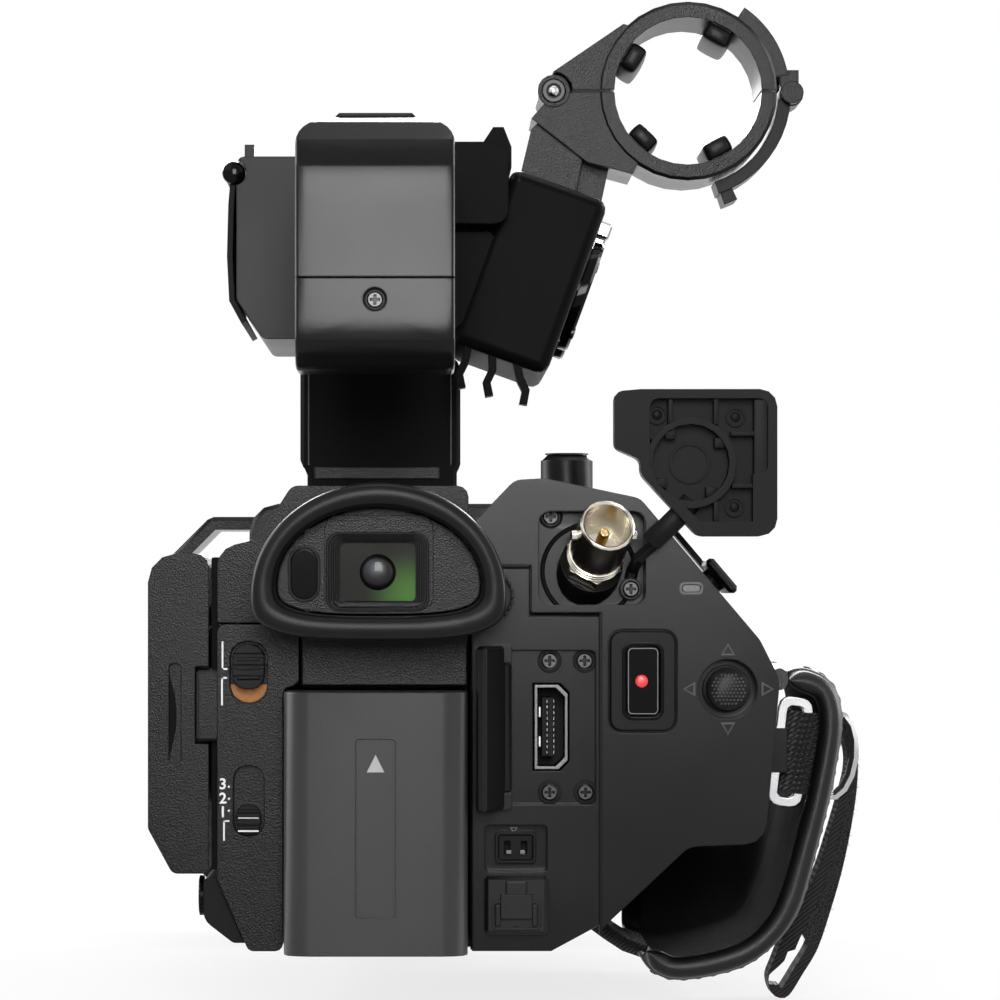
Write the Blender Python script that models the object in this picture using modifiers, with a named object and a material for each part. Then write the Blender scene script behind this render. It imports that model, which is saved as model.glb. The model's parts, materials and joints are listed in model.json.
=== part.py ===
"""Camcorder with a removable top handle, modelled from its driving sizes.

Metres, +Z up. The lens points along +Y, so the rear face looks along -Y.
The origin is on the underside of the base plate, where a tripod head meets it.
"""
import math

import bmesh
import bpy
from mathutils import Vector

MM = 0.001
GAP = 0.3 * MM            # between pieces that touch
WALL = 2.0 * MM           # moulded shells
FINE = 20                 # sides of a small round piece
ROUND = 32                # sides of a large round piece
WELD = 0.001 * MM         # points closer than this are one

# Body shells
BODY_LENGTH = 160.0 * MM
BODY_REAR = -85.0 * MM
SHELL_LIFT = 1.0 * MM     # the shells stop this far above the base plate's underside
SHELL_EDGE = 0.8 * MM
CORNER_ROUND = 1.3 * MM
REAR_WALL = 5.0 * MM      # thick enough for the switch slots
LEFT_COLUMN = 11.5 * MM   # body to the left of the battery
LEFT_CHIN = 12.5 * MM     # height of the slanted lower left corner
LEFT_CHIN_IN = 5.5 * MM
JACK_WIDTH = 22.7 * MM    # jack panel, to the right of the battery
JACK_RISE = 9.8 * MM      # jack panel's top above the upper shell's seam
JACK_DEPTH = 23.0 * MM
JACK_SKIN = 7.0 * MM
SHELF_HEIGHT = 11.2 * MM  # panel between the battery and the eyepiece
SEAM_STEP = 2.8 * MM      # the left shell's seam stands this far right of the bay
PLATE_THICK = 4.0 * MM    # battery plate at the bottom of the bay
PLATE_STEP = 0.5 * MM     # the bay's wall stands this far behind the plate's front
TOP_SIDE = 13.0 * MM      # upper shell's left side above the seam
TOP_SIDE_ROUND = 4.0 * MM
LEDGE_IN = 7.0 * MM       # ledge along the upper shell's left side
LEDGE_RISE = 1.6 * MM
LEDGE_ROUND = 3.0 * MM
TOP_OUT = 0.8 * MM        # flat top beyond the handle's left side
TOP_ROUND = 2.0 * MM
COVER_ROUND = 6.0 * MM

# Battery
BATTERY_WIDTH = 31.6 * MM
BATTERY_HEIGHT = 45.2 * MM
BATTERY_DEPTH = 40.0 * MM
BATTERY_PROUD = 20.0 * MM
BATTERY_X = -4.1 * MM
BATTERY_LIFT = 1.5 * MM
BATTERY_ROUND = 4.5 * MM
BAY_CLEAR = 0.6 * MM
LABEL_WIDTH = 6.8 * MM
LABEL_HEIGHT = 30.6 * MM
LABEL_SINK = 0.4 * MM
LABEL_DROP = 8.0 * MM
LABEL_ROUND = 0.6 * MM
BATTERY_FRONT_ROUND = 1.0 * MM
TERMINAL_WIDTH = 11.0 * MM
TERMINAL_HEIGHT = 7.0 * MM
TERMINAL_PROUD = 3.3 * MM
TERMINAL_DROP = 4.0 * MM  # below the battery's top

# Base plate and tripod socket
BASE_THICK = 3.0 * MM
BASE_TRIM = 8.5 * MM      # flat part stops this far short of the jack panel's right side
BASE_RISE = 4.6 * MM
TRIPOD_BORE = 3.3 * MM
TRIPOD_Y = 18.0 * MM
PIN_BORE = 1.6 * MM
PIN_AHEAD = 12.0 * MM

# Viewfinder
EVF_WIDTH = 26.0 * MM
EVF_HEIGHT = 19.0 * MM
EVF_X = -3.5 * MM
EVF_CLEAR = 1.0 * MM
EVF_LENGTH = 50.0 * MM
EVF_WALL = 2.0 * MM
TOP_WALL = 3.0 * MM
EYECUP_WIDTH = 43.7 * MM
EYECUP_TOP = 13.6 * MM    # above the viewfinder's centre
EYECUP_BOTTOM = 13.5 * MM
EYECUP_RIM = 4.3 * MM
EYECUP_EDGE = 1.5 * MM
EYECUP_DEPTH = 26.0 * MM
EYECUP_REAR = -118.0 * MM
EYE_PANEL_SINK = 9.0 * MM  # inner panel behind the rim
EYE_PANEL_THICK = 6.0 * MM
EYE_WINDOW_WIDTH = 17.0 * MM
EYE_WINDOW_HEIGHT = 14.0 * MM
EYE_WINDOW_ROUND = 1.6 * MM
EYE_LENS_THICK = 2.5 * MM
DIOPTER_RADIUS = 4.6 * MM
DIOPTER_THICK = 3.4 * MM
DIOPTER_DROP = 5.8 * MM   # dial axis below the viewfinder's centre
DIOPTER_PROUD = 1.3 * MM  # beyond the eyecup's right side
DIOPTER_EDGE = 0.5 * MM

# Lens
LENS_Z = 41.0 * MM
TAIL_RADIUS = 27.0 * MM
TAIL_LENGTH = 30.0 * MM   # inside the body
BARREL_RADIUS = 33.0 * MM
BARREL_LENGTH = 38.0 * MM
BARREL_BORE = 25.0 * MM
FRONT_COVER_THICK = 4.0 * MM
RING_LENGTH = 22.0 * MM
RING_THICK = 2.7 * MM
RING_SETBACK = 8.0 * MM
RING_EDGE = 0.7 * MM
GLASS_THICK = 6.0 * MM
GLASS_SINK = 6.0 * MM
HOOD_WIDTH = 101.0 * MM
HOOD_HEIGHT = 79.0 * MM
HOOD_DEPTH = 31.0 * MM
HOOD_WALL = 2.8 * MM
HOOD_CHAMFER = 8.5 * MM
HOOD_BACK = 3.0 * MM
HOOD_DISC = 38.5 * MM     # radius of the hood's back, inside which the lens looks out
HOOD_WEB = 26.0 * MM
SENSOR_SIZE = 30.0 * MM
SENSOR_THICK = 5.0 * MM
BOARD_THICK = 1.6 * MM
BOARD_SHORT = 68.0 * MM   # main board shorter than the body
BOARD_HEIGHT = 39.0 * MM
BOARD_CLEAR = 1.6 * MM
CHIP_SIZE = 14.0 * MM
CHIP_THICK = 1.4 * MM
BOSS_RADIUS = 2.2 * MM

# LCD panel
LCD_THICK = 10.7 * MM
LCD_HEIGHT = 56.3 * MM
LCD_LENGTH = 85.5 * MM
LCD_Z = 14.4 * MM
LCD_SHUT_GAP = 1.6 * MM
LCD_ROUND = 9.0 * MM
LCD_TOP_ROUND = 2.5 * MM
LCD_FOOT_ROUND = 0.8 * MM
LCD_CHIN_ROUND = 1.5 * MM
LCD_CHIN = 7.9 * MM
LCD_CHIN_IN = 4.3 * MM
LCD_SETBACK = 3.0 * MM    # panel's rear edge ahead of the body's
HINGE_RADIUS = 3.8 * MM
HINGE_PIN = 1.5 * MM
HINGE_CLEAR = 0.35 * MM
HINGE_IN = 0.5 * MM       # pin from the middle of the panel's thickness
HINGE_PLATE_IN = 1.0 * MM
KNUCKLE = 6.0 * MM
BARREL_SPAN = 25.0 * MM
CATCH_HEIGHT = 12.4 * MM
CATCH_DEPTH = 8.0 * MM
CATCH_REACH = 3.7 * MM
CATCH_Z = 44.0 * MM
GLASS_LENGTH = 70.0 * MM
GLASS_HEIGHT = 44.0 * MM
LCD_GLASS_THICK = 1.4 * MM
GROOVE_WIDTH = 2.1 * MM
GROOVE_HEIGHT = 17.5 * MM
GROOVE_DEPTH = 1.2 * MM
GROOVE_OUT = 0.6 * MM

# Slide switches on the left shell
AUTO_KNOB = (5.6 * MM, 7.9 * MM)
AUTO_TRAVEL = 2.0 * MM
AUTO_Z = 49.8 * MM
ND_KNOB = (4.4 * MM, 5.1 * MM)
ND_TRAVEL = 6.3 * MM
ND_Z = 27.3 * MM
SLOT_CLEAR = 0.5 * MM
SLOT_DEPTH = 3.0 * MM
SLOT_ROUND = 0.42          # corner radius over width, for the slots and their knobs
KNOB_PROUD = 1.2 * MM
KNOB_EDGE = 0.4 * MM
KNOB_GROOVE = 0.7 * MM
KNOB_GROOVE_DEPTH = 0.6 * MM
KNOB_GROOVES = 3
SLOT_X = -26.5 * MM

# Dial pod under the LCD panel
POD_LENGTH = 60.0 * MM
POD_OUT = 2.6 * MM
POD_HEIGHT = 11.4 * MM
POD_SETBACK = 5.0 * MM
POD_TOP_ROUND = 0.8 * MM
POD_FLANK = 7.4 * MM      # height of the pod's upright side
POD_ROUND = 3.0 * MM
POD_FOOT = 2.4 * MM
POD_FOOT_ROUND = 1.5 * MM
POD_DIAL_RADIUS = 3.4 * MM
POD_DIAL_THICK = 1.0 * MM
POD_DIAL_EDGE = 0.3 * MM
POD_DIAL_Y = -68.0 * MM

# HDMI bay, with its door standing open
HDMI_BAY_WIDTH = 15.6 * MM
HDMI_BAY_HEIGHT = 27.0 * MM
HDMI_BAY_Z = 40.2 * MM
HDMI_BAY_SINK = 2.5 * MM
HDMI_BAY_ROUND = 1.0 * MM
HDMI_MARGIN = 0.4 * MM    # between the bay and the grip
HDMI_PROUD = 0.6 * MM     # socket's rim behind the bay's floor
HDMI_WIDTH = 5.8 * MM
HDMI_HEIGHT = 14.8 * MM
HDMI_DEPTH = 11.0 * MM
HDMI_WALL = 0.5 * MM
HDMI_CORNER = 1.6 * MM
HDMI_TONGUE = 1.6 * MM
HDMI_TONGUE_IN = 2.2 * MM
DOOR_WIDTH = 15.3 * MM
DOOR_HEIGHT = 28.6 * MM
DOOR_THICK = 1.9 * MM
DOOR_BARREL = 1.6 * MM
DOOR_PIN = 0.7 * MM
DOOR_LUG = 3.0 * MM
DOOR_EDGE = 0.5 * MM
DOOR_OPEN = math.radians(105)

# DC bay
DC_WIDTH = 11.0 * MM
DC_HEIGHT = 8.2 * MM
DC_Z = 19.0 * MM
DC_INSET = 2.5 * MM       # bay's left side from the jack panel's
DC_SINK = 5.0 * MM
DC_ROUND = 0.8 * MM
DC_SOCKET_WIDTH = 5.9 * MM
DC_SOCKET_HEIGHT = 4.4 * MM
DC_SOCKET_PROUD = 1.5 * MM
DC_SOCKET_DEPTH = 6.0 * MM
DC_SLOT = 1.0 * MM
DC_SLOT_DEPTH = 3.0 * MM
DC_COVER_HEIGHT = 10.2 * MM
DC_COVER_THICK = 3.2 * MM
DC_PLUG_PROUD = 1.4 * MM
DC_COVER_EDGE = 0.6 * MM

# Grip shell
GRIP_TOP_RISE = 15.5 * MM   # above the jack panel's top
GRIP_SHOULDER_IN = 6.7 * MM
GRIP_SHOULDER_DROP = 3.5 * MM
GRIP_BULGE = 31.2 * MM
GRIP_BULGE_Z = 48.5 * MM
GRIP_FLOOR_Z = 19.3 * MM
GRIP_TOE = 15.3 * MM
GRIP_WALL = 2.5 * MM
GRIP_REAR_WALL = 12.0 * MM
GRIP_TAPER = 36.0 * MM      # length of the slanted front corner
GRIP_EDGE = 1.6 * MM
GRIP_RAMP_UP = 7.1 * MM     # foot of the ramp on the grip's left, above the jack panel
GRIP_RAMP_ROUND = 1.0 * MM
GRIP_RAMP_IN = 7.8 * MM
GRIP_CROWN_IN = 13.1 * MM
GRIP_CROWN_DROP = 0.3 * MM
GRIP_TOP_ROUND = 3.0 * MM
GRIP_SLOPE_IN = 3.5 * MM    # end of the slope from the bulge
GRIP_SLOPE_UP = 7.0 * MM
GRIP_PALM_ROUND = 6.0 * MM
GRIP_HEEL_IN = 2.6 * MM
GRIP_HEEL_UP = 0.5 * MM
GRIP_FLOOR_ROUND = 4.0 * MM

# SDI bay
SDI_OVERHANG = 12.3 * MM    # the grip shell reaches this far over the jack panel
SDI_DROP = 8.3 * MM         # down from the jack panel's top
BAY_WIDTH = 18.7 * MM
BAY_HEIGHT = 16.4 * MM
BAY_INSET = 1.6 * MM
BAY_SINK = 8.0 * MM
BAY_ROUND = 2.0 * MM
BNC_RIGHT = 9.0 * MM        # socket's foot from the bay's left side
BNC_UP = 6.0 * MM           # and above its floor line
BNC_AIM = Vector((0.155, -0.885, 0.44)).normalized()
BNC_RADIUS = 4.85 * MM
BNC_BORE = 4.1 * MM
BNC_LENGTH = 18.0 * MM
BNC_CUP = 10.0 * MM
BNC_EDGE = 0.3 * MM
BNC_FOOT = 5.6 * MM
BNC_RISE = 2.9 * MM         # slanted seat above the bay's floor
BNC_ROOT = 3.0 * MM         # and below it
BNC_THREAD = 3.6 * MM
NUT_RADIUS = 5.3 * MM
NUT_THICK = 2.2 * MM
BNC_PIN = 0.8 * MM
BNC_PIN_SINK = 3.0 * MM     # pin's tip below the socket's mouth
PEG_BACK = 4.0 * MM
PEG_RADIUS = 0.9 * MM
PEG_PROUD = 0.9 * MM
ANCHOR_LEFT = 2.4 * MM      # tether screw from the bay's right side
ANCHOR_UP = 2.8 * MM
ANCHOR_RADIUS = 1.0 * MM
ANCHOR_HEAD = 1.9 * MM
EYELET_RADIUS = 2.0 * MM
EYELET_THICK = 1.8 * MM

# SDI cap, swung up on its tether
CAP_WIDTH = 23.6 * MM
CAP_HEIGHT = 25.4 * MM
CAP_TAB = 4.5 * MM
CAP_TAB_HEIGHT = 11.2 * MM
CAP_TAB_DROP = 0.4 * MM
CAP_TAB_SLANT = 1.0 * MM
CAP_TAB_ROUND = 1.5 * MM
CAP_FOOT_UP = 10.7 * MM     # lower left corner is cut off from here
CAP_FOOT_IN = 9.9 * MM
CAP_FOOT_ROUND = 2.5 * MM
CAP_ROUND = 3.0 * MM
CAP_EDGE = 0.6 * MM
CAP_THICK = 7.0 * MM
CAP_RIM = 1.6 * MM
CAP_SINK = 4.0 * MM
CAP_TRAY_DROP = 2.0 * MM    # tray reaches this far below the cap's middle
CAP_TRAY_ROUND = 1.5 * MM
CUP_DEEPER = 0.5 * MM
CAP_X = 53.4 * MM
CAP_Z = 86.2 * MM
CAP_BEHIND = 4.5 * MM
CUP_RADIUS = 7.8 * MM
CUP_WALL = 1.1 * MM
CUP_LEFT = 3.1 * MM
TETHER_RADIUS = 1.1 * MM
TETHER_CLEAR = 3.15 * MM    # behind the body's rear
TETHER_BEND = (             # right of and above the screw, and how far in from behind the body
    (3.0 * MM, 7.2 * MM, -0.06),
    (1.2 * MM, 5.6 * MM, 0.04),
    (0.7 * MM, 4.4 * MM, 0.5),
    (0.4 * MM, 3.4 * MM, 1.0),
)

# Controls on the grip
START_X = 42.5 * MM
START_Z = 48.3 * MM
START_RING = (11.5 * MM, 17.5 * MM)
START_BUTTON = (5.6 * MM, 11.9 * MM)
START_ROUND = 2.0 * MM
START_PROUD = 0.9 * MM
START_EDGE = 0.3 * MM
START_SINK = 5.5 * MM
RING_SINK = 2.0 * MM
PRESS_TRAVEL = 1.0 * MM
STICK_X = 57.4 * MM
STICK_Z = 46.9 * MM
STICK_DISH = 5.25 * MM
STICK_SINK = 6.5 * MM
STICK_CAP = 3.7 * MM
STICK_STEM = 1.5 * MM
STICK_PROUD = 2.2 * MM
STICK_EDGE = 0.5 * MM
GIMBAL_RADIUS = 4.2 * MM
GIMBAL_THICK = 1.2 * MM
STICK_ROOM = 0.9 * MM       # under the gimbal and round the cap's skirt
LED_WIDTH = 3.1 * MM
LED_HEIGHT = 1.2 * MM
LED_SINK = 1.2 * MM
LED_X = 51.0 * MM
LED_Z = 64.5 * MM
TOP_BUTTON_RADIUS = 4.7 * MM
TOP_BUTTON_PROUD = 5.0 * MM
TOP_BUTTON_X = 30.0 * MM
TOP_BUTTON_Y = -58.0 * MM
TOP_BUTTON_FLANGE = 1.2 * MM
TOP_BUTTON_FLANGE_THICK = 2.0 * MM
TOP_BUTTON_ROOM = 1.0 * MM
TOP_BUTTON_EDGE = 1.2 * MM
ROCKER_WIDTH = 7.6 * MM
ROCKER_LENGTH = 24.0 * MM
ROCKER_THICK = 1.8 * MM
ROCKER_LIFT = 2.0 * MM
ROCKER_STEM = 2.4 * MM
ROCKER_EDGE = 0.6 * MM
ROCKER_AT = 0.62            # along the slope from shoulder to bulge
ROCKER_Y = -58.0 * MM
FINGER_REACH = 7.0 * MM
FINGER_THICK = 1.0 * MM

# Top handle
HANDLE_X = -4.3 * MM
HANDLE_WIDTH = 27.7 * MM
HANDLE_HEIGHT = 44.5 * MM
HANDLE_CLEAR = 20.0 * MM    # hooked rear end above the upper shell
HANDLE_SETBACK = 23.0 * MM  # handle's front end behind the body's
HANDLE_LENGTH = 147.0 * MM
HANDLE_BAR = 21.0 * MM
HANDLE_HOOK = 27.0 * MM
HANDLE_EDGE = 2.6 * MM
HANDLE_ROUND = 5.0 * MM
HANDLE_CROWN_ROUND = 9.0 * MM
CROWN_DROP = 1.8 * MM       # sides of the handle's top below its middle
CROWN_ROUND = 4.4 * MM
CROWN_FLAT = 14.0 * MM
HOOK_ROUND = 7.0 * MM
CAP_SEAM = 15.8 * MM        # rear cap's height
PAD_WIDTH = 14.0 * MM
PAD_PROUD = 1.0 * MM
PAD_SETBACK = 11.0 * MM     # raised top strip from the handle's rear end
PAD_SHORT = 8.0 * MM        # and from its front end
PAD_EDGE = 0.6 * MM
LEG_DEPTH = 32.0 * MM
LEG_OUT = 1.9 * MM          # lower half of the leg beyond the handle's sides
LEG_SHOULDER = 17.2 * MM    # and its top below the bar
FOOT_HEIGHT = 5.0 * MM
FOOT_IN = 1.4 * MM
SCREW_RADIUS = 2.1 * MM
SCREW_SINK = 1.4 * MM
SCREW_UP = 12.0 * MM

# Audio box on the handle's left
AUDIO_WIDTH = 12.8 * MM
AUDIO_HEIGHT = 34.6 * MM
AUDIO_DROP = 0.5 * MM       # below the handle's top
AUDIO_LENGTH = 67.0 * MM
AUDIO_CHIN = 7.5 * MM
AUDIO_CHIN_IN = 5.0 * MM
AUDIO_FIN = 2.6 * MM
AUDIO_ROUND = 1.5 * MM
FIN_IN = 1.4 * MM
FIN_THICK = 1.8 * MM
FIN_SETBACK = 4.0 * MM
FIN_LENGTH = 6.0 * MM
DIAL_DROP = 16.6 * MM       # dials below the box's top
DIAL_WELL = 3.4 * MM
DIAL_WELL_HEIGHT = 15.0 * MM
DIAL_RADIUS = 5.0 * MM
DIAL_HEIGHT = 2.4 * MM
DIAL_EDGE = 0.6 * MM
DIAL_SPACING = 22.0 * MM
AUDIO_DOOR_THICK = 1.1 * MM
AUDIO_HINGE = 1.9 * MM
AUDIO_HINGE_DROP = 3.0 * MM
AUDIO_HINGE_OUT = 0.6 * MM
AUDIO_DOOR_BOW = 0.5 * MM
AUDIO_DOOR_BOW_DROP = 6.0 * MM
AUDIO_DOOR_TOE = (2.3 * MM, 4.2 * MM)
AUDIO_DOOR_SHORT = 2.0 * MM  # door from each end of the box

# XLR box on the handle's right, tilted
XLR_TILT = math.radians(20)
XLR_WIDTH = 19.4 * MM
XLR_HEIGHT = 35.0 * MM
XLR_LENGTH = 67.0 * MM
XLR_REACH = 14.7 * MM       # box centre from the handle's side
XLR_DROP = 22.2 * MM        # and below the handle's top
XLR_EDGE = 2.2 * MM
XLR_SOCKET = 9.6 * MM
XLR_FLANGE = 11.0 * MM
XLR_FLANGE_THICK = 2.0 * MM
XLR_SOCKET_DEPTH = 12.0 * MM
XLR_GROOVE = (6.2 * MM, 8.6 * MM)
XLR_GROOVE_DEPTH = 9.0 * MM
XLR_FACE_SINK = 0.8 * MM
XLR_FLANGE_EDGE = 0.5 * MM
XLR_SPACING = 33.0 * MM
TAB_SIZE = (6.0 * MM, 3.0 * MM)
TAB_PROUD = 2.4 * MM
TAB_SINK = 1.8 * MM
TAB_TRAVEL = 1.0 * MM
TAB_CLEAR = 0.4 * MM
TAB_EDGE = 0.4 * MM
BRACKET_DROP = 12.5 * MM
BRACKET_LUG = 3.8 * MM
BRACKET_PROUD = 1.8 * MM    # above the handle
BRACKET_LUG_EDGES = (1.5 * MM, 3.5 * MM, 6.0 * MM)
BRACKET_BEHIND = 28.0 * MM  # from the box's middle to the bracket's rear end
BRACKET_AHEAD = 20.0 * MM
BRACKET_BLOCK = (10.6 * MM, 15.4 * MM, 6.0 * MM)  # block behind the box: width, height, depth
BRACKET_BLOCK_RISE = 1.7 * MM
BRACKET_BLOCK_ROUND = 2.6 * MM
PRONG_THICK = 1.5 * MM
PRONG_WIDTH = 7.0 * MM
PRONG_LENGTH = 7.6 * MM
PRONG_PITCH = 4.6 * MM
PRONG_IN = 3.5 * MM
PRONG_ROOT = 1.5 * MM
PRONG_SPREAD = 0.9 * MM
PRONG_CURL = (1.1 * MM, 0.6 * MM)
PRONG_SETBACK = 1.7 * MM

# Microphone holder
MIC_REACH = 31.95 * MM      # ring's centre right of the XLR box's
MIC_RISE = 37.8 * MM        # and above it
MIC_SETBACK = 19.5 * MM     # ring's middle behind the handle's front end
MIC_WIDTH = 25.0 * MM
MIC_BORE = 14.5 * MM
MIC_RIM = 3.1 * MM
MIC_EDGE = 0.6 * MM
MIC_HINGE_LEFT = 26.4 * MM  # hinge from the ring's centre
MIC_LUG = 3.2 * MM
MIC_PIN = 1.2 * MM
MIC_SPLIT = 0.5 * MM
MIC_ARM_TOP = 12.0 * MM
MIC_ARM_CROWN = 1.2 * MM
MIC_ARM_CHIN = 4.4 * MM
MIC_ARM_FOOT = 2.0 * MM
MIC_PAD = (4.4 * MM, 3.2 * MM)
MIC_PAD_SHORT = 1.0 * MM
MIC_PAD_ANGLES = (62, 148, -62, -134)
MIC_BAND = 2.6 * MM
MIC_BAND_ROOT = 1.0 * MM
MIC_BAND_ANGLES = (10, 56)
MIC_BRACKET_WIDTH = 11.0 * MM
MIC_BRACKET_DEPTH = 21.0 * MM
MIC_BRACKET_TOP = 5.4 * MM  # below the hinge
MIC_BRACKET_SLANT = 3.0 * MM
MIC_BRACKET_LEDGE = 2.0 * MM
MIC_NECK_LEAN = 4.6 * MM    # neck's foot left of its top
MIC_NECK_WEB = 5.0 * MM     # rib beside the neck: width and depth
MIC_NECK_WEB_DEPTH = 12.0 * MM
LATCH_RIGHT = 20.8 * MM
LATCH_BARREL = 2.4 * MM
LATCH_PIN = 1.0 * MM
LATCH_WIDTH = 13.0 * MM
LATCH_THICK = 2.5 * MM
LATCH_END = -72
LATCH_START = -3
LATCH_EAR = 3.0 * MM
LATCH_EAR_THIN = 0.2 * MM
LATCH_NECK_UP = 2.0 * MM
LATCH_TAIL = 2.4 * MM

# Hand strap
STRAP_LEAN = math.radians(7)
LOOP_HEIGHT = 20.0 * MM     # flat metal loop the strap passes through
LOOP_WIDTH = 4.6 * MM
LOOP_BAR = 1.8 * MM
LOOP_THICK = 2.0 * MM
LOOP_Z = 35.4 * MM
LOOP_Y = -58.0 * MM
LOOP_OUT = 1.6 * MM         # loop's inner bar from the grip's side
LOOP_ROUND = 2.2 * MM
LOOP_HOLE_ROUND = 0.8 * MM
LOOP_EDGE = 0.3 * MM
LUG_HEIGHT = 8.0 * MM
LUG_REACH = 1.6 * MM
WEB_WIDTH = 15.0 * MM
WEB_THICK = 0.9 * MM
WEB_SEWN = (6.0 * MM, 9.0 * MM)  # where its plies meet ahead of the loop, and where they end
PAD_THICK = 4.4 * MM        # at the roll
PAD_REAR = -65.6 * MM
PAD_STATIONS = (            # from the rear end: distance, share of the thickness, inward, tucked under the grip
    (0.0 * MM, 0.4, 1.6 * MM, 0.0),
    (1.0 * MM, 0.9, 1.6 * MM, 0.0),
    (3.2 * MM, 0.9, 1.5 * MM, 0.0),
    (4.8 * MM, 0.5, 0.0 * MM, 0.0),
    (30.0 * MM, 0.48, 0.0 * MM, 0.0),
    (66.0 * MM, 0.5, 0.0 * MM, 0.0),
    (91.6 * MM, 0.52, 0.0 * MM, 0.02),
    (104.0 * MM, 0.6, 0.0 * MM, 0.55),
    (111.0 * MM, 0.6, 0.0 * MM, 0.96),
    (112.6 * MM, 0.4, 0.0 * MM, 1.0),
)
PAD_THIN_EDGE = 0.62        # thickness at the long edges over that in the middle
PAD_KNUCKLE = (             # middle line beside the grip, from its bulge
    (2.6 * MM, 1.0 * MM),
    (6.6 * MM, 0.7 * MM),
    (10.4 * MM, -1.7 * MM),
    (11.8 * MM, -7.6 * MM),
    (10.3 * MM, -18.0 * MM),
)
PAD_PALM = (                # and under it, from its lower right corner
    (7.4 * MM, -1.0 * MM),
    (3.6 * MM, -13.4 * MM),
    (-2.2 * MM, -20.2 * MM),
    (-10.2 * MM, -23.2 * MM),
    (-18.6 * MM, -23.9 * MM),
    (-23.4 * MM, -20.6 * MM),
)
PAD_TUCK = (                # the same points where the front end is tucked under the grip
    (5.0 * MM, 0.4 * MM),
    (1.0 * MM, -2.9 * MM),
    (-3.8 * MM, -3.3 * MM),
    (-10.6 * MM, -3.3 * MM),
    (-17.6 * MM, -5.4 * MM),
    (-22.4 * MM, -9.6 * MM),
)
RING_WIRE = 1.0 * MM
RING_HEIGHT = 15.0 * MM
RING_BULGE = 3.6 * MM
RING_Z = 34.0 * MM
RING_Y = -45.0 * MM
RING_OUT = 9.7 * MM         # pad's middle line there, from the grip's side
TAIL_WIDTH = 9.0 * MM
TAIL_OUTER = (              # tail's outer side, from the ring's outermost point
    (-2.6 * MM, 8.0 * MM),
    (0.4 * MM, 1.7 * MM),
    (0.9 * MM, -2.7 * MM),
    (0.2 * MM, -10.0 * MM),
    (-1.8 * MM, -20.3 * MM),
    (-4.4 * MM, -29.4 * MM),
    (-6.6 * MM, -35.7 * MM),
    (-9.2 * MM, -40.1 * MM),
)
TAIL_FOLD = (
    (-11.7 * MM, -44.0 * MM),
    (-13.4 * MM, -44.6 * MM),
    (-15.0 * MM, -43.6 * MM),
    (-15.7 * MM, -40.8 * MM),
)
TAIL_INNER = (
    (-14.7 * MM, -37.9 * MM),
    (-12.3 * MM, -32.0 * MM),
    (-9.5 * MM, -26.9 * MM),
    (-6.6 * MM, -21.0 * MM),
    (-4.2 * MM, -13.7 * MM),
    (-2.6 * MM, -8.2 * MM),
    (-1.2 * MM, -2.7 * MM),
    (-1.4 * MM, 1.7 * MM),
    (-3.6 * MM, 7.4 * MM),
)
TAIL_EYE = (
    (-9.4 * MM, -33.4 * MM),
    (-11.9 * MM, -37.9 * MM),
    (-11.7 * MM, -40.2 * MM),
    (-10.7 * MM, -40.8 * MM),
    (-9.4 * MM, -37.4 * MM),
)

# Worked out from the sizes above
BAY_LEFT = BATTERY_X - BATTERY_WIDTH / 2 - BAY_CLEAR
BAY_RIGHT = BATTERY_X + BATTERY_WIDTH / 2 + BAY_CLEAR
BAY_TOP = BATTERY_LIFT + BATTERY_HEIGHT + BAY_CLEAR
BODY_LEFT = BAY_LEFT - LEFT_COLUMN
BODY_FRONT = BODY_REAR + BODY_LENGTH
SEAM_LEFT = BAY_LEFT + SEAM_STEP
SEAM_Z = BAY_TOP + SHELF_HEIGHT
BATTERY_REAR = BODY_REAR - BATTERY_PROUD
PLATE_REAR = BATTERY_REAR + BATTERY_DEPTH + BAY_CLEAR
PLATE_FRONT = PLATE_REAR + PLATE_THICK
JACK_RIGHT = BAY_RIGHT + JACK_WIDTH
JACK_TOP = SEAM_Z + JACK_RISE
GRIP_LEFT = JACK_RIGHT + GAP
SDI_LEFT = JACK_RIGHT - SDI_OVERHANG
SDI_FLOOR = JACK_TOP - SDI_DROP
EVF_Z = SEAM_Z + EVF_CLEAR + EVF_HEIGHT / 2
TOP_Z = SEAM_Z + 2 * EVF_CLEAR + EVF_HEIGHT + TOP_WALL
GRIP_TOP = JACK_TOP + GRIP_TOP_RISE
GRIP_RIGHT = GRIP_LEFT + GRIP_BULGE
SHOULDER = Vector((GRIP_LEFT + GRIP_SHOULDER_IN, GRIP_TOP - GRIP_SHOULDER_DROP))
SLOPE_END = Vector((GRIP_RIGHT - GRIP_SLOPE_IN, GRIP_BULGE_Z + GRIP_SLOPE_UP))
HANDLE_BOTTOM = TOP_Z + HANDLE_CLEAR
HANDLE_TOP = HANDLE_BOTTOM + HANDLE_HEIGHT
HANDLE_FRONT = BODY_FRONT - HANDLE_SETBACK
HANDLE_REAR = HANDLE_FRONT - HANDLE_LENGTH
HANDLE_LEFT = HANDLE_X - HANDLE_WIDTH / 2
HANDLE_RIGHT = HANDLE_X + HANDLE_WIDTH / 2
BAR_BOTTOM = HANDLE_TOP - HANDLE_BAR
BOX_FRONT = HANDLE_FRONT
COVER_FRONT = BODY_FRONT + GAP + FRONT_COVER_THICK
BARREL_REAR = COVER_FRONT + GAP
BARREL_FRONT = BARREL_REAR + BARREL_LENGTH
LCD_INNER = BODY_LEFT - LCD_SHUT_GAP
LCD_OUTER = LCD_INNER - LCD_THICK
LCD_REAR = BODY_REAR + LCD_SETBACK
LCD_FRONT = LCD_REAR + LCD_LENGTH
HINGE_X = (LCD_INNER + LCD_OUTER) / 2 + HINGE_IN
HINGE_Y = LCD_FRONT + HINGE_RADIUS + GAP
HINGE_Z = LCD_Z + LCD_HEIGHT / 2
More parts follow.
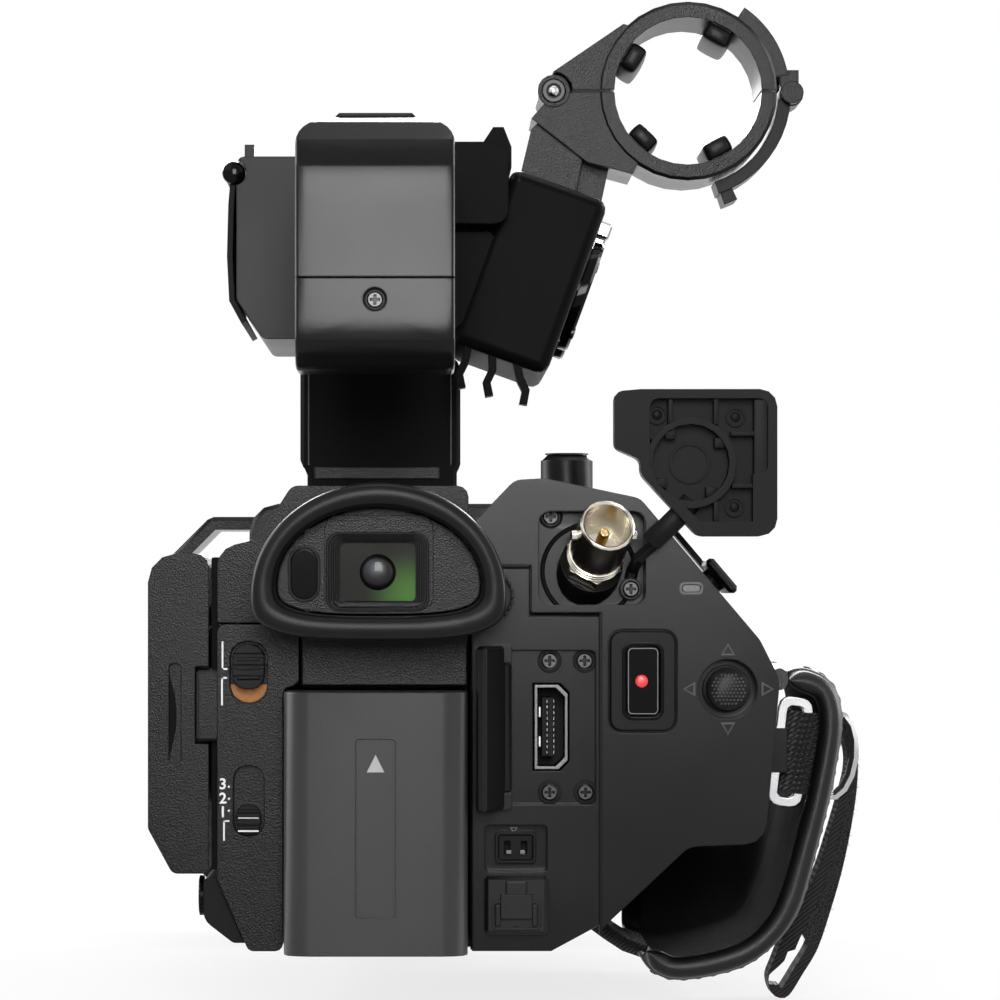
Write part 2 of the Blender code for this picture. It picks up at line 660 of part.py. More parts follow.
XLR_CENTRE = Vector((HANDLE_RIGHT + XLR_REACH, BOX_FRONT - XLR_LENGTH / 2, HANDLE_TOP - XLR_DROP))
MIC_X = XLR_CENTRE.x + MIC_REACH
MIC_Y = HANDLE_FRONT - MIC_SETBACK
MIC_Z = XLR_CENTRE.z + MIC_RISE
BOARD_LENGTH = BODY_LENGTH - BOARD_SHORT

FINISHES = {
    "grained": ((0.035, 0.035, 0.037), 0.62, 0.0),
    "satin": ((0.05, 0.05, 0.052), 0.42, 0.0),
    "dark": ((0.012, 0.012, 0.012), 0.5, 0.0),
    "battery_grey": ((0.055, 0.057, 0.06), 0.5, 0.0),
    "rubber": ((0.015, 0.015, 0.016), 0.75, 0.0),
    "gloss": ((0.008, 0.008, 0.008), 0.15, 0.0),
    "nickel": ((0.75, 0.72, 0.66), 0.2, 1.0),
    "steel": ((0.6, 0.6, 0.62), 0.3, 1.0),
    "glass": ((0.02, 0.03, 0.03), 0.05, 0.0),
    "clear": ((0.5, 0.52, 0.54), 0.1, 0.0),
    "board": ((0.01, 0.09, 0.04), 0.5, 0.0),
    "leather": ((0.012, 0.012, 0.013), 0.6, 0.0),
    "webbing": ((0.02, 0.02, 0.02), 0.85, 0.0),
    "lamp": ((0.6, 0.62, 0.6), 0.3, 0.0),
}

AXIS_TURN = {
    "X": (math.pi / 2, 0, math.pi / 2),
    "Y": (math.pi / 2, 0, 0),
    "Z": (0, 0, 0),
}


# Scene and helpers

def start_scene():
    for obj in list(bpy.data.objects):
        bpy.data.objects.remove(obj, do_unlink=True)
    for name in ("camcorder", "cutters"):
        collection = bpy.data.collections.new(name)
        bpy.context.scene.collection.children.link(collection)


def link(name, data):
    obj = bpy.data.objects.new(name, data)
    bpy.data.collections["camcorder"].objects.link(obj)
    return obj


def as_tool(obj):
    """Keeps an object only as the operand of a Boolean."""
    parts = bpy.data.collections["camcorder"]
    if obj.name in parts.objects:
        parts.objects.unlink(obj)
        bpy.data.collections["cutters"].objects.link(obj)
    obj.hide_render = True
    obj.display_type = "WIRE"


def combine(target, tools, operation):
    for tool in tools:
        as_tool(tool)
        step = target.modifiers.new(operation.lower(), "BOOLEAN")
        step.operation = operation
        step.object = tool
        step.solver = "EXACT"
    return target


def cut(target, *tools):
    return combine(target, tools, "DIFFERENCE")


def fuse(target, *tools):
    return combine(target, tools, "UNION")


def soften(obj, width, segments=1):
    edge = obj.modifiers.new("edges", "BEVEL")
    edge.width = width
    edge.segments = segments
    edge.limit_method = "ANGLE"
    edge.angle_limit = math.radians(40)
    return obj


def paint(obj, finish):
    material = bpy.data.materials.get(finish)
    if material is None:
        colour, roughness, metallic = FINISHES[finish]
        material = bpy.data.materials.new(finish)
        material.use_nodes = True
        shader = material.node_tree.nodes["Principled BSDF"]
        shader.inputs["Base Color"].default_value = (*colour, 1.0)
        shader.inputs["Roughness"].default_value = roughness
        shader.inputs["Metallic"].default_value = metallic
        material.diffuse_color = (*colour, 1.0)
    obj.data.materials.clear()
    obj.data.materials.append(material)
    return obj


def pivot(name, point, *pieces):
    """Hangs pieces on an empty that stands on their joint's axis."""
    empty = link(name, None)
    empty.location = point
    for piece in pieces:
        piece.location = piece.location - Vector(point)
        piece.parent = empty
    return empty


def lean(name, point, angle, *pieces):
    """Hangs pieces that were modelled about a point on an empty there, leaning to the right."""
    empty = bpy.data.objects.get(name)
    if empty is None:
        empty = link(name, None)
        empty.location = point
        empty.rotation_euler = (0, angle, 0)
    for piece in pieces:
        piece.parent = empty


def block(name, low, high):
    low = Vector(low)
    high = Vector(high)
    cube = bmesh.new()
    bmesh.ops.create_cube(cube, size=1.0)
    bmesh.ops.scale(cube, vec=high - low, verts=cube.verts)
    mesh = bpy.data.meshes.new(name)
    cube.to_mesh(mesh)
    cube.free()
    obj = link(name, mesh)
    obj.location = (low + high) / 2
    return obj


def rod(name, start, end, radius, sides=FINE):
    start = Vector(start)
    end = Vector(end)
    cone = bmesh.new()
    bmesh.ops.create_cone(
        cone, cap_ends=True, segments=sides, radius1=radius, radius2=radius, depth=(end - start).length
    )
    mesh = bpy.data.meshes.new(name)
    cone.to_mesh(mesh)
    cone.free()
    obj = link(name, mesh)
    obj.location = (start + end) / 2
    obj.rotation_euler = (end - start).to_track_quat("Z", "Y").to_euler()
    return obj


def along_y(name, x, z, low, high, radius, sides=FINE):
    return rod(name, (x, low, z), (x, high, z), radius, sides)


def rounded(corners, steps=3):
    """Outline from corners (u, v, radius), with each rounded corner drawn as an arc."""
    outline = []
    for index, (u, v, radius) in enumerate(corners):
        here = Vector((u, v))
        back = Vector(corners[index - 1][:2]) - here
        ahead = Vector(corners[(index + 1) % len(corners)][:2]) - here
        if radius == 0:
            outline.append((u, v))
            continue
        half = back.angle(ahead) / 2
        reach = min(radius / math.tan(half), 0.48 * back.length, 0.48 * ahead.length)
        radius = reach * math.tan(half)
        centre = here + (back.normalized() + ahead.normalized()).normalized() * radius / math.sin(half)
        first = here + back.normalized() * reach - centre
        last = here + ahead.normalized() * reach - centre
        angle = math.atan2(first.y, first.x)
        turn = math.atan2(first.x * last.y - first.y * last.x, first.dot(last))
        for step in range(steps + 1):
            at = angle + turn * step / steps
            outline.append((centre.x + radius * math.cos(at), centre.y + radius * math.sin(at)))
    return outline


def rectangle(left, bottom, right, top, radius=0.0):
    corners = ((left, bottom), (right, bottom), (right, top), (left, top))
    return rounded([(u, v, radius) for u, v in corners])


def inset(points, distance):
    """Outline moved inwards by a wall."""
    area = sum(a[0] * b[1] - b[0] * a[1] for a, b in zip(points, points[1:] + points[:1]))
    side = 1 if area > 0 else -1
    moved = []
    for index, point in enumerate(points):
        here = Vector(point[:2])
        before = (here - Vector(points[index - 1][:2])).normalized()
        after = (Vector(points[(index + 1) % len(points)][:2]) - here).normalized()
        first = Vector((-before.y, before.x)) * side
        second = Vector((-after.y, after.x)) * side
        shift = (first + second) / (1 + first.dot(second))
        moved.append(tuple(here + shift * distance))
    return moved


def band(path, thickness):
    """Outline of a strip of even thickness along a path."""
    left = []
    right = []
    for index, point in enumerate(path):
        here = Vector(point)
        before = here - Vector(path[max(index - 1, 0)])
        after = Vector(path[min(index + 1, len(path) - 1)]) - here
        along = (before.normalized() + after.normalized()).normalized()
        across = Vector((-along.y, along.x)) * thickness / 2
        left.append(tuple(here + across))
        right.append(tuple(here - across))
    return left + right[::-1]


def sector(centre, inner, outer, first, last, steps=10):
    """Outline of part of a ring, with its angles in degrees."""
    points = []
    for radius, ends in ((inner, (first, last)), (outer, (last, first))):
        for step in range(steps + 1):
            angle = math.radians(ends[0] + (ends[1] - ends[0]) * step / steps)
            points.append((centre[0] + radius * math.cos(angle), centre[1] + radius * math.sin(angle)))
    return points


def plain_mesh(obj, name):
    """Turns a curve into a welded mesh that stands in its place."""
    bpy.context.view_layer.update()
    seen = obj.evaluated_get(bpy.context.evaluated_depsgraph_get())
    mesh = bpy.data.meshes.new_from_object(seen)
    welded = bmesh.new()
    welded.from_mesh(mesh)
    bmesh.ops.remove_doubles(welded, verts=welded.verts, dist=WELD)
    bmesh.ops.recalc_face_normals(welded, faces=welded.faces)
    welded.to_mesh(mesh)
    welded.free()
    solid = link(name, mesh)
    solid.location = obj.location
    solid.rotation_euler = obj.rotation_euler
    bpy.data.objects.remove(obj, do_unlink=True)
    solid.name = name
    return solid


def prism(name, outline, axis, low, high):
    """Flat outline drawn out along an axis: X takes (y, z), Y takes (x, z) and Z takes (x, y)."""
    curve = bpy.data.curves.new(name, "CURVE")
    curve.dimensions = "2D"
    curve.fill_mode = "BOTH"
    curve.extrude = (high - low) / 2
    spline = curve.splines.new("POLY")
    spline.points.add(len(outline) - 1)
    for point, (u, v) in zip(spline.points, outline):
        point.co = (u, v, 0, 1)
    spline.use_cyclic_u = True
    obj = link(name + "_outline", curve)
    obj.rotation_euler = AXIS_TURN[axis]
    obj.location["XYZ".index(axis)] = (low + high) / 2
    return plain_mesh(obj, name)


def turned(name, profile, origin, aim, sides=ROUND, closed=False):
    """Profile of (radius, height) points, running down its outside, turned about a line."""
    mesh = bpy.data.meshes.new(name)
    edges = [(index, index + 1) for index in range(len(profile) - 1)]
    if closed:
        edges.append((len(profile) - 1, 0))
    mesh.from_pydata([(radius, 0, height) for radius, height in profile], edges, [])
    obj = link(name, mesh)
    screw = obj.modifiers.new("turn", "SCREW")
    screw.steps = sides
    screw.render_steps = sides
    screw.use_merge_vertices = True
    screw.merge_threshold = 10 * WELD
    obj.location = origin
    obj.rotation_euler = Vector(aim).to_track_quat("Z", "Y").to_euler()
    return obj


def lofted(name, loops, ring=False):
    """Skin over loops of as many points each, joined into a ring or closed at both ends.

    A loop runs up one side and down the other, so each end is a strip across it."""
    cage = bmesh.new()
    rows = [[cage.verts.new(point) for point in loop] for loop in loops]
    count = len(rows[0])
    following = rows[1:] + rows[:1] if ring else rows[1:]
    for row, beside in zip(rows, following):
        for index in range(count):
            ahead = (index + 1) % count
            cage.faces.new((row[index], row[ahead], beside[ahead], beside[index]))
    for end in () if ring else (rows[0], rows[-1]):
        for index in range(count // 2 - 1):
            far = count - 1 - index
            cage.faces.new((end[index], end[index + 1], end[far - 1], end[far]))
    bmesh.ops.recalc_face_normals(cage, faces=cage.faces)
    mesh = bpy.data.meshes.new(name)
    cage.to_mesh(mesh)
    cage.free()
    return link(name, mesh)


def wire(name, points, radius, cyclic=False):
    curve = bpy.data.curves.new(name, "CURVE")
    curve.dimensions = "3D"
    curve.bevel_depth = radius
    curve.bevel_resolution = 1
    curve.use_fill_caps = True
    spline = curve.splines.new("POLY")
    spline.points.add(len(points) - 1)
    for point, place in zip(spline.points, points):
        point.co = (*place, 1)
    spline.use_cyclic_u = cyclic
    return plain_mesh(link(name + "_path", curve), name)


# Body shells

def left_outline():
    return [
        (BAY_LEFT, SHELL_LIFT),
        (BAY_LEFT, BAY_TOP),
        (SEAM_LEFT, BAY_TOP),
        (SEAM_LEFT, SEAM_Z - GAP),
        (BODY_LEFT, SEAM_Z - GAP),
        (BODY_LEFT, SHELL_LIFT + LEFT_CHIN),
        (BODY_LEFT + LEFT_CHIN_IN, SHELL_LIFT),
    ]


def lens_tunnel(name):
    low = BODY_FRONT - TAIL_LENGTH - SENSOR_THICK
    return along_y(name, 0, LENS_Z, low, COVER_FRONT + WALL, TAIL_RADIUS + 2 * GAP, ROUND)


def left_shell():
    outline = left_outline()
    corners = [(x, z, CORNER_ROUND) for x, z in outline]
    shell = soften(prism("left_shell", rounded(corners, 3), "Y", BODY_REAR, BODY_FRONT), SHELL_EDGE, 2)
    cavity = prism("left_cavity", inset(outline, WALL), "Y", BODY_REAR + REAR_WALL, BODY_FRONT - WALL)
    mouth = block(
        "left_mouth",
        (BAY_LEFT - 2 * WALL, PLATE_FRONT, SHELL_LIFT + 2 * WALL),
        (SEAM_LEFT + WALL, BODY_FRONT - 2 * WALL, SEAM_Z - 2 * WALL),
    )
    cut(shell, lens_tunnel("left_lens_tunnel"), cavity, mouth)
    for name, knob, travel, z in slots():
        length = knob[1] + travel + 2 * SLOT_CLEAR
        width = knob[0] + 2 * SLOT_CLEAR
        outline = rectangle(
            SLOT_X - width / 2, z - length / 2, SLOT_X + width / 2, z + length / 2, width * SLOT_ROUND
        )
        cut(shell, prism(name + "_slot", outline, "Y", BODY_REAR - WALL, BODY_REAR + SLOT_DEPTH))
    catch = block(
        "lcd_catch",
        (LCD_INNER - CATCH_REACH + LCD_SHUT_GAP, LCD_REAR - WALL, CATCH_Z - CATCH_HEIGHT / 2),
        (BODY_LEFT + WALL / 2, LCD_REAR + CATCH_DEPTH, CATCH_Z + CATCH_HEIGHT / 2),
    )
    fuse(shell, soften(catch, SHELL_EDGE / 2))
    for number, (y, z) in enumerate(board_bosses()):
        wall = (BODY_LEFT + WALL / 2, y, z)
        fuse(shell, rod(f"board_boss_{number}", wall, (board_left() - GAP, y, z), BOSS_RADIUS, 12))
    return paint(shell, "grained")


def slots():
    return (("auto", AUTO_KNOB, AUTO_TRAVEL, AUTO_Z), ("nd", ND_KNOB, ND_TRAVEL, ND_Z))


def top_outline():
    return [
        (BODY_LEFT, SEAM_Z, 0),
        (BODY_LEFT, SEAM_Z + TOP_SIDE, TOP_SIDE_ROUND),
        (BODY_LEFT + LEDGE_IN, SEAM_Z + TOP_SIDE + LEDGE_RISE, LEDGE_ROUND),
        (HANDLE_LEFT - TOP_OUT, TOP_Z, TOP_ROUND),
        (BAY_RIGHT - GAP, TOP_Z, TOP_ROUND),
        (BAY_RIGHT - GAP, SEAM_Z, 0),
    ]


def top_cover():
    corners = top_outline()
    shell = soften(prism("top_cover", rounded(corners), "Y", BODY_REAR, BODY_FRONT), SHELL_EDGE, 2)
    inner = inset([corner[:2] for corner in corners], WALL)
    drop = Vector((0, 3 * WALL))
    inner[0] = tuple(Vector(inner[0]) - drop)
    inner[-1] = tuple(Vector(inner[-1]) - drop)
    cavity = prism("top_cavity", inner, "Y", BODY_REAR + 1.5 * WALL, BODY_FRONT - WALL)
    window = block(
        "evf_window",
        (EVF_X - EVF_WIDTH / 2 - EVF_CLEAR / 2, BODY_REAR - WALL, EVF_Z - EVF_HEIGHT / 2 - EVF_CLEAR / 2),
        (EVF_X + EVF_WIDTH / 2 + EVF_CLEAR / 2, BODY_REAR + 3 * WALL, EVF_Z + EVF_HEIGHT / 2 + EVF_CLEAR / 2),
    )
    cut(shell, cavity, window, lens_tunnel("top_lens_tunnel"))
    return paint(shell, "grained")


def grip_corners():
    return [
        (BAY_RIGHT, JACK_TOP + GAP, 0),
        (BAY_RIGHT, JACK_TOP + GRIP_RAMP_UP, GRIP_RAMP_ROUND),
        (BAY_RIGHT + GRIP_RAMP_IN, GRIP_TOP - GRIP_CROWN_DROP, GRIP_TOP_ROUND),
        (BAY_RIGHT + GRIP_CROWN_IN, GRIP_TOP, GRIP_TOP_ROUND),
        (SHOULDER.x, SHOULDER.y, GRIP_TOP_ROUND),
        (SLOPE_END.x, SLOPE_END.y, GRIP_PALM_ROUND),
        (GRIP_RIGHT, GRIP_BULGE_Z, GRIP_PALM_ROUND),
        (GRIP_RIGHT - GRIP_HEEL_IN, GRIP_FLOOR_Z + GRIP_HEEL_UP, GRIP_FLOOR_ROUND),
        (GRIP_LEFT + GRIP_TOE, GRIP_FLOOR_Z, GRIP_FLOOR_ROUND),
        (GRIP_LEFT, BASE_RISE + GAP, 0),
        (GRIP_LEFT, SDI_FLOOR + GAP, 0),
        (SDI_LEFT + GAP, SDI_FLOOR + GAP, 0),
        (SDI_LEFT + GAP, JACK_TOP + GAP, 0),
    ]


def sdi_bay():
    """Left, bottom, right and top of the recess round the coaxial socket."""
    left = SDI_LEFT + BAY_INSET
    bottom = SDI_FLOOR + BAY_INSET
    return left, bottom, left + BAY_WIDTH, bottom + BAY_HEIGHT


def bnc_foot():
    left, bottom, _, _ = sdi_bay()
    return Vector((left + BNC_RIGHT, BODY_REAR + BAY_SINK, bottom + BNC_UP))


def anchor_point():
    _, bottom, right, _ = sdi_bay()
    return Vector((right - ANCHOR_LEFT, BODY_REAR + BAY_SINK, bottom + ANCHOR_UP))


def grip_shell():
    corners = grip_corners()
    shell = soften(prism("grip_shell", rounded(corners), "Y", BODY_REAR, BODY_FRONT), GRIP_EDGE, 2)
    inner = inset([corner[:2] for corner in corners], GRIP_WALL)
    front = BODY_FRONT - GRIP_TAPER - GRIP_WALL
    cavity = prism("grip_cavity", inner, "Y", BODY_REAR + GRIP_REAR_WALL, front)
    mouth = block(
        "grip_mouth",
        (GRIP_LEFT - GRIP_WALL, BODY_REAR + GRIP_REAR_WALL + WALL, GRIP_FLOOR_Z),
        (GRIP_LEFT + 2 * GRIP_WALL, front - WALL, SDI_FLOOR - GRIP_WALL),
    )
    taper = prism(
        "grip_front_slant",
        [
            (GRIP_RIGHT + WALL, BODY_FRONT - GRIP_TAPER),
            (GRIP_RIGHT + WALL, BODY_FRONT + WALL),
            (GRIP_LEFT + GRIP_WALL, BODY_FRONT + WALL),
        ],
        "Z",
        -WALL,
        GRIP_TOP + WALL,
    )
    cut(shell, cavity, mouth, taper)
    return paint(grip_rear_pockets(shell), "satin")


def grip_rear_pockets(shell):
    left, bottom, right, top = sdi_bay()
    outside = BODY_REAR - WALL
    bay = prism("sdi_bay", rectangle(left, bottom, right, top, BAY_ROUND), "Y", outside, BODY_REAR + BAY_SINK)
    cut(shell, bay)
    foot = bnc_foot()
    boss = rod("bnc_boss", foot - BNC_AIM * BNC_ROOT, foot + BNC_AIM * BNC_RISE, BNC_FOOT)
    anchor = anchor_point()
    under = anchor.y - TETHER_RADIUS - EYELET_THICK / 2 - 2 * GAP
    x, y, z = anchor
    post = along_y("tether_post", x, z, under - ANCHOR_RADIUS / 2, y + WALL / 2, ANCHOR_RADIUS, 12)
    head = along_y("tether_head", x, z, under - ANCHOR_RADIUS, under, ANCHOR_HEAD, 12)
    fuse(shell, boss, post, head)
    bottom = foot - BNC_AIM * BNC_LENGTH / 2
    cut(shell, rod("bnc_hole", bottom, foot + BNC_AIM * 2 * BNC_RISE, BNC_THREAD + GAP))
    ring = rectangle(
        START_X - START_RING[0] / 2 - GAP, START_Z - START_RING[1] / 2 - GAP,
        START_X + START_RING[0] / 2 + GAP, START_Z + START_RING[1] / 2 + GAP, START_ROUND + GAP,
    )
    well = rectangle(
        START_X - START_BUTTON[0] / 2 - GAP, START_Z - START_BUTTON[1] / 2 - GAP,
        START_X + START_BUTTON[0] / 2 + GAP, START_Z + START_BUTTON[1] / 2 + GAP, START_ROUND / 2,
    )
    lamp = rectangle(
        LED_X - LED_WIDTH / 2 - GAP, LED_Z - LED_HEIGHT / 2 - GAP,
        LED_X + LED_WIDTH / 2 + GAP, LED_Z + LED_HEIGHT / 2 + GAP, LED_HEIGHT / 2,
    )
    cut(
        shell,
        prism("start_ring_pocket", ring, "Y", outside, BODY_REAR + RING_SINK),
        prism("start_button_well", well, "Y", outside, BODY_REAR + START_SINK + PRESS_TRAVEL + GAP),
        along_y("stick_dish", STICK_X, STICK_Z, outside, BODY_REAR + STICK_SINK, STICK_DISH),
        prism("led_pocket", lamp, "Y", outside, BODY_REAR + LED_SINK),
        rod(
            "top_button_hole",
            (TOP_BUTTON_X, TOP_BUTTON_Y, GRIP_TOP - 3 * GRIP_WALL),
            (TOP_BUTTON_X, TOP_BUTTON_Y, GRIP_TOP + WALL),
            TOP_BUTTON_RADIUS + GAP,
        ),
    )
    bar = loop_bar()
    lug = block(
        "strap_lug",
        (bar.x - 2 * LUG_REACH, LOOP_Y - LUG_REACH, LOOP_Z - LUG_HEIGHT / 2),
        (bar.x + LUG_REACH, LOOP_Y + LUG_REACH, LOOP_Z + LUG_HEIGHT / 2),
    )
    fuse(shell, lug)
    half = Vector((LOOP_BAR / 2 + GAP, LOOP_THICK / 2 + GAP, LUG_HEIGHT))
    slot = block("strap_lug_slot", -half, half)
    lean("strap_lug_axes", bar, STRAP_LEAN, slot)
    return cut(shell, slot)


def jack_outline():
    return [
        (BAY_RIGHT, SHELL_LIFT),
        (JACK_RIGHT - BASE_TRIM, SHELL_LIFT),
        (JACK_RIGHT, BASE_RISE + SHELL_LIFT),
        (JACK_RIGHT, SDI_FLOOR),
        (SDI_LEFT, SDI_FLOOR),
        (SDI_LEFT, JACK_TOP),
        (BAY_RIGHT, JACK_TOP),
    ]


def hdmi_x():
    """Middle of the HDMI bay."""
    return JACK_RIGHT - GAP - HDMI_BAY_WIDTH / 2 - HDMI_MARGIN


def door_axis():
    return hdmi_x() - HDMI_BAY_WIDTH / 2 - DOOR_BARREL / 2, BODY_REAR - DOOR_BARREL - GAP


def dc_x():
    return BAY_RIGHT + DC_INSET + DC_WIDTH / 2


def jack_panel():
    outline = jack_outline()
    panel = soften(prism("jack_panel", outline, "Y", BODY_REAR, BODY_REAR + JACK_DEPTH), SHELL_EDGE / 2)
    hollow = prism(
        "jack_hollow", inset(outline, WALL), "Y", BODY_REAR + JACK_SKIN, BODY_REAR + JACK_DEPTH + WALL
    )
    bay = rectangle(
        hdmi_x() - HDMI_BAY_WIDTH / 2, HDMI_BAY_Z - HDMI_BAY_HEIGHT / 2,
        hdmi_x() + HDMI_BAY_WIDTH / 2, HDMI_BAY_Z + HDMI_BAY_HEIGHT / 2, HDMI_BAY_ROUND,
    )
    hole = hdmi_outline(GAP)
    dc_bay = rectangle(
        dc_x() - DC_WIDTH / 2, DC_Z - DC_HEIGHT / 2, dc_x() + DC_WIDTH / 2, DC_Z + DC_HEIGHT / 2, DC_ROUND
    )
    dc_hole = rectangle(
        dc_x() - DC_SOCKET_WIDTH / 2 - GAP, DC_Z - DC_SOCKET_HEIGHT / 2 - GAP,
        dc_x() + DC_SOCKET_WIDTH / 2 + GAP, DC_Z + DC_SOCKET_HEIGHT / 2 + GAP,
    )
    outside = BODY_REAR - WALL
    cut(
        panel,
        hollow,
        prism("hdmi_bay", bay, "Y", outside, BODY_REAR + HDMI_BAY_SINK),
        prism("hdmi_hole", hole, "Y", outside, BODY_REAR + 2 * JACK_SKIN),
        prism("dc_bay", dc_bay, "Y", outside, BODY_REAR + DC_SINK),
        prism("dc_hole", dc_hole, "Y", outside, BODY_REAR + 2 * JACK_SKIN),
    )
    x, y = door_axis()
    low = HDMI_BAY_Z - DOOR_HEIGHT / 2
    high = HDMI_BAY_Z + DOOR_HEIGHT / 2
    for name, z in (("door_lug_low", low), ("door_lug_high", high - DOOR_LUG)):
        lug = block(
            name, (x - DOOR_BARREL, y - DOOR_BARREL, z), (x + DOOR_BARREL, BODY_REAR + WALL / 2, z + DOOR_LUG)
        )
        fuse(panel, lug)
    fuse(panel, rod("door_pin", (x, y, low + DOOR_LUG / 2), (x, y, high - DOOR_LUG / 2), DOOR_PIN, 12))
    return paint(panel, "satin")


def battery_plate():
    shelf = block(
        "battery_plate",
        (SEAM_LEFT + GAP, BODY_REAR, BAY_TOP),
        (BAY_RIGHT - GAP, PLATE_FRONT, SEAM_Z - GAP),
    )
    soften(shelf, SHELL_EDGE / 2)
    wall = block(
        "bay_wall",
        (SEAM_LEFT + 2 * GAP, PLATE_REAR, BASE_THICK + GAP),
        (BAY_RIGHT - GAP, PLATE_FRONT - PLATE_STEP, BAY_TOP + WALL),
    )
    top = BATTERY_LIFT + BATTERY_HEIGHT - TERMINAL_DROP
    terminals = block(
        "terminals",
        (BATTERY_X - TERMINAL_WIDTH / 2, PLATE_REAR - TERMINAL_PROUD, top - TERMINAL_HEIGHT),
        (BATTERY_X + TERMINAL_WIDTH / 2, PLATE_REAR + WALL / 2, top),
    )
    return paint(fuse(shelf, wall, terminals), "grained")


def base_plate():
    right = JACK_RIGHT - BASE_TRIM
    outline = [
        (BAY_LEFT + GAP, 0),
        (right, 0),
        (JACK_RIGHT, BASE_RISE),
        (JACK_RIGHT, BASE_RISE + BASE_THICK),
        (right - GAP, BASE_THICK),
        (BAY_LEFT + GAP, BASE_THICK),
    ]
    plate = prism("base_plate", outline, "Y", PLATE_FRONT + GAP, BODY_FRONT - WALL)
    above = BASE_THICK + WALL
    cut(
        plate,
        rod("tripod_hole", (0, TRIPOD_Y, -WALL), (0, TRIPOD_Y, above), TRIPOD_BORE),
        rod("pin_hole", (0, TRIPOD_Y + PIN_AHEAD, -WALL), (0, TRIPOD_Y + PIN_AHEAD, above), PIN_BORE, 16),
    )
    return paint(plate, "dark")


# Lens

def front_cover():
    outline = rectangle(BODY_LEFT, SHELL_LIFT, JACK_RIGHT + GRIP_WALL, TOP_Z, COVER_ROUND)
    cover = soften(prism("front_cover", outline, "Y", BODY_FRONT + GAP, COVER_FRONT), SHELL_EDGE)
    return paint(cut(cover, lens_tunnel("front_lens_tunnel")), "satin")


def lens_barrel():
    tail = BODY_FRONT - TAIL_LENGTH
    profile = [
        (BARREL_BORE, BARREL_FRONT - tail),
        (BARREL_RADIUS, BARREL_FRONT - tail),
        (BARREL_RADIUS, BARREL_REAR - tail),
        (TAIL_RADIUS, BARREL_REAR - tail),
        (TAIL_RADIUS, 0),
        (BARREL_BORE - 4 * WALL, 0),
        (BARREL_BORE - 4 * WALL, WALL),
        (BARREL_BORE, 3 * WALL),
    ]
    return paint(turned("lens_barrel", profile, (0, tail, LENS_Z), (0, 1, 0), closed=True), "satin")


def lens_ring():
    front = BARREL_FRONT - RING_SETBACK
    inner = BARREL_RADIUS + GAP
    outer = inner + RING_THICK
    profile = [
        (inner, RING_LENGTH),
        (outer - RING_EDGE, RING_LENGTH),
        (outer, RING_LENGTH - RING_EDGE),
        (outer, RING_EDGE),
        (outer - RING_EDGE, 0),
        (inner, 0),
    ]
    ring = turned("lens_ring", profile, (0, front - RING_LENGTH, LENS_Z), (0, 1, 0), closed=True)
    pivot("lens_ring_axis", (0, front - RING_LENGTH / 2, LENS_Z), ring)
    return paint(ring, "rubber")


def front_lens():
    radius = BARREL_BORE - GAP
    rear = BARREL_FRONT - GLASS_SINK - GLASS_THICK
    crown = []
    for degrees in range(0, 91, 15):
        angle = math.radians(degrees)
        crown.append((radius * math.sin(angle), GLASS_THICK * (0.55 + 0.45 * math.cos(angle))))
    profile = crown + [(radius, 0), (0, 0)]
    return paint(turned("front_lens", profile, (0, rear, LENS_Z), (0, 1, 0)), "glass")


def chamfered(half_width, half_height, chamfer):
    """Corners of a rectangle about the lens axis, with its corners cut off."""
    corners = []
    for right, up in ((1, 1), (-1, 1), (-1, -1), (1, -1)):
        pair = [
            (right * half_width, LENS_Z + up * (half_height - chamfer)),
            (right * (half_width - chamfer), LENS_Z + up * half_height),
        ]
        corners += pair if right == up else pair[::-1]
    return corners


def lens_hood():
    rear = BARREL_FRONT + GAP
    outer = chamfered(HOOD_WIDTH / 2, HOOD_HEIGHT / 2, HOOD_CHAMFER)
    hood = soften(prism("lens_hood", outer, "Y", rear, rear + HOOD_DEPTH), SHELL_EDGE)
    cut(hood, prism("hood_hollow", inset(outer, HOOD_WALL), "Y", rear - WALL, rear + HOOD_DEPTH + WALL))
    disc = along_y("hood_disc", 0, LENS_Z, rear, rear + HOOD_BACK, HOOD_DISC, ROUND)
    web = block(
        "hood_web",
        (-HOOD_WIDTH / 2 + HOOD_WALL / 2, rear, LENS_Z - HOOD_WEB / 2),
        (HOOD_WIDTH / 2 - HOOD_WALL / 2, rear + HOOD_BACK - GAP, LENS_Z + HOOD_WEB / 2),
    )
    fuse(hood, disc, web)
    cut(hood, along_y("hood_eye", 0, LENS_Z, rear - WALL, rear + HOOD_DEPTH, BARREL_BORE + WALL, ROUND))
    return paint(hood, "satin")


def sensor_board():
    front = BODY_FRONT - TAIL_LENGTH - GAP
    half = SENSOR_SIZE / 2
    board = block("sensor_board", (-half, front - BOARD_THICK, LENS_Z - half), (half, front, LENS_Z + half))
    chip = block(
        "sensor_chip",
        (-half / 2, front - SENSOR_THICK + GAP, LENS_Z - half / 2),
        (half / 2, front - BOARD_THICK / 2, LENS_Z + half / 2),
    )
    return paint(fuse(board, chip), "board")


def board_left():
    return BAY_LEFT - WALL - BOARD_CLEAR


def board_bosses():
    reach = BOARD_LENGTH / 2 - 2 * BOSS_RADIUS
    rise = BOARD_HEIGHT / 2 - 2 * BOSS_RADIUS
    middle = (board_rear() + BOARD_LENGTH / 2, board_bottom() + BOARD_HEIGHT / 2)
    return [(middle[0] + a * reach, middle[1] + b * rise) for a in (-1, 1) for b in (-1, 1)]


def board_rear():
    return PLATE_FRONT + WALL


def board_bottom():
    return SHELL_LIFT + LEFT_CHIN - WALL


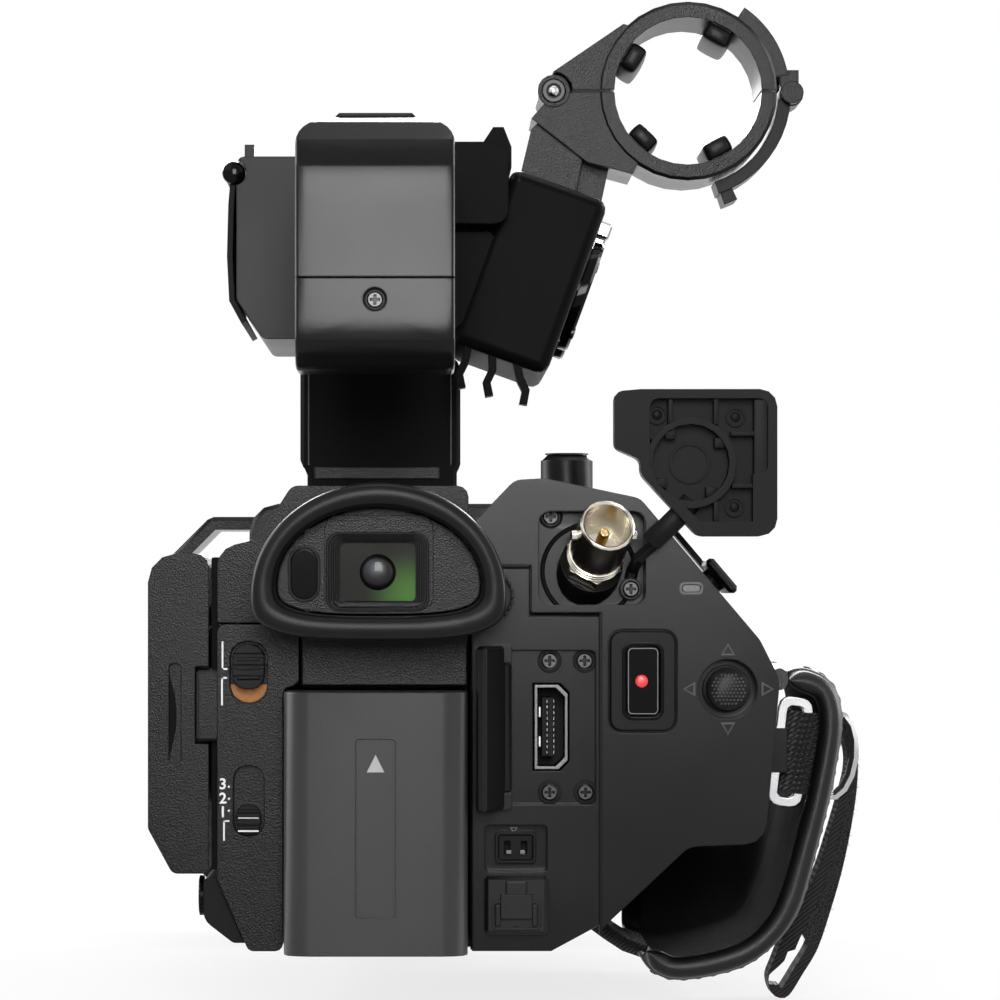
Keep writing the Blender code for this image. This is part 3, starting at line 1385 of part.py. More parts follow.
def main_board():
    low = (board_left(), board_rear(), board_bottom())
    high = (board_left() + BOARD_THICK, board_rear() + BOARD_LENGTH, board_bottom() + BOARD_HEIGHT)
    board = block("main_board", low, high)
    for number in range(3):
        y = board_rear() + BOARD_LENGTH * (number + 1) / 4
        z = board_bottom() + BOARD_HEIGHT / 2
        half = CHIP_SIZE / 2
        chip = block(
            f"chip_{number}",
            (board_left() + BOARD_THICK / 2, y - half, z - half),
            (board_left() + BOARD_THICK + CHIP_THICK, y + half, z + half),
        )
        fuse(board, chip)
    return paint(board, "board")


# LCD panel

def lcd_outline():
    return rounded([
        (LCD_INNER, LCD_Z, LCD_FOOT_ROUND),
        (LCD_INNER, LCD_Z + LCD_HEIGHT, LCD_TOP_ROUND),
        (LCD_OUTER, LCD_Z + LCD_HEIGHT, LCD_ROUND),
        (LCD_OUTER, LCD_Z + LCD_CHIN, LCD_CHIN_ROUND),
        (LCD_OUTER + LCD_CHIN_IN, LCD_Z, LCD_CHIN_ROUND),
    ])


def lcd_panel():
    panel = soften(prism("lcd_panel", lcd_outline(), "Y", LCD_REAR, LCD_FRONT), SHELL_EDGE, 2)
    barrel = rod(
        "lcd_barrel",
        (HINGE_X, HINGE_Y, HINGE_Z - BARREL_SPAN / 2),
        (HINGE_X, HINGE_Y, HINGE_Z + BARREL_SPAN / 2),
        HINGE_RADIUS,
    )
    web = block(
        "lcd_web",
        (HINGE_X - HINGE_RADIUS / 2, LCD_FRONT - WALL, HINGE_Z - BARREL_SPAN / 2 + GAP),
        (HINGE_X + HINGE_RADIUS / 2, HINGE_Y, HINGE_Z + BARREL_SPAN / 2 - GAP),
    )
    fuse(panel, barrel, web)
    bore = rod(
        "lcd_bore",
        (HINGE_X, HINGE_Y, HINGE_Z - BARREL_SPAN),
        (HINGE_X, HINGE_Y, HINGE_Z + BARREL_SPAN),
        HINGE_PIN + HINGE_CLEAR,
        16,
    )
    catch_half = CATCH_HEIGHT / 2 + 2 * GAP
    notch = block(
        "lcd_notch",
        (LCD_INNER - CATCH_REACH + LCD_SHUT_GAP - GAP, LCD_REAR - 2 * WALL, CATCH_Z - catch_half),
        (LCD_INNER + WALL, LCD_REAR + CATCH_DEPTH + 2 * GAP, CATCH_Z + catch_half),
    )
    groove_x = (LCD_INNER + LCD_OUTER) / 2 - GROOVE_OUT
    groove = prism(
        "lcd_groove",
        rectangle(
            groove_x - GROOVE_WIDTH / 2, HINGE_Z - GROOVE_HEIGHT / 2,
            groove_x + GROOVE_WIDTH / 2, HINGE_Z + GROOVE_HEIGHT / 2, GROOVE_WIDTH / 3,
        ),
        "Y",
        LCD_REAR - WALL,
        LCD_REAR + GROOVE_DEPTH,
    )
    low, high = lcd_glass_box()
    grow = Vector((GAP, GAP, GAP))
    well = block("lcd_well", low - grow, high + grow + Vector((WALL, 0, 0)))
    cut(panel, bore, notch, groove, well)
    return paint(panel, "grained")


def lcd_glass_box():
    middle = (LCD_REAR + CATCH_DEPTH + LCD_FRONT) / 2
    low = Vector((LCD_INNER - LCD_GLASS_THICK - GAP, middle - GLASS_LENGTH / 2, HINGE_Z - GLASS_HEIGHT / 2))
    high = Vector((LCD_INNER - GAP, middle + GLASS_LENGTH / 2, HINGE_Z + GLASS_HEIGHT / 2))
    return low, high


def lcd_screen():
    return paint(block("lcd_screen", *lcd_glass_box()), "glass")


def lcd_hinge():
    """Bracket on the body's side with two knuckles and the pin between them."""
    out = BODY_LEFT - GAP
    half = BARREL_SPAN / 2 + GAP + KNUCKLE
    plate = block(
        "lcd_hinge",
        (out - WALL, HINGE_Y - HINGE_RADIUS + HINGE_PLATE_IN, HINGE_Z - half),
        (out, HINGE_Y + 2.2 * HINGE_RADIUS, HINGE_Z + half),
    )
    for name, low in (("knuckle_low", HINGE_Z - half), ("knuckle_high", HINGE_Z + half - KNUCKLE)):
        knuckle = rod(name, (HINGE_X, HINGE_Y, low), (HINGE_X, HINGE_Y, low + KNUCKLE), HINGE_RADIUS)
        arm = block(
            name + "_arm",
            (HINGE_X, HINGE_Y - HINGE_RADIUS / 2, low + GAP),
            (out - WALL / 2, HINGE_Y + HINGE_RADIUS - GAP, low + KNUCKLE - GAP),
        )
        fuse(plate, knuckle, arm)
    pin = rod(
        "lcd_pin",
        (HINGE_X, HINGE_Y, HINGE_Z - half + KNUCKLE / 2),
        (HINGE_X, HINGE_Y, HINGE_Z + half - KNUCKLE / 2),
        HINGE_PIN,
        16,
    )
    return paint(fuse(plate, pin), "dark")


# Viewfinder

def arched(width, top, bottom, points=30):
    """Outline of the eyecup: an arched top over a squarer foot."""
    outline = []
    waist = EVF_Z - bottom * 0.42
    for step in range(points):
        angle = 2 * math.pi * step / points
        across = math.cos(angle)
        up = math.sin(angle)
        power = 1.0 if up >= 0 else 0.62
        reach = top + bottom * 0.42 if up >= 0 else bottom * 0.58
        x = EVF_X + math.copysign(abs(across) ** power, across) * width / 2
        z = waist + math.copysign(abs(up) ** power, up) * reach
        outline.append((x, z))
    return outline


def eyecup_outline(shrink=0.0):
    return arched(EYECUP_WIDTH - 2 * shrink, EYECUP_TOP - shrink, EYECUP_BOTTOM - shrink)


def eyecup():
    """Rubber cup drawn as its wall's section carried round the outline."""
    front = EYECUP_REAR + EYECUP_DEPTH
    edge = EYECUP_EDGE
    section = [
        (0, front),
        (0, EYECUP_REAR + edge),
        (edge * 0.3, EYECUP_REAR + edge * 0.3),
        (edge, EYECUP_REAR),
        (EYECUP_RIM - edge, EYECUP_REAR),
        (EYECUP_RIM - edge * 0.3, EYECUP_REAR + edge * 0.3),
        (EYECUP_RIM, EYECUP_REAR + edge),
        (EYECUP_RIM, front),
    ]
    loops = []
    for shrink, y in section:
        loops.append([(x, y, z) for x, z in eyecup_outline(shrink)])
    return paint(lofted("eyecup", loops, ring=True), "rubber")


def eye_panel():
    rear = EYECUP_REAR + EYE_PANEL_SINK
    panel = prism("eye_panel", eyecup_outline(EYECUP_RIM + GAP), "Y", rear, rear + EYE_PANEL_THICK)
    cut(panel, prism("eye_window", eye_window(0), "Y", rear - WALL, rear + EYE_PANEL_THICK + WALL))
    return paint(panel, "grained")


def eye_window(shrink):
    half_width = EYE_WINDOW_WIDTH / 2 - shrink
    half_height = EYE_WINDOW_HEIGHT / 2 - shrink
    return rectangle(
        EVF_X - half_width, EVF_Z - half_height, EVF_X + half_width, EVF_Z + half_height, EYE_WINDOW_ROUND
    )


def eye_lens():
    rear = EYECUP_REAR + EYE_PANEL_SINK + WALL
    return paint(prism("eye_lens", eye_window(GAP), "Y", rear, rear + EYE_LENS_THICK), "glass")


def evf_housing():
    collar_rear = EYECUP_REAR + EYE_PANEL_SINK + EYE_PANEL_THICK + GAP
    rear = EYECUP_REAR + EYECUP_DEPTH + GAP
    low = (EVF_X - EVF_WIDTH / 2, rear, EVF_Z - EVF_HEIGHT / 2)
    high = (EVF_X + EVF_WIDTH / 2, rear + EVF_LENGTH, EVF_Z + EVF_HEIGHT / 2)
    tube = soften(block("evf_housing", low, high), SHELL_EDGE)
    collar = prism("evf_collar", eyecup_outline(EYECUP_RIM + GAP), "Y", collar_rear, rear + WALL / 2)
    fuse(tube, collar)
    wall = Vector((EVF_WALL, 0, EVF_WALL))
    reach = Vector((0, EVF_LENGTH, 0))
    cut(tube, block("evf_tunnel", Vector(low) + wall - reach, Vector(high) - wall + reach))
    return paint(tube, "satin")


def diopter_point():
    return (
        EVF_X + EYECUP_WIDTH / 2 + DIOPTER_PROUD - DIOPTER_RADIUS,
        EYECUP_REAR + EYECUP_DEPTH + WALL / 2 + 2 * GAP,
        EVF_Z - DIOPTER_DROP,
    )


def diopter_dial():
    x, y, z = diopter_point()
    rim = DIOPTER_RADIUS
    profile = [
        (0, DIOPTER_THICK),
        (rim - DIOPTER_EDGE, DIOPTER_THICK),
        (rim, DIOPTER_THICK - DIOPTER_EDGE),
        (rim, DIOPTER_EDGE),
        (rim - DIOPTER_EDGE, 0),
        (0, 0),
    ]
    dial = turned("diopter_dial", profile, (x, y, z), (0, 1, 0), FINE)
    pivot("diopter_axis", (x, y, z), dial)
    return paint(dial, "rubber")


# Battery and slide switches

def battery():
    left = BATTERY_X - BATTERY_WIDTH / 2
    right = BATTERY_X + BATTERY_WIDTH / 2
    front = BATTERY_REAR + BATTERY_DEPTH
    outline = rounded([
        (left, BATTERY_REAR, BATTERY_ROUND),
        (right, BATTERY_REAR, BATTERY_ROUND),
        (right, front, BATTERY_FRONT_ROUND),
        (left, front, BATTERY_FRONT_ROUND),
    ])
    top = BATTERY_LIFT + BATTERY_HEIGHT
    pack = soften(prism("battery", outline, "Z", BATTERY_LIFT, top), SHELL_EDGE)
    label = rectangle(
        BATTERY_X - LABEL_WIDTH / 2, top - LABEL_DROP - LABEL_HEIGHT,
        BATTERY_X + LABEL_WIDTH / 2, top - LABEL_DROP, LABEL_ROUND,
    )
    room = TERMINAL_PROUD + 2 * GAP
    half = TERMINAL_WIDTH / 2 + BAY_CLEAR
    foot = top - TERMINAL_DROP - TERMINAL_HEIGHT - BAY_CLEAR
    channel = block(
        "terminal_channel",
        (BATTERY_X - half, PLATE_REAR - room, foot),
        (BATTERY_X + half, front + WALL, top + WALL),
    )
    cut(pack, prism("label_recess", label, "Y", BATTERY_REAR - WALL, BATTERY_REAR + LABEL_SINK), channel)
    pivot("battery_slide", (BATTERY_X, BATTERY_REAR, BATTERY_LIFT), pack)
    return paint(pack, "battery_grey")


def slide_knob(name, knob, z, finish):
    """Ribbed knob in a slot; its ribs run across."""
    width, height = knob
    rear = BODY_REAR - KNOB_PROUD
    outline = rectangle(
        SLOT_X - width / 2, z - height / 2, SLOT_X + width / 2, z + height / 2, width * SLOT_ROUND
    )
    body = soften(prism(name, outline, "Y", rear, BODY_REAR + SLOT_DEPTH - GAP), KNOB_EDGE)
    for number in range(KNOB_GROOVES):
        at = z + (number - (KNOB_GROOVES - 1) / 2) * height / (KNOB_GROOVES + 1)
        slit = block(
            f"{name}_groove_{number}",
            (SLOT_X - width, rear - WALL, at - KNOB_GROOVE / 2),
            (SLOT_X + width, rear + KNOB_GROOVE_DEPTH, at + KNOB_GROOVE / 2),
        )
        cut(body, slit)
    pivot(name + "_slide", (SLOT_X, BODY_REAR, z), body)
    return paint(body, finish)


def auto_switch():
    return slide_knob("auto_switch", AUTO_KNOB, AUTO_Z + AUTO_TRAVEL / 2, "dark")


def nd_switch():
    return slide_knob("nd_switch", ND_KNOB, ND_Z - ND_TRAVEL / 2, "dark")


def control_pod():
    top = SHELL_LIFT + LEFT_CHIN
    lean = LEFT_CHIN_IN / LEFT_CHIN
    clear = GAP * 1.2
    low = top - POD_HEIGHT
    outline = rounded([
        (BODY_LEFT - clear, top, 0),
        (BODY_LEFT - POD_OUT, top, POD_TOP_ROUND),
        (BODY_LEFT - POD_OUT, top - POD_FLANK, POD_ROUND),
        (BODY_LEFT + lean * POD_HEIGHT - POD_FOOT, low, POD_FOOT_ROUND),
        (BODY_LEFT + lean * POD_HEIGHT - clear, low, 0),
    ])
    rear = BODY_REAR + POD_SETBACK
    return paint(soften(prism("control_pod", outline, "Y", rear, rear + POD_LENGTH), SHELL_EDGE / 2), "dark")


def pod_dial():
    x = BODY_LEFT - POD_OUT - GAP
    z = SHELL_LIFT + LEFT_CHIN - POD_DIAL_RADIUS - GAP
    rim = POD_DIAL_RADIUS
    profile = [
        (0, POD_DIAL_THICK),
        (rim - POD_DIAL_EDGE, POD_DIAL_THICK),
        (rim, POD_DIAL_THICK - POD_DIAL_EDGE),
        (rim, 0),
        (0, 0),
    ]
    dial = turned("manual_dial", profile, (x, POD_DIAL_Y, z), (-1, 0, 0), FINE)
    pivot("manual_dial_axis", (x, POD_DIAL_Y, z), dial)
    return paint(dial, "dark")


# Sockets and covers on the rear

def hdmi_outline(grow):
    left = hdmi_x() - HDMI_WIDTH / 2 - grow
    right = hdmi_x() + HDMI_WIDTH / 2 + grow
    low = HDMI_BAY_Z - HDMI_HEIGHT / 2 - grow
    high = HDMI_BAY_Z + HDMI_HEIGHT / 2 + grow
    return [
        (left, low),
        (right - HDMI_CORNER, low),
        (right, low + HDMI_CORNER),
        (right, high - HDMI_CORNER),
        (right - HDMI_CORNER, high),
        (left, high),
    ]


def hdmi_socket():
    rear = BODY_REAR + HDMI_BAY_SINK - HDMI_PROUD
    shell = prism("hdmi_socket", hdmi_outline(0), "Y", rear, rear + HDMI_DEPTH)
    mouth = prism("hdmi_mouth", hdmi_outline(-HDMI_WALL), "Y", rear - WALL, rear + HDMI_DEPTH - WALL)
    tongue = block(
        "hdmi_tongue",
        (hdmi_x() - HDMI_TONGUE, rear + WALL, HDMI_BAY_Z - HDMI_HEIGHT / 2 + HDMI_TONGUE_IN),
        (hdmi_x(), rear + HDMI_DEPTH - WALL / 2, HDMI_BAY_Z + HDMI_HEIGHT / 2 - HDMI_TONGUE_IN),
    )
    return paint(fuse(cut(shell, mouth), tongue), "steel")


def hdmi_door():
    """Door modelled shut about its pin, then swung open by its empty."""
    half = DOOR_HEIGHT / 2 - DOOR_LUG - GAP
    past_lug = DOOR_BARREL * math.sqrt(2) + GAP  # clear of the lugs' corners as it swings
    plate = block(
        "hdmi_door",
        (DOOR_BARREL * 0.8, -DOOR_THICK / 2, -DOOR_HEIGHT / 2),
        (DOOR_WIDTH, DOOR_THICK / 2, DOOR_HEIGHT / 2),
    )
    soften(plate, DOOR_EDGE)
    for name, low in (("door_notch_low", -DOOR_HEIGHT), ("door_notch_high", half)):
        notch = block(
            name,
            (-DOOR_BARREL, -DOOR_BARREL * 2, low),
            (past_lug, DOOR_BARREL * 2, low + DOOR_HEIGHT - half),
        )
        cut(plate, notch)
    barrel = rod("door_barrel", (0, 0, -half), (0, 0, half), DOOR_BARREL, 16)
    fuse(plate, barrel)
    bore = rod("door_bore", (0, 0, -DOOR_HEIGHT), (0, 0, DOOR_HEIGHT), DOOR_PIN + HINGE_CLEAR, 12)
    cut(plate, bore)
    empty = link("hdmi_door_axis", None)
    empty.location = (*door_axis(), HDMI_BAY_Z)
    empty.rotation_euler = (0, 0, -DOOR_OPEN)
    for name in ("hdmi_door", "door_notch_low", "door_notch_high", "door_barrel", "door_bore"):
        bpy.data.objects[name].parent = empty
    return paint(plate, "rubber")


def dc_socket():
    rear = BODY_REAR + DC_SINK - DC_SOCKET_PROUD
    half = DC_SOCKET_WIDTH / 2
    socket = block(
        "dc_socket",
        (dc_x() - half, rear, DC_Z - DC_SOCKET_HEIGHT / 2),
        (dc_x() + half, rear + DC_SOCKET_DEPTH, DC_Z + DC_SOCKET_HEIGHT / 2),
    )
    for number in (-1, 1):
        at = dc_x() + number * half / 2
        slot = block(
            f"dc_slot_{number}",
            (at - DC_SLOT / 2, rear - WALL, DC_Z - DC_SOCKET_HEIGHT / 4),
            (at + DC_SLOT / 2, rear + DC_SLOT_DEPTH, DC_Z + DC_SOCKET_HEIGHT / 4),
        )
        cut(socket, slot)
    return paint(socket, "dark")


def dc_hinge():
    return Vector((dc_x(), BODY_REAR - GAP - DC_COVER_THICK / 2, DC_Z - DC_HEIGHT / 2 - GAP))


def dc_cover():
    hinge = dc_hinge()
    rear = hinge.y - DC_COVER_THICK / 2
    top = hinge.z - GAP
    cover = soften(
        block(
            "dc_cover",
            (hinge.x - DC_WIDTH / 2, rear, top - DC_COVER_HEIGHT),
            (hinge.x + DC_WIDTH / 2, rear + DC_COVER_THICK, top),
        ),
        DC_COVER_EDGE,
    )
    plug = block(
        "dc_plug",
        (hinge.x - DC_WIDTH / 4, rear - DC_PLUG_PROUD, top - DC_COVER_HEIGHT * 0.72),
        (hinge.x + DC_WIDTH / 4, rear + DC_COVER_THICK / 2, top - DC_COVER_HEIGHT * 0.3),
    )
    fuse(cover, plug)
    pivot("dc_cover_axis", hinge, cover)
    return paint(cover, "rubber")


def bnc_socket():
    """Coaxial socket with its nut, its centre pin and two bayonet pegs."""
    foot = bnc_foot()
    rise = BNC_RISE + GAP
    tip = BNC_LENGTH
    profile = [
        (0, tip - BNC_CUP),
        (BNC_BORE, tip - BNC_CUP),
        (BNC_BORE, tip - BNC_EDGE),
        (BNC_BORE + BNC_EDGE, tip),
        (BNC_RADIUS - BNC_EDGE, tip),
        (BNC_RADIUS, tip - BNC_EDGE),
        (BNC_RADIUS, rise + NUT_THICK / 2),
        (BNC_THREAD, rise + NUT_THICK / 2),
        (BNC_THREAD, -BNC_LENGTH / 3),
        (0, -BNC_LENGTH / 3),
    ]
    socket = turned("bnc_socket", profile, foot, BNC_AIM, FINE)
    nut = rod("bnc_nut", foot + BNC_AIM * rise, foot + BNC_AIM * (rise + NUT_THICK), NUT_RADIUS, 6)
    pin_foot = foot + BNC_AIM * (tip - BNC_CUP - WALL)
    pin = rod("bnc_pin", pin_foot, foot + BNC_AIM * (tip - BNC_PIN_SINK), BNC_PIN, 12)
    side = BNC_AIM.cross(Vector((0, 0, 1))).normalized()
    peg = foot + BNC_AIM * (tip - PEG_BACK)
    fuse(socket, nut, pin)
    for number in (-1, 1):
        start = peg + side * number * (BNC_BORE + BNC_EDGE)
        end = peg + side * number * (BNC_RADIUS + PEG_PROUD)
        fuse(socket, rod(f"bnc_peg_{number}", start, end, PEG_RADIUS, 12))
    return paint(socket, "nickel")


def cap_corners():
    left = CAP_X - CAP_WIDTH / 2
    right = CAP_X + CAP_WIDTH / 2
    low = CAP_Z - CAP_HEIGHT / 2
    high = CAP_Z + CAP_HEIGHT / 2
    return [
        (left - CAP_TAB, high - CAP_TAB_DROP, CAP_TAB_ROUND),
        (left - CAP_TAB, high - CAP_TAB_HEIGHT + CAP_TAB_SLANT, CAP_TAB_ROUND),
        (left, high - CAP_TAB_HEIGHT - CAP_TAB_SLANT, CAP_TAB_ROUND),
        (left, low + CAP_FOOT_UP, CAP_FOOT_ROUND),
        (left + CAP_FOOT_IN, low, CAP_FOOT_ROUND),
        (right, low, CAP_ROUND),
        (right, high, CAP_ROUND),
        (left, high, CAP_TAB_ROUND),
    ]


def sdi_cap():
    """Rubber cap with its inner side to the rear, its tether and the eyelet under the screw."""
    rear = BODY_REAR - CAP_BEHIND - CAP_THICK
    front = BODY_REAR - CAP_BEHIND
    cap = soften(prism("sdi_cap", rounded(cap_corners()), "Y", rear, front), CAP_EDGE)
    tray = rectangle(
        CAP_X - CAP_WIDTH / 2 + CAP_RIM, CAP_Z - CAP_TRAY_DROP,
        CAP_X + CAP_WIDTH / 2 - CAP_RIM, CAP_Z + CAP_HEIGHT / 2 - CAP_RIM, CAP_TRAY_ROUND,
    )
    cup_x = CAP_X - CUP_LEFT
    cut(cap, prism("cap_tray", tray, "Y", rear - WALL, rear + CAP_SINK))
    fuse(cap, along_y("cap_cup", cup_x, CAP_Z, rear + GAP, rear + CAP_SINK + WALL / 2, CUP_RADIUS))
    floor = rear + CAP_SINK + CUP_DEEPER
    cut(cap, along_y("cap_bore", cup_x, CAP_Z, rear - WALL, floor, CUP_RADIUS - CUP_WALL))
    anchor = anchor_point()
    eye_y = anchor.y - GAP - TETHER_RADIUS
    low = CAP_Z - CAP_HEIGHT / 2
    lift = BODY_REAR - TETHER_CLEAR
    path = [
        (CAP_X - CAP_WIDTH * 0.16, front - CAP_THICK / 2, low + CAP_HEIGHT * 0.2),
        (CAP_X - CAP_WIDTH * 0.30, front - CAP_THICK / 2, low + CAP_HEIGHT * 0.02),
    ]
    for right, up, share in TETHER_BEND:
        path.append((anchor.x + right, lift + (eye_y - lift) * share, anchor.z + up))
    path.append((anchor.x, eye_y, anchor.z + EYELET_RADIUS - GAP))
    fuse(cap, wire("cap_tether", path, TETHER_RADIUS))
    x, _, z = anchor
    half = EYELET_THICK / 2
    fuse(cap, along_y("cap_eyelet", x, z, eye_y - half, eye_y + half, EYELET_RADIUS, 16))
    far = EYELET_THICK + TETHER_RADIUS
    cut(cap, along_y("eyelet_hole", x, z, eye_y - far, eye_y + far, ANCHOR_RADIUS + GAP, 16))
    pivot("sdi_cap_axis", anchor, cap)
    return paint(cap, "rubber")


# Controls on the grip

def start_ring():
    outline = rectangle(
        START_X - START_RING[0] / 2, START_Z - START_RING[1] / 2,
        START_X + START_RING[0] / 2, START_Z + START_RING[1] / 2, START_ROUND,
    )
    rear = BODY_REAR - START_PROUD / 2
    ring = soften(prism("start_ring", outline, "Y", rear, BODY_REAR + RING_SINK - GAP), START_EDGE)
    hole = rectangle(
        START_X - START_BUTTON[0] / 2 - GAP, START_Z - START_BUTTON[1] / 2 - GAP,
        START_X + START_BUTTON[0] / 2 + GAP, START_Z + START_BUTTON[1] / 2 + GAP, START_ROUND / 2,
    )
    cut(ring, prism("start_ring_hole", hole, "Y", BODY_REAR - WALL, BODY_REAR + 2 * WALL))
    return paint(ring, "dark")


def start_button():
    outline = rectangle(
        START_X - START_BUTTON[0] / 2, START_Z - START_BUTTON[1] / 2,
        START_X + START_BUTTON[0] / 2, START_Z + START_BUTTON[1] / 2, START_ROUND / 2,
    )
    button = prism("start_button", outline, "Y", BODY_REAR - START_PROUD, BODY_REAR + START_SINK)
    soften(button, START_EDGE)
    pivot("start_button_slide", (START_X, BODY_REAR, START_Z), button)
    return paint(button, "gloss")


def stick_point():
    return Vector((STICK_X, BODY_REAR + STICK_SINK - STICK_ROOM - GIMBAL_THICK / 2, STICK_Z))


def stick_gimbal():
    at = stick_point()
    gimbal = along_y(
        "stick_gimbal", at.x, at.z, at.y - GIMBAL_THICK / 2, at.y + GIMBAL_THICK / 2, GIMBAL_RADIUS
    )
    pivot("stick_tilt_axis", at, gimbal)
    return paint(gimbal, "steel")


def stick_cap():
    at = stick_point()
    skirt = GIMBAL_THICK / 2 + GAP + 1.6 * STICK_ROOM
    top = at.y - BODY_REAR + STICK_PROUD
    profile = [
        (0, top),
        (STICK_CAP * 0.6, top),
        (STICK_CAP - STICK_EDGE, top - STICK_EDGE),
        (STICK_CAP, top - 2 * STICK_EDGE),
        (STICK_CAP, skirt),
        (STICK_STEM, skirt),
        (STICK_STEM, GIMBAL_THICK / 2 + GAP),
        (0, GIMBAL_THICK / 2 + GAP),
    ]
    cap = turned("stick_cap", profile, at, (0, -1, 0), FINE)
    pivot("stick_sway_axis", at, cap)
    return paint(cap, "rubber")


def power_led():
    outline = rectangle(
        LED_X - LED_WIDTH / 2, LED_Z - LED_HEIGHT / 2,
        LED_X + LED_WIDTH / 2, LED_Z + LED_HEIGHT / 2, LED_HEIGHT / 2.2,
    )
    return paint(prism("power_led", outline, "Y", BODY_REAR + GAP, BODY_REAR + LED_SINK - GAP), "lamp")


def top_button():
    """Button on the grip's top, with a flange under the shell that keeps it in."""
    crown = BAY_RIGHT + GRIP_CROWN_IN
    slope = (GRIP_TOP - SHOULDER.y) / (SHOULDER.x - crown)
    fall = slope * (TOP_BUTTON_X + TOP_BUTTON_RADIUS - crown)
    under = GRIP_TOP - fall - GRIP_WALL - TOP_BUTTON_ROOM
    floor = under - TOP_BUTTON_FLANGE_THICK
    top = GRIP_TOP + TOP_BUTTON_PROUD
    wide = TOP_BUTTON_RADIUS + TOP_BUTTON_FLANGE
    profile = [
        (0, top - floor),
        (TOP_BUTTON_RADIUS * 0.7, top - floor),
        (TOP_BUTTON_RADIUS, top - floor - TOP_BUTTON_EDGE),
        (TOP_BUTTON_RADIUS, under - floor),
        (wide, under - floor),
        (wide, 0),
        (0, 0),
    ]
    button = turned("top_button", profile, (TOP_BUTTON_X, TOP_BUTTON_Y, floor), (0, 0, 1), FINE)
    pivot("top_button_slide", (TOP_BUTTON_X, TOP_BUTTON_Y, GRIP_TOP), button)
    return paint(button, "rubber")


def zoom_rocker():
    """Rocker on the grip's slope, modelled flat and turned onto it by its empty."""
    along = SLOPE_END - SHOULDER
    middle = SHOULDER + along * ROCKER_AT
    out = Vector((-along.y, along.x)).normalized()
    if out.y < 0:
        out = -out
    empty = link("zoom_rocker_axis", None)
    pin = middle + out * (ROCKER_LIFT + ROCKER_THICK / 2)
    empty.location = (pin.x, ROCKER_Y, pin.y)
    empty.rotation_euler = (0, math.atan2(out.x, out.y), 0)
    half = Vector((ROCKER_WIDTH, ROCKER_LENGTH, ROCKER_THICK)) / 2
    low = -half.z
    plate = soften(block("zoom_rocker", -half, half), ROCKER_EDGE)
    stem = rod("rocker_stem", (0, 0, low - ROCKER_LIFT + GAP), (0, 0, 0), ROCKER_STEM, 16)
    finger = block(
        "rocker_finger",
        (-ROCKER_WIDTH / 2 - FINGER_REACH, ROCKER_LENGTH * 0.18, -FINGER_THICK),
        (0, ROCKER_LENGTH * 0.42, 0),
    )
    fuse(plate, stem, finger)
    for piece in (plate, stem, finger):
        piece.parent = empty
    return paint(plate, "dark")


# Top handle

def handle_profile(name):
    rear = HANDLE_REAR
    outline = rounded([
        (rear, HANDLE_BOTTOM, HANDLE_ROUND),
        (rear, HANDLE_TOP, HANDLE_CROWN_ROUND),
        (HANDLE_FRONT, HANDLE_TOP, HANDLE_ROUND),
        (HANDLE_FRONT, BAR_BOTTOM, 0),
        (rear + HANDLE_HOOK, BAR_BOTTOM, HOOK_ROUND),
        (rear + HANDLE_HOOK, HANDLE_BOTTOM, HANDLE_ROUND),
    ])
    return soften(prism(name, outline, "X", HANDLE_LEFT, HANDLE_RIGHT), HANDLE_EDGE, 3)


def crown_shavings():
    """What is taken off both sides of the handle's top to round it."""
    flat = CROWN_FLAT / 2
    for name, side in (("crown_left", -1), ("crown_right", 1)):
        edge = HANDLE_X + side * HANDLE_WIDTH / 2
        curve = rounded([
            (HANDLE_X + side * flat, HANDLE_TOP, 0),
            (edge, HANDLE_TOP - CROWN_DROP, CROWN_ROUND),
            (edge, HANDLE_TOP - 3 * CROWN_ROUND, 0),
            (edge + side * WALL, HANDLE_TOP - 3 * CROWN_ROUND, 0),
            (edge + side * WALL, HANDLE_TOP + WALL, 0),
            (HANDLE_X + side * flat, HANDLE_TOP + WALL, 0),
        ], 5)
        yield prism(name, curve, "Y", HANDLE_REAR - WALL, HANDLE_FRONT + WALL)


def handle():
    bar = handle_profile("handle")
    cut(bar, *crown_shavings())
    seam = HANDLE_BOTTOM + CAP_SEAM
    below = block(
        "handle_below",
        (HANDLE_LEFT - WALL, HANDLE_REAR - WALL, HANDLE_BOTTOM - WALL),
        (HANDLE_RIGHT + WALL, HANDLE_REAR + HANDLE_HOOK + WALL, seam + GAP / 2),
    )
    cut(bar, below)
    pad = block(
        "handle_pad",
        (HANDLE_X - PAD_WIDTH / 2, HANDLE_REAR + PAD_SETBACK, HANDLE_TOP - WALL),
        (HANDLE_X + PAD_WIDTH / 2, HANDLE_FRONT - PAD_SHORT, HANDLE_TOP + PAD_PROUD),
    )
    fuse(bar, soften(pad, PAD_EDGE), xlr_bracket())
    return paint(bar, "satin")


def handle_rear_cap():
    cap = handle_profile("handle_rear_cap")
    seam = HANDLE_BOTTOM + CAP_SEAM
    above = block(
        "cap_above",
        (HANDLE_LEFT - WALL, HANDLE_REAR - WALL, seam - GAP / 2),
        (HANDLE_RIGHT + WALL, HANDLE_FRONT + WALL, HANDLE_TOP + WALL),
    )
    screw = along_y(
        "cap_screw_seat", HANDLE_X, HANDLE_BOTTOM + SCREW_UP, HANDLE_REAR - WALL, HANDLE_REAR + SCREW_SINK,
        SCREW_RADIUS,
    )
    return paint(cut(cap, above, screw), "satin")


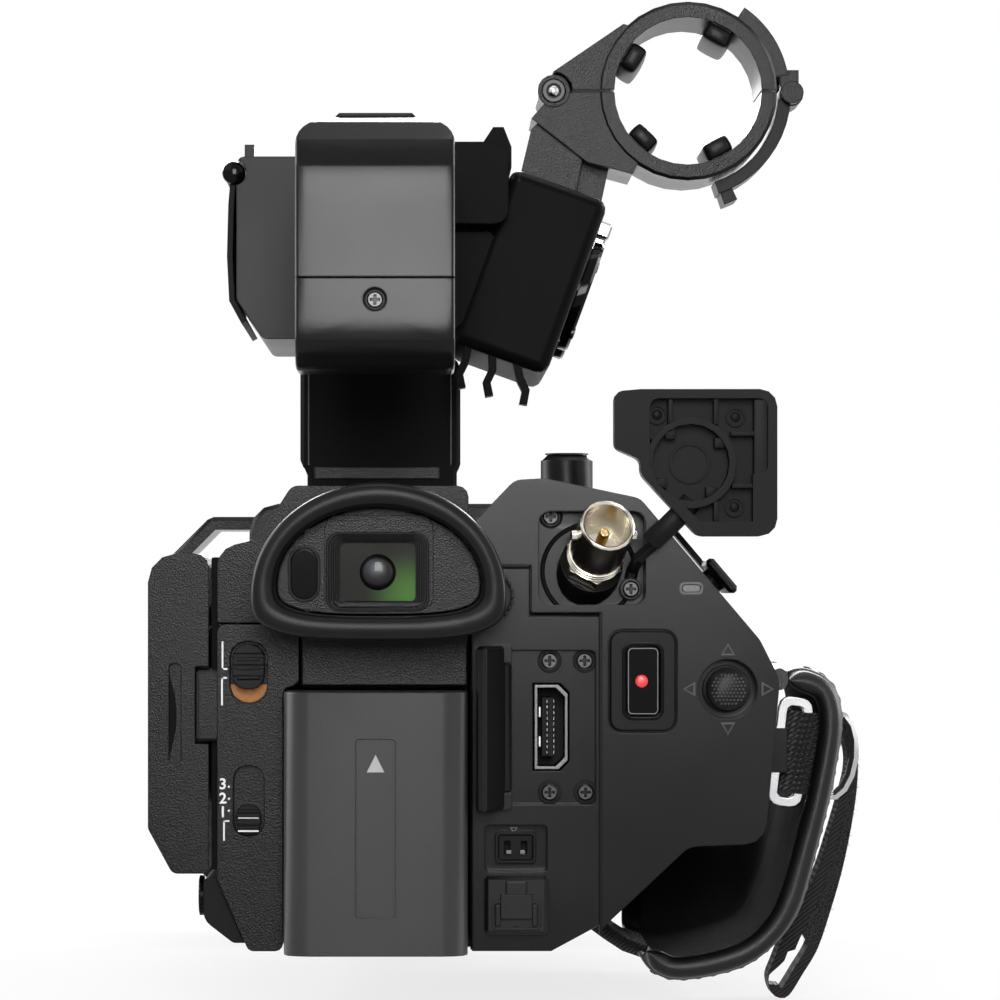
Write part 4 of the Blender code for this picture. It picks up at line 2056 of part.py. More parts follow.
def handle_leg():
    low = TOP_Z + GAP
    left = HANDLE_LEFT - LEG_OUT
    right = HANDLE_RIGHT + LEG_OUT
    shoulder = BAR_BOTTOM - LEG_SHOULDER
    outline = [
        (left + FOOT_IN, low),
        (right - FOOT_IN / 2, low),
        (right - FOOT_IN / 2, low + FOOT_HEIGHT),
        (right, low + FOOT_HEIGHT + FOOT_IN),
        (right, shoulder),
        (HANDLE_RIGHT, shoulder + LEG_OUT),
        (HANDLE_RIGHT, BAR_BOTTOM - GAP),
        (HANDLE_LEFT, BAR_BOTTOM - GAP),
        (HANDLE_LEFT, shoulder + LEG_OUT),
        (left, shoulder),
        (left, low + FOOT_HEIGHT + FOOT_IN),
        (left + FOOT_IN, low + FOOT_HEIGHT),
    ]
    leg = prism("handle_leg", outline, "Y", HANDLE_FRONT - LEG_DEPTH, HANDLE_FRONT - GAP)
    return paint(soften(leg, SHELL_EDGE), "dark")


# Audio box

def audio_hinge():
    return (
        HANDLE_LEFT - GAP - AUDIO_WIDTH - AUDIO_HINGE_OUT,
        HANDLE_TOP - AUDIO_DROP - AUDIO_HINGE_DROP,
    )


def audio_box():
    right = HANDLE_LEFT - GAP
    left = right - AUDIO_WIDTH
    top = HANDLE_TOP - AUDIO_DROP
    low = top - AUDIO_HEIGHT
    rear = BOX_FRONT - AUDIO_LENGTH
    outline = rounded([
        (right, low, 0),
        (right, top, 0),
        (left, top, AUDIO_ROUND),
        (left, low + AUDIO_CHIN, AUDIO_ROUND),
        (left + AUDIO_CHIN_IN, low, AUDIO_ROUND),
    ])
    box = soften(prism("audio_box", outline, "Y", rear, BOX_FRONT), SHELL_EDGE)
    middle_y = (rear + BOX_FRONT) / 2
    well = block(
        "dial_well",
        (left - WALL, middle_y - DIAL_SPACING, dial_z() - DIAL_WELL_HEIGHT / 2),
        (left + DIAL_WELL, middle_y + DIAL_SPACING, dial_z() + DIAL_WELL_HEIGHT / 2),
    )
    x, z = audio_hinge()
    relief = along_y("door_relief", x, z, rear - WALL, BOX_FRONT + WALL, AUDIO_HINGE + 2 * GAP)
    cut(box, well, relief)
    fin = block(
        "audio_fin",
        (left + FIN_IN, rear + FIN_SETBACK, top - WALL),
        (left + FIN_IN + FIN_THICK, rear + FIN_SETBACK + FIN_LENGTH, top + AUDIO_FIN),
    )
    return paint(fuse(box, fin), "grained")


def dial_z():
    return HANDLE_TOP - AUDIO_DROP - DIAL_DROP


def audio_door():
    """Clear door hung on a rod along its top edge, with its foot turned in under the box."""
    x, z = audio_hinge()
    out = HANDLE_LEFT - GAP - AUDIO_WIDTH - GAP - AUDIO_DOOR_THICK / 2
    low = HANDLE_TOP - AUDIO_DROP - AUDIO_HEIGHT
    toe_in, toe_down = AUDIO_DOOR_TOE
    path = [
        (x, z),
        (out - AUDIO_DOOR_BOW / 2, z - AUDIO_DOOR_BOW_DROP),
        (out - AUDIO_DOOR_BOW, (z + low) / 2),
        (out - GAP / 3, low + AUDIO_CHIN),
        (out - GAP / 3 + toe_in, low + AUDIO_CHIN - toe_down),
    ]
    rear = BOX_FRONT - AUDIO_LENGTH + AUDIO_DOOR_SHORT
    front = BOX_FRONT - AUDIO_DOOR_SHORT
    pin = AUDIO_DOOR_SHORT / 2
    door = prism("audio_door", band(path, AUDIO_DOOR_THICK), "Y", rear, front)
    fuse(door, along_y("audio_rod", x, z, rear - pin, front + pin, AUDIO_HINGE, 16))
    pivot("audio_door_axis", (x, (rear + front) / 2, z), door)
    return paint(door, "clear")


def audio_dial(number):
    x = HANDLE_LEFT - GAP - AUDIO_WIDTH + DIAL_WELL - GAP
    y = BOX_FRONT - AUDIO_LENGTH / 2 + (number - 1.5) * DIAL_SPACING
    rim = DIAL_RADIUS
    profile = [
        (0, DIAL_HEIGHT),
        (rim - DIAL_EDGE, DIAL_HEIGHT),
        (rim, DIAL_HEIGHT - DIAL_EDGE),
        (rim, 0),
        (0, 0),
    ]
    dial = turned(f"audio_dial_{number}", profile, (x, y, dial_z()), (-1, 0, 0), FINE)
    pivot(f"audio_dial_{number}_axis", (x, y, dial_z()), dial)
    return paint(dial, "dark")


# XLR box

def tilt(*pieces):
    """Sets pieces that were modelled about the XLR box's centre onto its tilted axes."""
    lean("xlr_axes", XLR_CENTRE, XLR_TILT, *pieces)


def tilted(u, w):
    """World (x, z) of a point of the tilted box."""
    return (
        XLR_CENTRE.x + u * math.cos(XLR_TILT) + w * math.sin(XLR_TILT),
        XLR_CENTRE.z - u * math.sin(XLR_TILT) + w * math.cos(XLR_TILT),
    )


def xlr_bracket():
    """Block that carries the XLR box on the handle's right side."""
    clear = -XLR_WIDTH / 2 - GAP
    upper = tilted(clear, XLR_HEIGHT / 2 + GAP)
    lower = tilted(clear, XLR_HEIGHT / 2 - BRACKET_DROP)
    left = HANDLE_RIGHT - WALL
    top = HANDLE_TOP + BRACKET_PROUD
    near, mid, far = (upper[0] - edge for edge in BRACKET_LUG_EDGES)
    outline = [
        (left, lower[1]),
        lower,
        upper,
        (upper[0], top),
        (near, top + BRACKET_LUG),
        (mid, top + BRACKET_LUG),
        (far, top),
        (HANDLE_RIGHT + GAP, top),
        (left, HANDLE_TOP - 2 * WALL),
    ]
    middle = XLR_CENTRE.y
    carrier = prism("xlr_bracket", outline, "Y", middle - BRACKET_BEHIND, middle + BRACKET_AHEAD)
    width, height, depth = BRACKET_BLOCK
    block_top = HANDLE_TOP + BRACKET_BLOCK_RISE
    rim = rectangle(left, block_top - height, HANDLE_RIGHT + width, block_top, BRACKET_BLOCK_ROUND)
    box_rear = middle - XLR_LENGTH / 2 - GAP
    rear_block = prism("xlr_rear_block", rim, "Y", box_rear - depth, box_rear)
    near_handle = [
        (left, lower[1]),
        (HANDLE_RIGHT + GAP, lower[1]),
        (HANDLE_RIGHT + 2 * WALL, top - WALL),
        (left, HANDLE_TOP - 2 * WALL),
    ]
    tie = prism("xlr_block_tie", near_handle, "Y", box_rear - WALL, middle - BRACKET_BEHIND + WALL)
    return fuse(carrier, rear_block, tie)


def xlr_filler():
    """Wedge of the box that fills the corner beside the handle, below the carrier."""
    side = HANDLE_RIGHT + GAP
    upper = tilted(-XLR_WIDTH / 2, XLR_HEIGHT / 2 - BRACKET_DROP - 2 * GAP)
    foot = tilted(-XLR_WIDTH / 2, XLR_EDGE - XLR_HEIGHT / 2)
    slope = (upper[1] - foot[1]) / (upper[0] - foot[0])
    inside = tilted(0, 0)
    outline = [(side, foot[1] + (side - foot[0]) * slope), inside, upper, (side, upper[1])]
    rear = XLR_CENTRE.y - XLR_LENGTH / 2 + GAP
    return prism("xlr_filler", outline, "Y", rear, rear + XLR_LENGTH - 2 * GAP)


def xlr_box():
    half = Vector((XLR_WIDTH / 2, XLR_LENGTH / 2, XLR_HEIGHT / 2))
    box = soften(block("xlr_box", -half, half), XLR_EDGE, 3)
    tilt(box)
    fuse(box, xlr_filler())
    for number in (1, 2):
        y = (number - 1.5) * XLR_SPACING
        bore = rod(
            f"xlr_bore_{number}",
            (half.x - XLR_SOCKET_DEPTH - GAP, y, 0),
            (half.x + WALL, y, 0),
            XLR_SOCKET + GAP,
        )
        wide = TAB_SIZE[0] / 2 + TAB_CLEAR
        tall = TAB_SIZE[1] / 2 + TAB_CLEAR
        pocket = block(
            f"tab_pocket_{number}",
            (half.x - TAB_SINK - TAB_TRAVEL - TAB_CLEAR, y - wide, tab_z() - tall),
            (half.x + WALL, y + wide, tab_z() + tall),
        )
        tilt(bore, pocket)
        cut(box, bore, pocket)
    for number, prong in enumerate(prongs()):
        rear = XLR_CENTRE.y - XLR_LENGTH / 2 + PRONG_SETBACK
        fuse(box, prism(f"cable_prong_{number}", band(prong, PRONG_THICK), "Y", rear, rear + PRONG_WIDTH))
    return paint(box, "satin")


def prongs():
    """Three hooks under the XLR box that hold the microphone lead."""
    for number in range(3):
        x, z = tilted(-XLR_WIDTH / 2 + PRONG_IN + number * PRONG_PITCH, -XLR_HEIGHT / 2 + PRONG_ROOT)
        tip = x + (number - 1) * PRONG_SPREAD
        curl = -1 if number < 2 else 1
        yield [
            (x, z),
            (tip, z - PRONG_LENGTH * 0.55),
            (tip + curl * PRONG_CURL[0], z - PRONG_LENGTH * 0.85),
            (tip + curl * PRONG_CURL[1], z - PRONG_LENGTH * 1.2),
        ]


def tab_z():
    return XLR_FLANGE + TAB_SIZE[1] / 2 + 2 * TAB_CLEAR


def xlr_socket(number):
    face = XLR_WIDTH / 2
    bottom = face - XLR_SOCKET_DEPTH
    top = face + GAP + XLR_FLANGE_THICK - bottom
    inner, outer = XLR_GROOVE
    profile = [
        (0, top - XLR_FACE_SINK),
        (inner, top - XLR_FACE_SINK),
        (inner, top - XLR_GROOVE_DEPTH),
        (outer, top - XLR_GROOVE_DEPTH),
        (outer, top),
        (XLR_FLANGE - XLR_FLANGE_EDGE, top),
        (XLR_FLANGE, top - XLR_FLANGE_EDGE),
        (XLR_FLANGE, face + GAP - bottom),
        (XLR_SOCKET, face + GAP - bottom),
        (XLR_SOCKET, 0),
        (0, 0),
    ]
    y = (number - 1.5) * XLR_SPACING
    socket = turned(f"xlr_socket_{number}", profile, (bottom, y, 0), (1, 0, 0), FINE)
    tilt(socket)
    return paint(socket, "dark")


def xlr_tab(number):
    face = XLR_WIDTH / 2
    y = (number - 1.5) * XLR_SPACING
    tab = block(
        f"xlr_tab_{number}",
        (face - TAB_SINK, y - TAB_SIZE[0] / 2, tab_z() - TAB_SIZE[1] / 2),
        (face + TAB_PROUD, y + TAB_SIZE[0] / 2, tab_z() + TAB_SIZE[1] / 2),
    )
    tilt(tab)
    return paint(soften(tab, TAB_EDGE), "dark")


# Microphone holder

def mic_hinge():
    return MIC_X - MIC_HINGE_LEFT, MIC_Z


def mic_ends():
    return MIC_Y - MIC_WIDTH / 2, MIC_Y + MIC_WIDTH / 2


def mic_ring(name):
    low, high = mic_ends()
    ring = along_y(name, MIC_X, MIC_Z, low, high, MIC_BORE + MIC_RIM, ROUND)
    return soften(ring, MIC_EDGE)


def mic_pads(name, angles):
    """Rubber rests inside the ring."""
    low, high = mic_ends()
    width, depth = MIC_PAD
    for number, angle in enumerate(angles):
        spread = math.degrees(width / MIC_BORE) / 2
        root = MIC_BORE + MIC_RIM / 2
        outline = sector((MIC_X, MIC_Z), MIC_BORE - depth, root, angle - spread, angle + spread, 3)
        yield prism(f"{name}_pad_{number}", outline, "Y", low + MIC_PAD_SHORT, high - MIC_PAD_SHORT)


def knuckle(name, third, radius, shrink=GAP / 2):
    """One third of the clamp's hinge, from 0 at the rear to 2 at the front."""
    low, high = mic_ends()
    step = (high - low) / 3
    x, z = mic_hinge()
    return along_y(name, x, z, low + third * step + shrink, low + (third + 1) * step - shrink, radius, 16)


def mic_clamp_upper():
    low, high = mic_ends()
    x, z = mic_hinge()
    outer = MIC_BORE + MIC_RIM
    clamp = mic_ring("mic_clamp_upper")
    arm = [
        (x - MIC_LUG * 0.6, z),
        (x - MIC_LUG * 0.6, z + MIC_LUG * 0.8),
        (MIC_X - outer * 0.72, z + MIC_ARM_TOP + MIC_ARM_CROWN),
        (MIC_X - outer * 0.5, z + MIC_ARM_TOP),
        (MIC_X - outer * 0.8, z),
    ]
    fuse(clamp, prism("upper_arm", arm, "Y", low + GAP, high - GAP))
    band_outline = sector((MIC_X, MIC_Z), outer - MIC_BAND_ROOT, outer + MIC_BAND, *MIC_BAND_ANGLES)
    width = LATCH_WIDTH / 2
    reach = width + LATCH_EAR
    fuse(clamp, prism("upper_band", band_outline, "Y", MIC_Y - reach, MIC_Y + reach))
    far = 4 * outer
    below = block(
        "upper_below",
        (MIC_X - far, low - WALL, MIC_Z - far),
        (MIC_X + far, high + WALL, MIC_Z + MIC_SPLIT / 2),
    )
    cut(clamp, below, along_y("upper_bore", MIC_X, MIC_Z, low - WALL, high + WALL, MIC_BORE, ROUND))
    for third in (0, 2):
        cut(clamp, knuckle(f"upper_room_{third}", third, MIC_LUG + 2 * GAP, -GAP))
    fuse(clamp, knuckle("upper_lug", 1, MIC_LUG))
    cut(clamp, along_y("upper_pin_bore", x, z, low - WALL, high + WALL, MIC_PIN + HINGE_CLEAR, 12))
    fuse(clamp, *mic_pads("upper", [angle for angle in MIC_PAD_ANGLES if angle > 0]))
    latch_x = MIC_X + LATCH_RIGHT
    for name, rear in (("latch_ear_rear", MIC_Y - reach), ("latch_ear_front", MIC_Y + width + GAP)):
        front = rear + LATCH_EAR - GAP
        ear = along_y(name, latch_x, MIC_Z, rear, front, LATCH_BARREL - LATCH_EAR_THIN, 16)
        neck = block(
            name + "_neck",
            (latch_x - LATCH_BARREL, rear + GAP / 3, MIC_Z + MIC_SPLIT),
            (latch_x + LATCH_BARREL * 0.5, front - GAP / 3, MIC_Z + LATCH_BARREL + LATCH_NECK_UP),
        )
        fuse(clamp, ear, neck)
    reach = width + LATCH_EAR / 2
    fuse(clamp, along_y("latch_pin", latch_x, MIC_Z, MIC_Y - reach, MIC_Y + reach, LATCH_PIN, 12))
    pivot("mic_clamp_axis", (x, MIC_Y, z), clamp)
    return paint(clamp, "satin")


def mic_clamp_lower():
    low, high = mic_ends()
    x, z = mic_hinge()
    outer = MIC_BORE + MIC_RIM
    clamp = mic_ring("mic_clamp_lower")
    foot_left = tilted(0, XLR_HEIGHT / 2 + GAP)
    lean = math.tan(XLR_TILT)
    right = x + MIC_BRACKET_WIDTH * 0.6
    left = right - MIC_BRACKET_WIDTH
    arm = [
        (x - MIC_LUG * 0.6, z),
        (MIC_X - outer * 0.8, z),
        (MIC_X - outer * 0.5, z - MIC_ARM_TOP),
        (MIC_X - outer * 0.62, z - MIC_ARM_TOP - MIC_ARM_CHIN),
        (right, z - MIC_ARM_TOP - MIC_ARM_FOOT),
        (left, z - MIC_BRACKET_TOP),
        (x - MIC_LUG * 0.6, z - MIC_LUG * 0.8),
    ]
    fuse(clamp, prism("lower_arm", arm, "Y", low + GAP, high - GAP))
    def on_box(at):
        return at, foot_left[1] - (at - foot_left[0]) * lean

    base = [
        on_box(left - MIC_NECK_LEAN + MIC_BRACKET_LEDGE),
        on_box(right - MIC_NECK_LEAN + MIC_BRACKET_LEDGE),
        (right, z - MIC_BRACKET_TOP - MIC_BRACKET_SLANT),
        (left + MIC_BRACKET_LEDGE, z - MIC_BRACKET_TOP),
        (left, z - MIC_BRACKET_TOP - MIC_BRACKET_LEDGE),
    ]
    half = MIC_BRACKET_DEPTH / 2
    web = [
        on_box(right - MIC_NECK_LEAN),
        on_box(right - MIC_NECK_LEAN + MIC_BRACKET_LEDGE + MIC_NECK_WEB),
        (right + MIC_NECK_WEB, z - MIC_ARM_TOP),
        (right - MIC_BRACKET_LEDGE, z - MIC_ARM_TOP),
    ]
    rib = MIC_NECK_WEB_DEPTH / 2
    fuse(
        clamp,
        prism("mic_bracket", base, "Y", MIC_Y - half, MIC_Y + half),
        prism("mic_neck_web", web, "Y", MIC_Y - rib, MIC_Y + rib),
    )
    far = 4 * outer
    above = block(
        "lower_above",
        (MIC_X - far, low - WALL, MIC_Z - MIC_SPLIT / 2),
        (MIC_X + far, high + WALL, MIC_Z + far),
    )
    bore = along_y("lower_bore", MIC_X, MIC_Z, low - WALL, high + WALL, MIC_BORE, ROUND)
    cut(clamp, above, bore, knuckle("lower_room", 1, MIC_LUG + 2 * GAP, -GAP))
    fuse(clamp, *(knuckle(f"lower_lug_{third}", third, MIC_LUG) for third in (0, 2)))
    fuse(clamp, along_y("mic_pin", x, z, low + MIC_LUG / 3, high - MIC_LUG / 3, MIC_PIN, 12))
    fuse(clamp, *mic_pads("lower", [angle for angle in MIC_PAD_ANGLES if angle < 0]))
    return paint(clamp, "satin")


def mic_latch():
    """Over-centre lever that hugs the lower half."""
    outer = MIC_BORE + MIC_RIM
    inner = outer + 2 * GAP
    width = LATCH_WIDTH / 2 - GAP
    x = MIC_X + LATCH_RIGHT
    lever_outline = sector((MIC_X, MIC_Z), inner, inner + LATCH_THICK, LATCH_END, LATCH_START)
    lever = prism("mic_latch", lever_outline, "Y", MIC_Y - width, MIC_Y + width)
    fuse(lever, along_y("latch_barrel", x, MIC_Z, MIC_Y - width, MIC_Y + width, LATCH_BARREL, 16))
    end = inner + LATCH_THICK + LATCH_TAIL
    tail = sector((MIC_X, MIC_Z), inner + GAP, end, LATCH_END + 1, LATCH_END + 8, 3)
    fuse(lever, prism("latch_tail", tail, "Y", MIC_Y - width + GAP, MIC_Y + width - GAP))
    low, high = mic_ends()
    cut(lever, along_y("latch_bore", x, MIC_Z, low, high, LATCH_PIN + HINGE_CLEAR, 12))
    pivot("mic_latch_axis", (x, MIC_Y, MIC_Z), lever)
    return paint(lever, "dark")


# Hand strap

def loop_bar():
    """Middle of the loop's inner bar, beside the grip."""
    return Vector((GRIP_RIGHT + LOOP_OUT, LOOP_Y, LOOP_Z))


def strap_loop():
    half = LOOP_HEIGHT / 2
    inner = LOOP_BAR / 2
    outline = rectangle(-inner, -half, LOOP_WIDTH + inner, half, LOOP_ROUND)
    loop = prism("strap_loop", outline, "Y", -LOOP_THICK / 2, LOOP_THICK / 2)
    hole = rectangle(inner, LOOP_BAR - half, LOOP_WIDTH - inner, half - LOOP_BAR, LOOP_HOLE_ROUND)
    opening = prism("strap_loop_hole", hole, "Y", -LOOP_THICK, LOOP_THICK)
    lean("strap_loop_axes", loop_bar(), STRAP_LEAN, loop, opening)
    return paint(soften(cut(loop, opening), LOOP_EDGE), "steel")


def strap_web():
    """Webbing folded round the loop's outer bar, with its plies sewn together beside the pad."""
    clear_x = LOOP_BAR / 2 + 2 * GAP + WEB_THICK / 2
    clear_y = LOOP_THICK / 2 + 3 * GAP + WEB_THICK / 2
    fold = [
        (
            LOOP_WIDTH + clear_x * math.cos(math.radians(angle)),
            clear_y * math.sin(math.radians(angle)),
        )
        for angle in range(0, -181, -30)
    ]
    meet, end = WEB_SEWN
    beside = fold[0][0] - WEB_THICK - GAP / 3
    path = [(fold[0][0], end)] + fold + [(beside, meet), (beside, end)]
    web = prism("strap_web", band(path, WEB_THICK), "Z", -WEB_WIDTH / 2, WEB_WIDTH / 2)
    lean("strap_web_axes", loop_bar(), STRAP_LEAN, web)
    return paint(web, "webbing")


def pad_line(tuck):
    """The pad's middle line seen from the rear: over the knuckles, down and under the grip."""
    line = [Vector((GRIP_RIGHT + x, GRIP_BULGE_Z + z)) for x, z in PAD_KNUCKLE]
    for low, high in zip(PAD_PALM, PAD_TUCK):
        line.append(Vector((GRIP_RIGHT, GRIP_FLOOR_Z)) + Vector(low).lerp(Vector(high), tuck))
    return line


def strap_pad():
    """Leather pad with a rolled rear end and a thin middle, tucked under the grip at its front end."""
    loops = []
    for ahead, swell, inward, tuck in PAD_STATIONS:
        line = pad_line(tuck)
        thick = []
        for index in range(len(line)):
            crown = math.sin(math.pi * (index + 0.5) / len(line)) ** 0.5
            thick.append(PAD_THICK * swell * (PAD_THIN_EDGE + (1 - PAD_THIN_EDGE) * crown))
        loops.append([(x, PAD_REAR + ahead, z) for x, z in shell_line(line, thick, inward)])
    pad = lofted("strap_pad", loops)
    smooth = pad.modifiers.new("soft", "SUBSURF")
    smooth.levels = 1
    smooth.render_levels = 1
    return paint(pad, "leather")


def shell_line(line, thick, inward):
    """Closed outline round a line set inward, whose thickness changes from point to point."""
    left = []
    right = []
    for index, here in enumerate(line):
        before = here - line[max(index - 1, 0)]
        after = line[min(index + 1, len(line) - 1)] - here
        along = (before.normalized() + after.normalized()).normalized()
        out = Vector((-along.y, along.x))
        left.append(tuple(here + out * (thick[index] / 2 - inward)))
        right.append(tuple(here - out * (thick[index] / 2 + inward)))
    return left + right[::-1]


def ring_bar():
    """Middle of the ring's straight bar, just outside the pad."""
    return Vector((GRIP_RIGHT + RING_OUT + PAD_THICK / 2 + RING_WIRE, RING_Y, RING_Z))


def d_ring():
    half = RING_HEIGHT / 2
    points = [(0, 0, -half), (0, 0, half)]
    for angle in range(75, -76, -25):
        turn = math.radians(angle)
        points.append((RING_BULGE * math.cos(turn), 0, half * math.sin(turn)))
    ring = wire("d_ring", points, RING_WIRE, True)
    lean("d_ring_axes", ring_bar(), STRAP_LEAN, ring)
    return paint(ring, "steel")


def strap_tail():
    """Free end of the strap: it leaves the ring, hangs down and is folded back into a loop."""
    x = ring_bar().x + RING_BULGE
    outline = [(x + u, RING_Z + v) for u, v in TAIL_OUTER + TAIL_FOLD + TAIL_INNER]
    eye = [(x + u, RING_Z + v) for u, v in TAIL_EYE]
    rear = RING_Y + RING_WIRE + 2 * GAP
    tail = prism("strap_tail", outline, "Y", rear, rear + TAIL_WIDTH)
    cut(tail, prism("tail_eye", eye, "Y", rear - WALL, rear + 2 * TAIL_WIDTH))
    return paint(tail, "webbing")


def shade():
    for obj in bpy.data.collections["camcorder"].objects:
        if obj.type == "MESH":
            obj.data.shade_smooth()
            obj.data.set_sharp_from_angle(angle=math.radians(35))


def main():
    start_scene()
    for make in (
        left_shell, top_cover, grip_shell, jack_panel, battery_plate, base_plate,
        front_cover, lens_barrel, lens_ring, front_lens, lens_hood, sensor_board, main_board,
        lcd_panel, lcd_screen, lcd_hinge,
        eyecup, eye_panel, eye_lens, evf_housing, diopter_dial,
        battery, auto_switch, nd_switch, control_pod, pod_dial,
        hdmi_socket, hdmi_door, dc_socket, dc_cover, bnc_socket, sdi_cap,
        start_ring, start_button, stick_gimbal, stick_cap, power_led, top_button, zoom_rocker,
        handle, handle_rear_cap, handle_leg, audio_box, audio_door, xlr_box,
        mic_clamp_upper, mic_clamp_lower, mic_latch,
        strap_loop, strap_web, strap_pad, d_ring, strap_tail,
    ):
        make()
    for number in (1, 2):
        audio_dial(number)
        xlr_socket(number)
        xlr_tab(number)
    shade()


main()
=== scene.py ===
"""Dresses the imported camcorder: finishes, soft hand strap, small fittings, printed marks and a studio."""

import json
import math
from contextlib import contextmanager

import bmesh
import bpy
from mathutils import Matrix, Vector
from mathutils.bvhtree import BVHTree

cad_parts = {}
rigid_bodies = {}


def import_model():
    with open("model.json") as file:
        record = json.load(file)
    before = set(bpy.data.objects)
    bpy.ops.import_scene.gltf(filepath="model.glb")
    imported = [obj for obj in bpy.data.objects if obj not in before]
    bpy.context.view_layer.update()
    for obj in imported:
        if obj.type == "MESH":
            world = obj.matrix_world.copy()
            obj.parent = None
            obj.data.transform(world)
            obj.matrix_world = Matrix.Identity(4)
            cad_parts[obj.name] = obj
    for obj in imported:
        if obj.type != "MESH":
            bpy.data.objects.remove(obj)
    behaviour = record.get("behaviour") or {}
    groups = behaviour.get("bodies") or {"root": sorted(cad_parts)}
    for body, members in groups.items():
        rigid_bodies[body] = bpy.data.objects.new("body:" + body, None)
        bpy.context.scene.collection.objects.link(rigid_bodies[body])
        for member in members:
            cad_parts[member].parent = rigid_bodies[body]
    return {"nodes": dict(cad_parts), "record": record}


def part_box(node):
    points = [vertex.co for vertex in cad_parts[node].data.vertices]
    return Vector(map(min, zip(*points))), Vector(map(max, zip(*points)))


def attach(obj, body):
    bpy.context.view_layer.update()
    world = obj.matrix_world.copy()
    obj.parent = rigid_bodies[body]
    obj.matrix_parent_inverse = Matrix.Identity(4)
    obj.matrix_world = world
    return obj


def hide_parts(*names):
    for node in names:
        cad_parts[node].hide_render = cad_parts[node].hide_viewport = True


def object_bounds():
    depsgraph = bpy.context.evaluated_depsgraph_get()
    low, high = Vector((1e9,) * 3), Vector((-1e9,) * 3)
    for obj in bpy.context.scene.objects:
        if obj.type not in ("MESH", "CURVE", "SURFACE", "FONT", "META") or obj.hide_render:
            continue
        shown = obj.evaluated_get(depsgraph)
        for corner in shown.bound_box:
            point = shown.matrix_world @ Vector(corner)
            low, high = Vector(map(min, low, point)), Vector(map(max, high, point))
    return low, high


bl_info = {
    "name": "Camcorder dressing",
    "version": (1, 0, 0),
    "blender": (4, 5, 0),
    "location": "3D View > Sidebar > Camcorder",
    "description": "Finishes, hand strap, fittings, printed marks and studio for the packed camcorder",
    "category": "Object",
}

for leftover in list(bpy.data.objects):
    bpy.data.objects.remove(leftover)

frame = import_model()
CAD_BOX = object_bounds()
MM = 0.001
RIGHT, FORWARD, REARWARD, UP, DOWN = (1, 0, 0), (0, 1, 0), (0, -1, 0), (0, 0, 1), (0, 0, -1)
REAR = -85.0        # rear plane of the body; places and sizes are in millimetres unless they say otherwise
FAR_REAR, FAR_LEFT, FAR_BELOW, FAR_ABOVE = -400, -100, -200, 300    # where rays start
WELD = 2e-6         # metres between corners that are one
SKIN_ANGLE = 33     # degrees past which an edge stays crisp


# Sizes and colours that a user may change

def colour_property(name, description, default):
    return bpy.props.FloatVectorProperty(name=name, description=description, subtype="COLOR", default=default)


def length_property(name, description, size):
    """Length given in millimetres."""
    return bpy.props.FloatProperty(name=name, description=description, default=size * MM, unit="LENGTH")


class CamcorderFinish(bpy.types.PropertyGroup):
    """Colours and surface character of the finishes."""

    shell: colour_property("Shell", "Satin charcoal shells", (0.0052, 0.0053, 0.0057))
    grained: colour_property("Grained shell", "Pebbled left side", (0.005, 0.0051, 0.0054))
    dark: colour_property("Dark plastic", "Inner and shaded plastic", (0.0032, 0.0032, 0.0034))
    battery: colour_property("Battery", "Grey battery case", (0.024, 0.0244, 0.0255))
    rubber: colour_property("Rubber", "Eyecup, covers and cap", (0.0055, 0.0055, 0.0058))
    leather: colour_property("Leather", "Hand strap pad", (0.0035, 0.0035, 0.0037))
    webbing: colour_property("Webbing", "Strap webbing", (0.0045, 0.0045, 0.0048))
    fibre: colour_property("Fibre", "Stray fibres of the hook-and-loop face", (0.09, 0.09, 0.092))
    ink: colour_property("Ink", "Printed marks", (0.72, 0.72, 0.72))
    orange: colour_property("Orange", "Floor of the mode switch", (0.42, 0.17, 0.045))
    record_red: colour_property("Record red", "Dot on the record button", (0.62, 0.022, 0.028))
    grain_depth: bpy.props.FloatProperty(
        name="Grain depth", description="Strength of the moulded grain", default=0.3, min=0.0, max=1.0,
        subtype="FACTOR")


class CamcorderStrap(bpy.types.PropertyGroup):
    """Sizes of the soft hand strap."""

    pad_thick: length_property("Pad thickness", "Thin part of the pad before it swells", 1.9)
    swell: length_property("Swell", "Most that a point of the pad moves as it fills", 0.35)
    pressure: bpy.props.FloatProperty(
        name="Pressure", description="Filling pressure in the simulation", default=4.0, min=0.0)
    stitch_pitch: length_property("Stitch pitch", "From stitch to stitch", 2.6)
    stitch_length: length_property("Stitch length", "Length of one stitch", 1.8)
    rib_pitch: length_property("Rib pitch", "From cord to cord of the webbing", 1.05)
    tail_ply: length_property("Tail ply", "Thickest that a ply of the tail is", 3.0)
    fibre_length: length_property("Fibre length", "Stray fibres on the tail", 0.9)


class CamcorderFittings(bpy.types.PropertyGroup):
    """Sizes and counts of the repeated fittings."""

    screw_radius: length_property("Screw radius", "Small cross-head screws", 1.5)
    lens_ribs: bpy.props.IntProperty(
        name="Lens ring ribs", description="Ribs round the lens ring", default=84, min=12)
    knurl_pitch: length_property("Joystick knurl", "From stud to stud of the joystick", 0.62)
    line_width: length_property("Printed line", "Width of a printed line", 0.3)
    digit_height: length_property("Digit height", "Height of the printed numbers", 1.9)


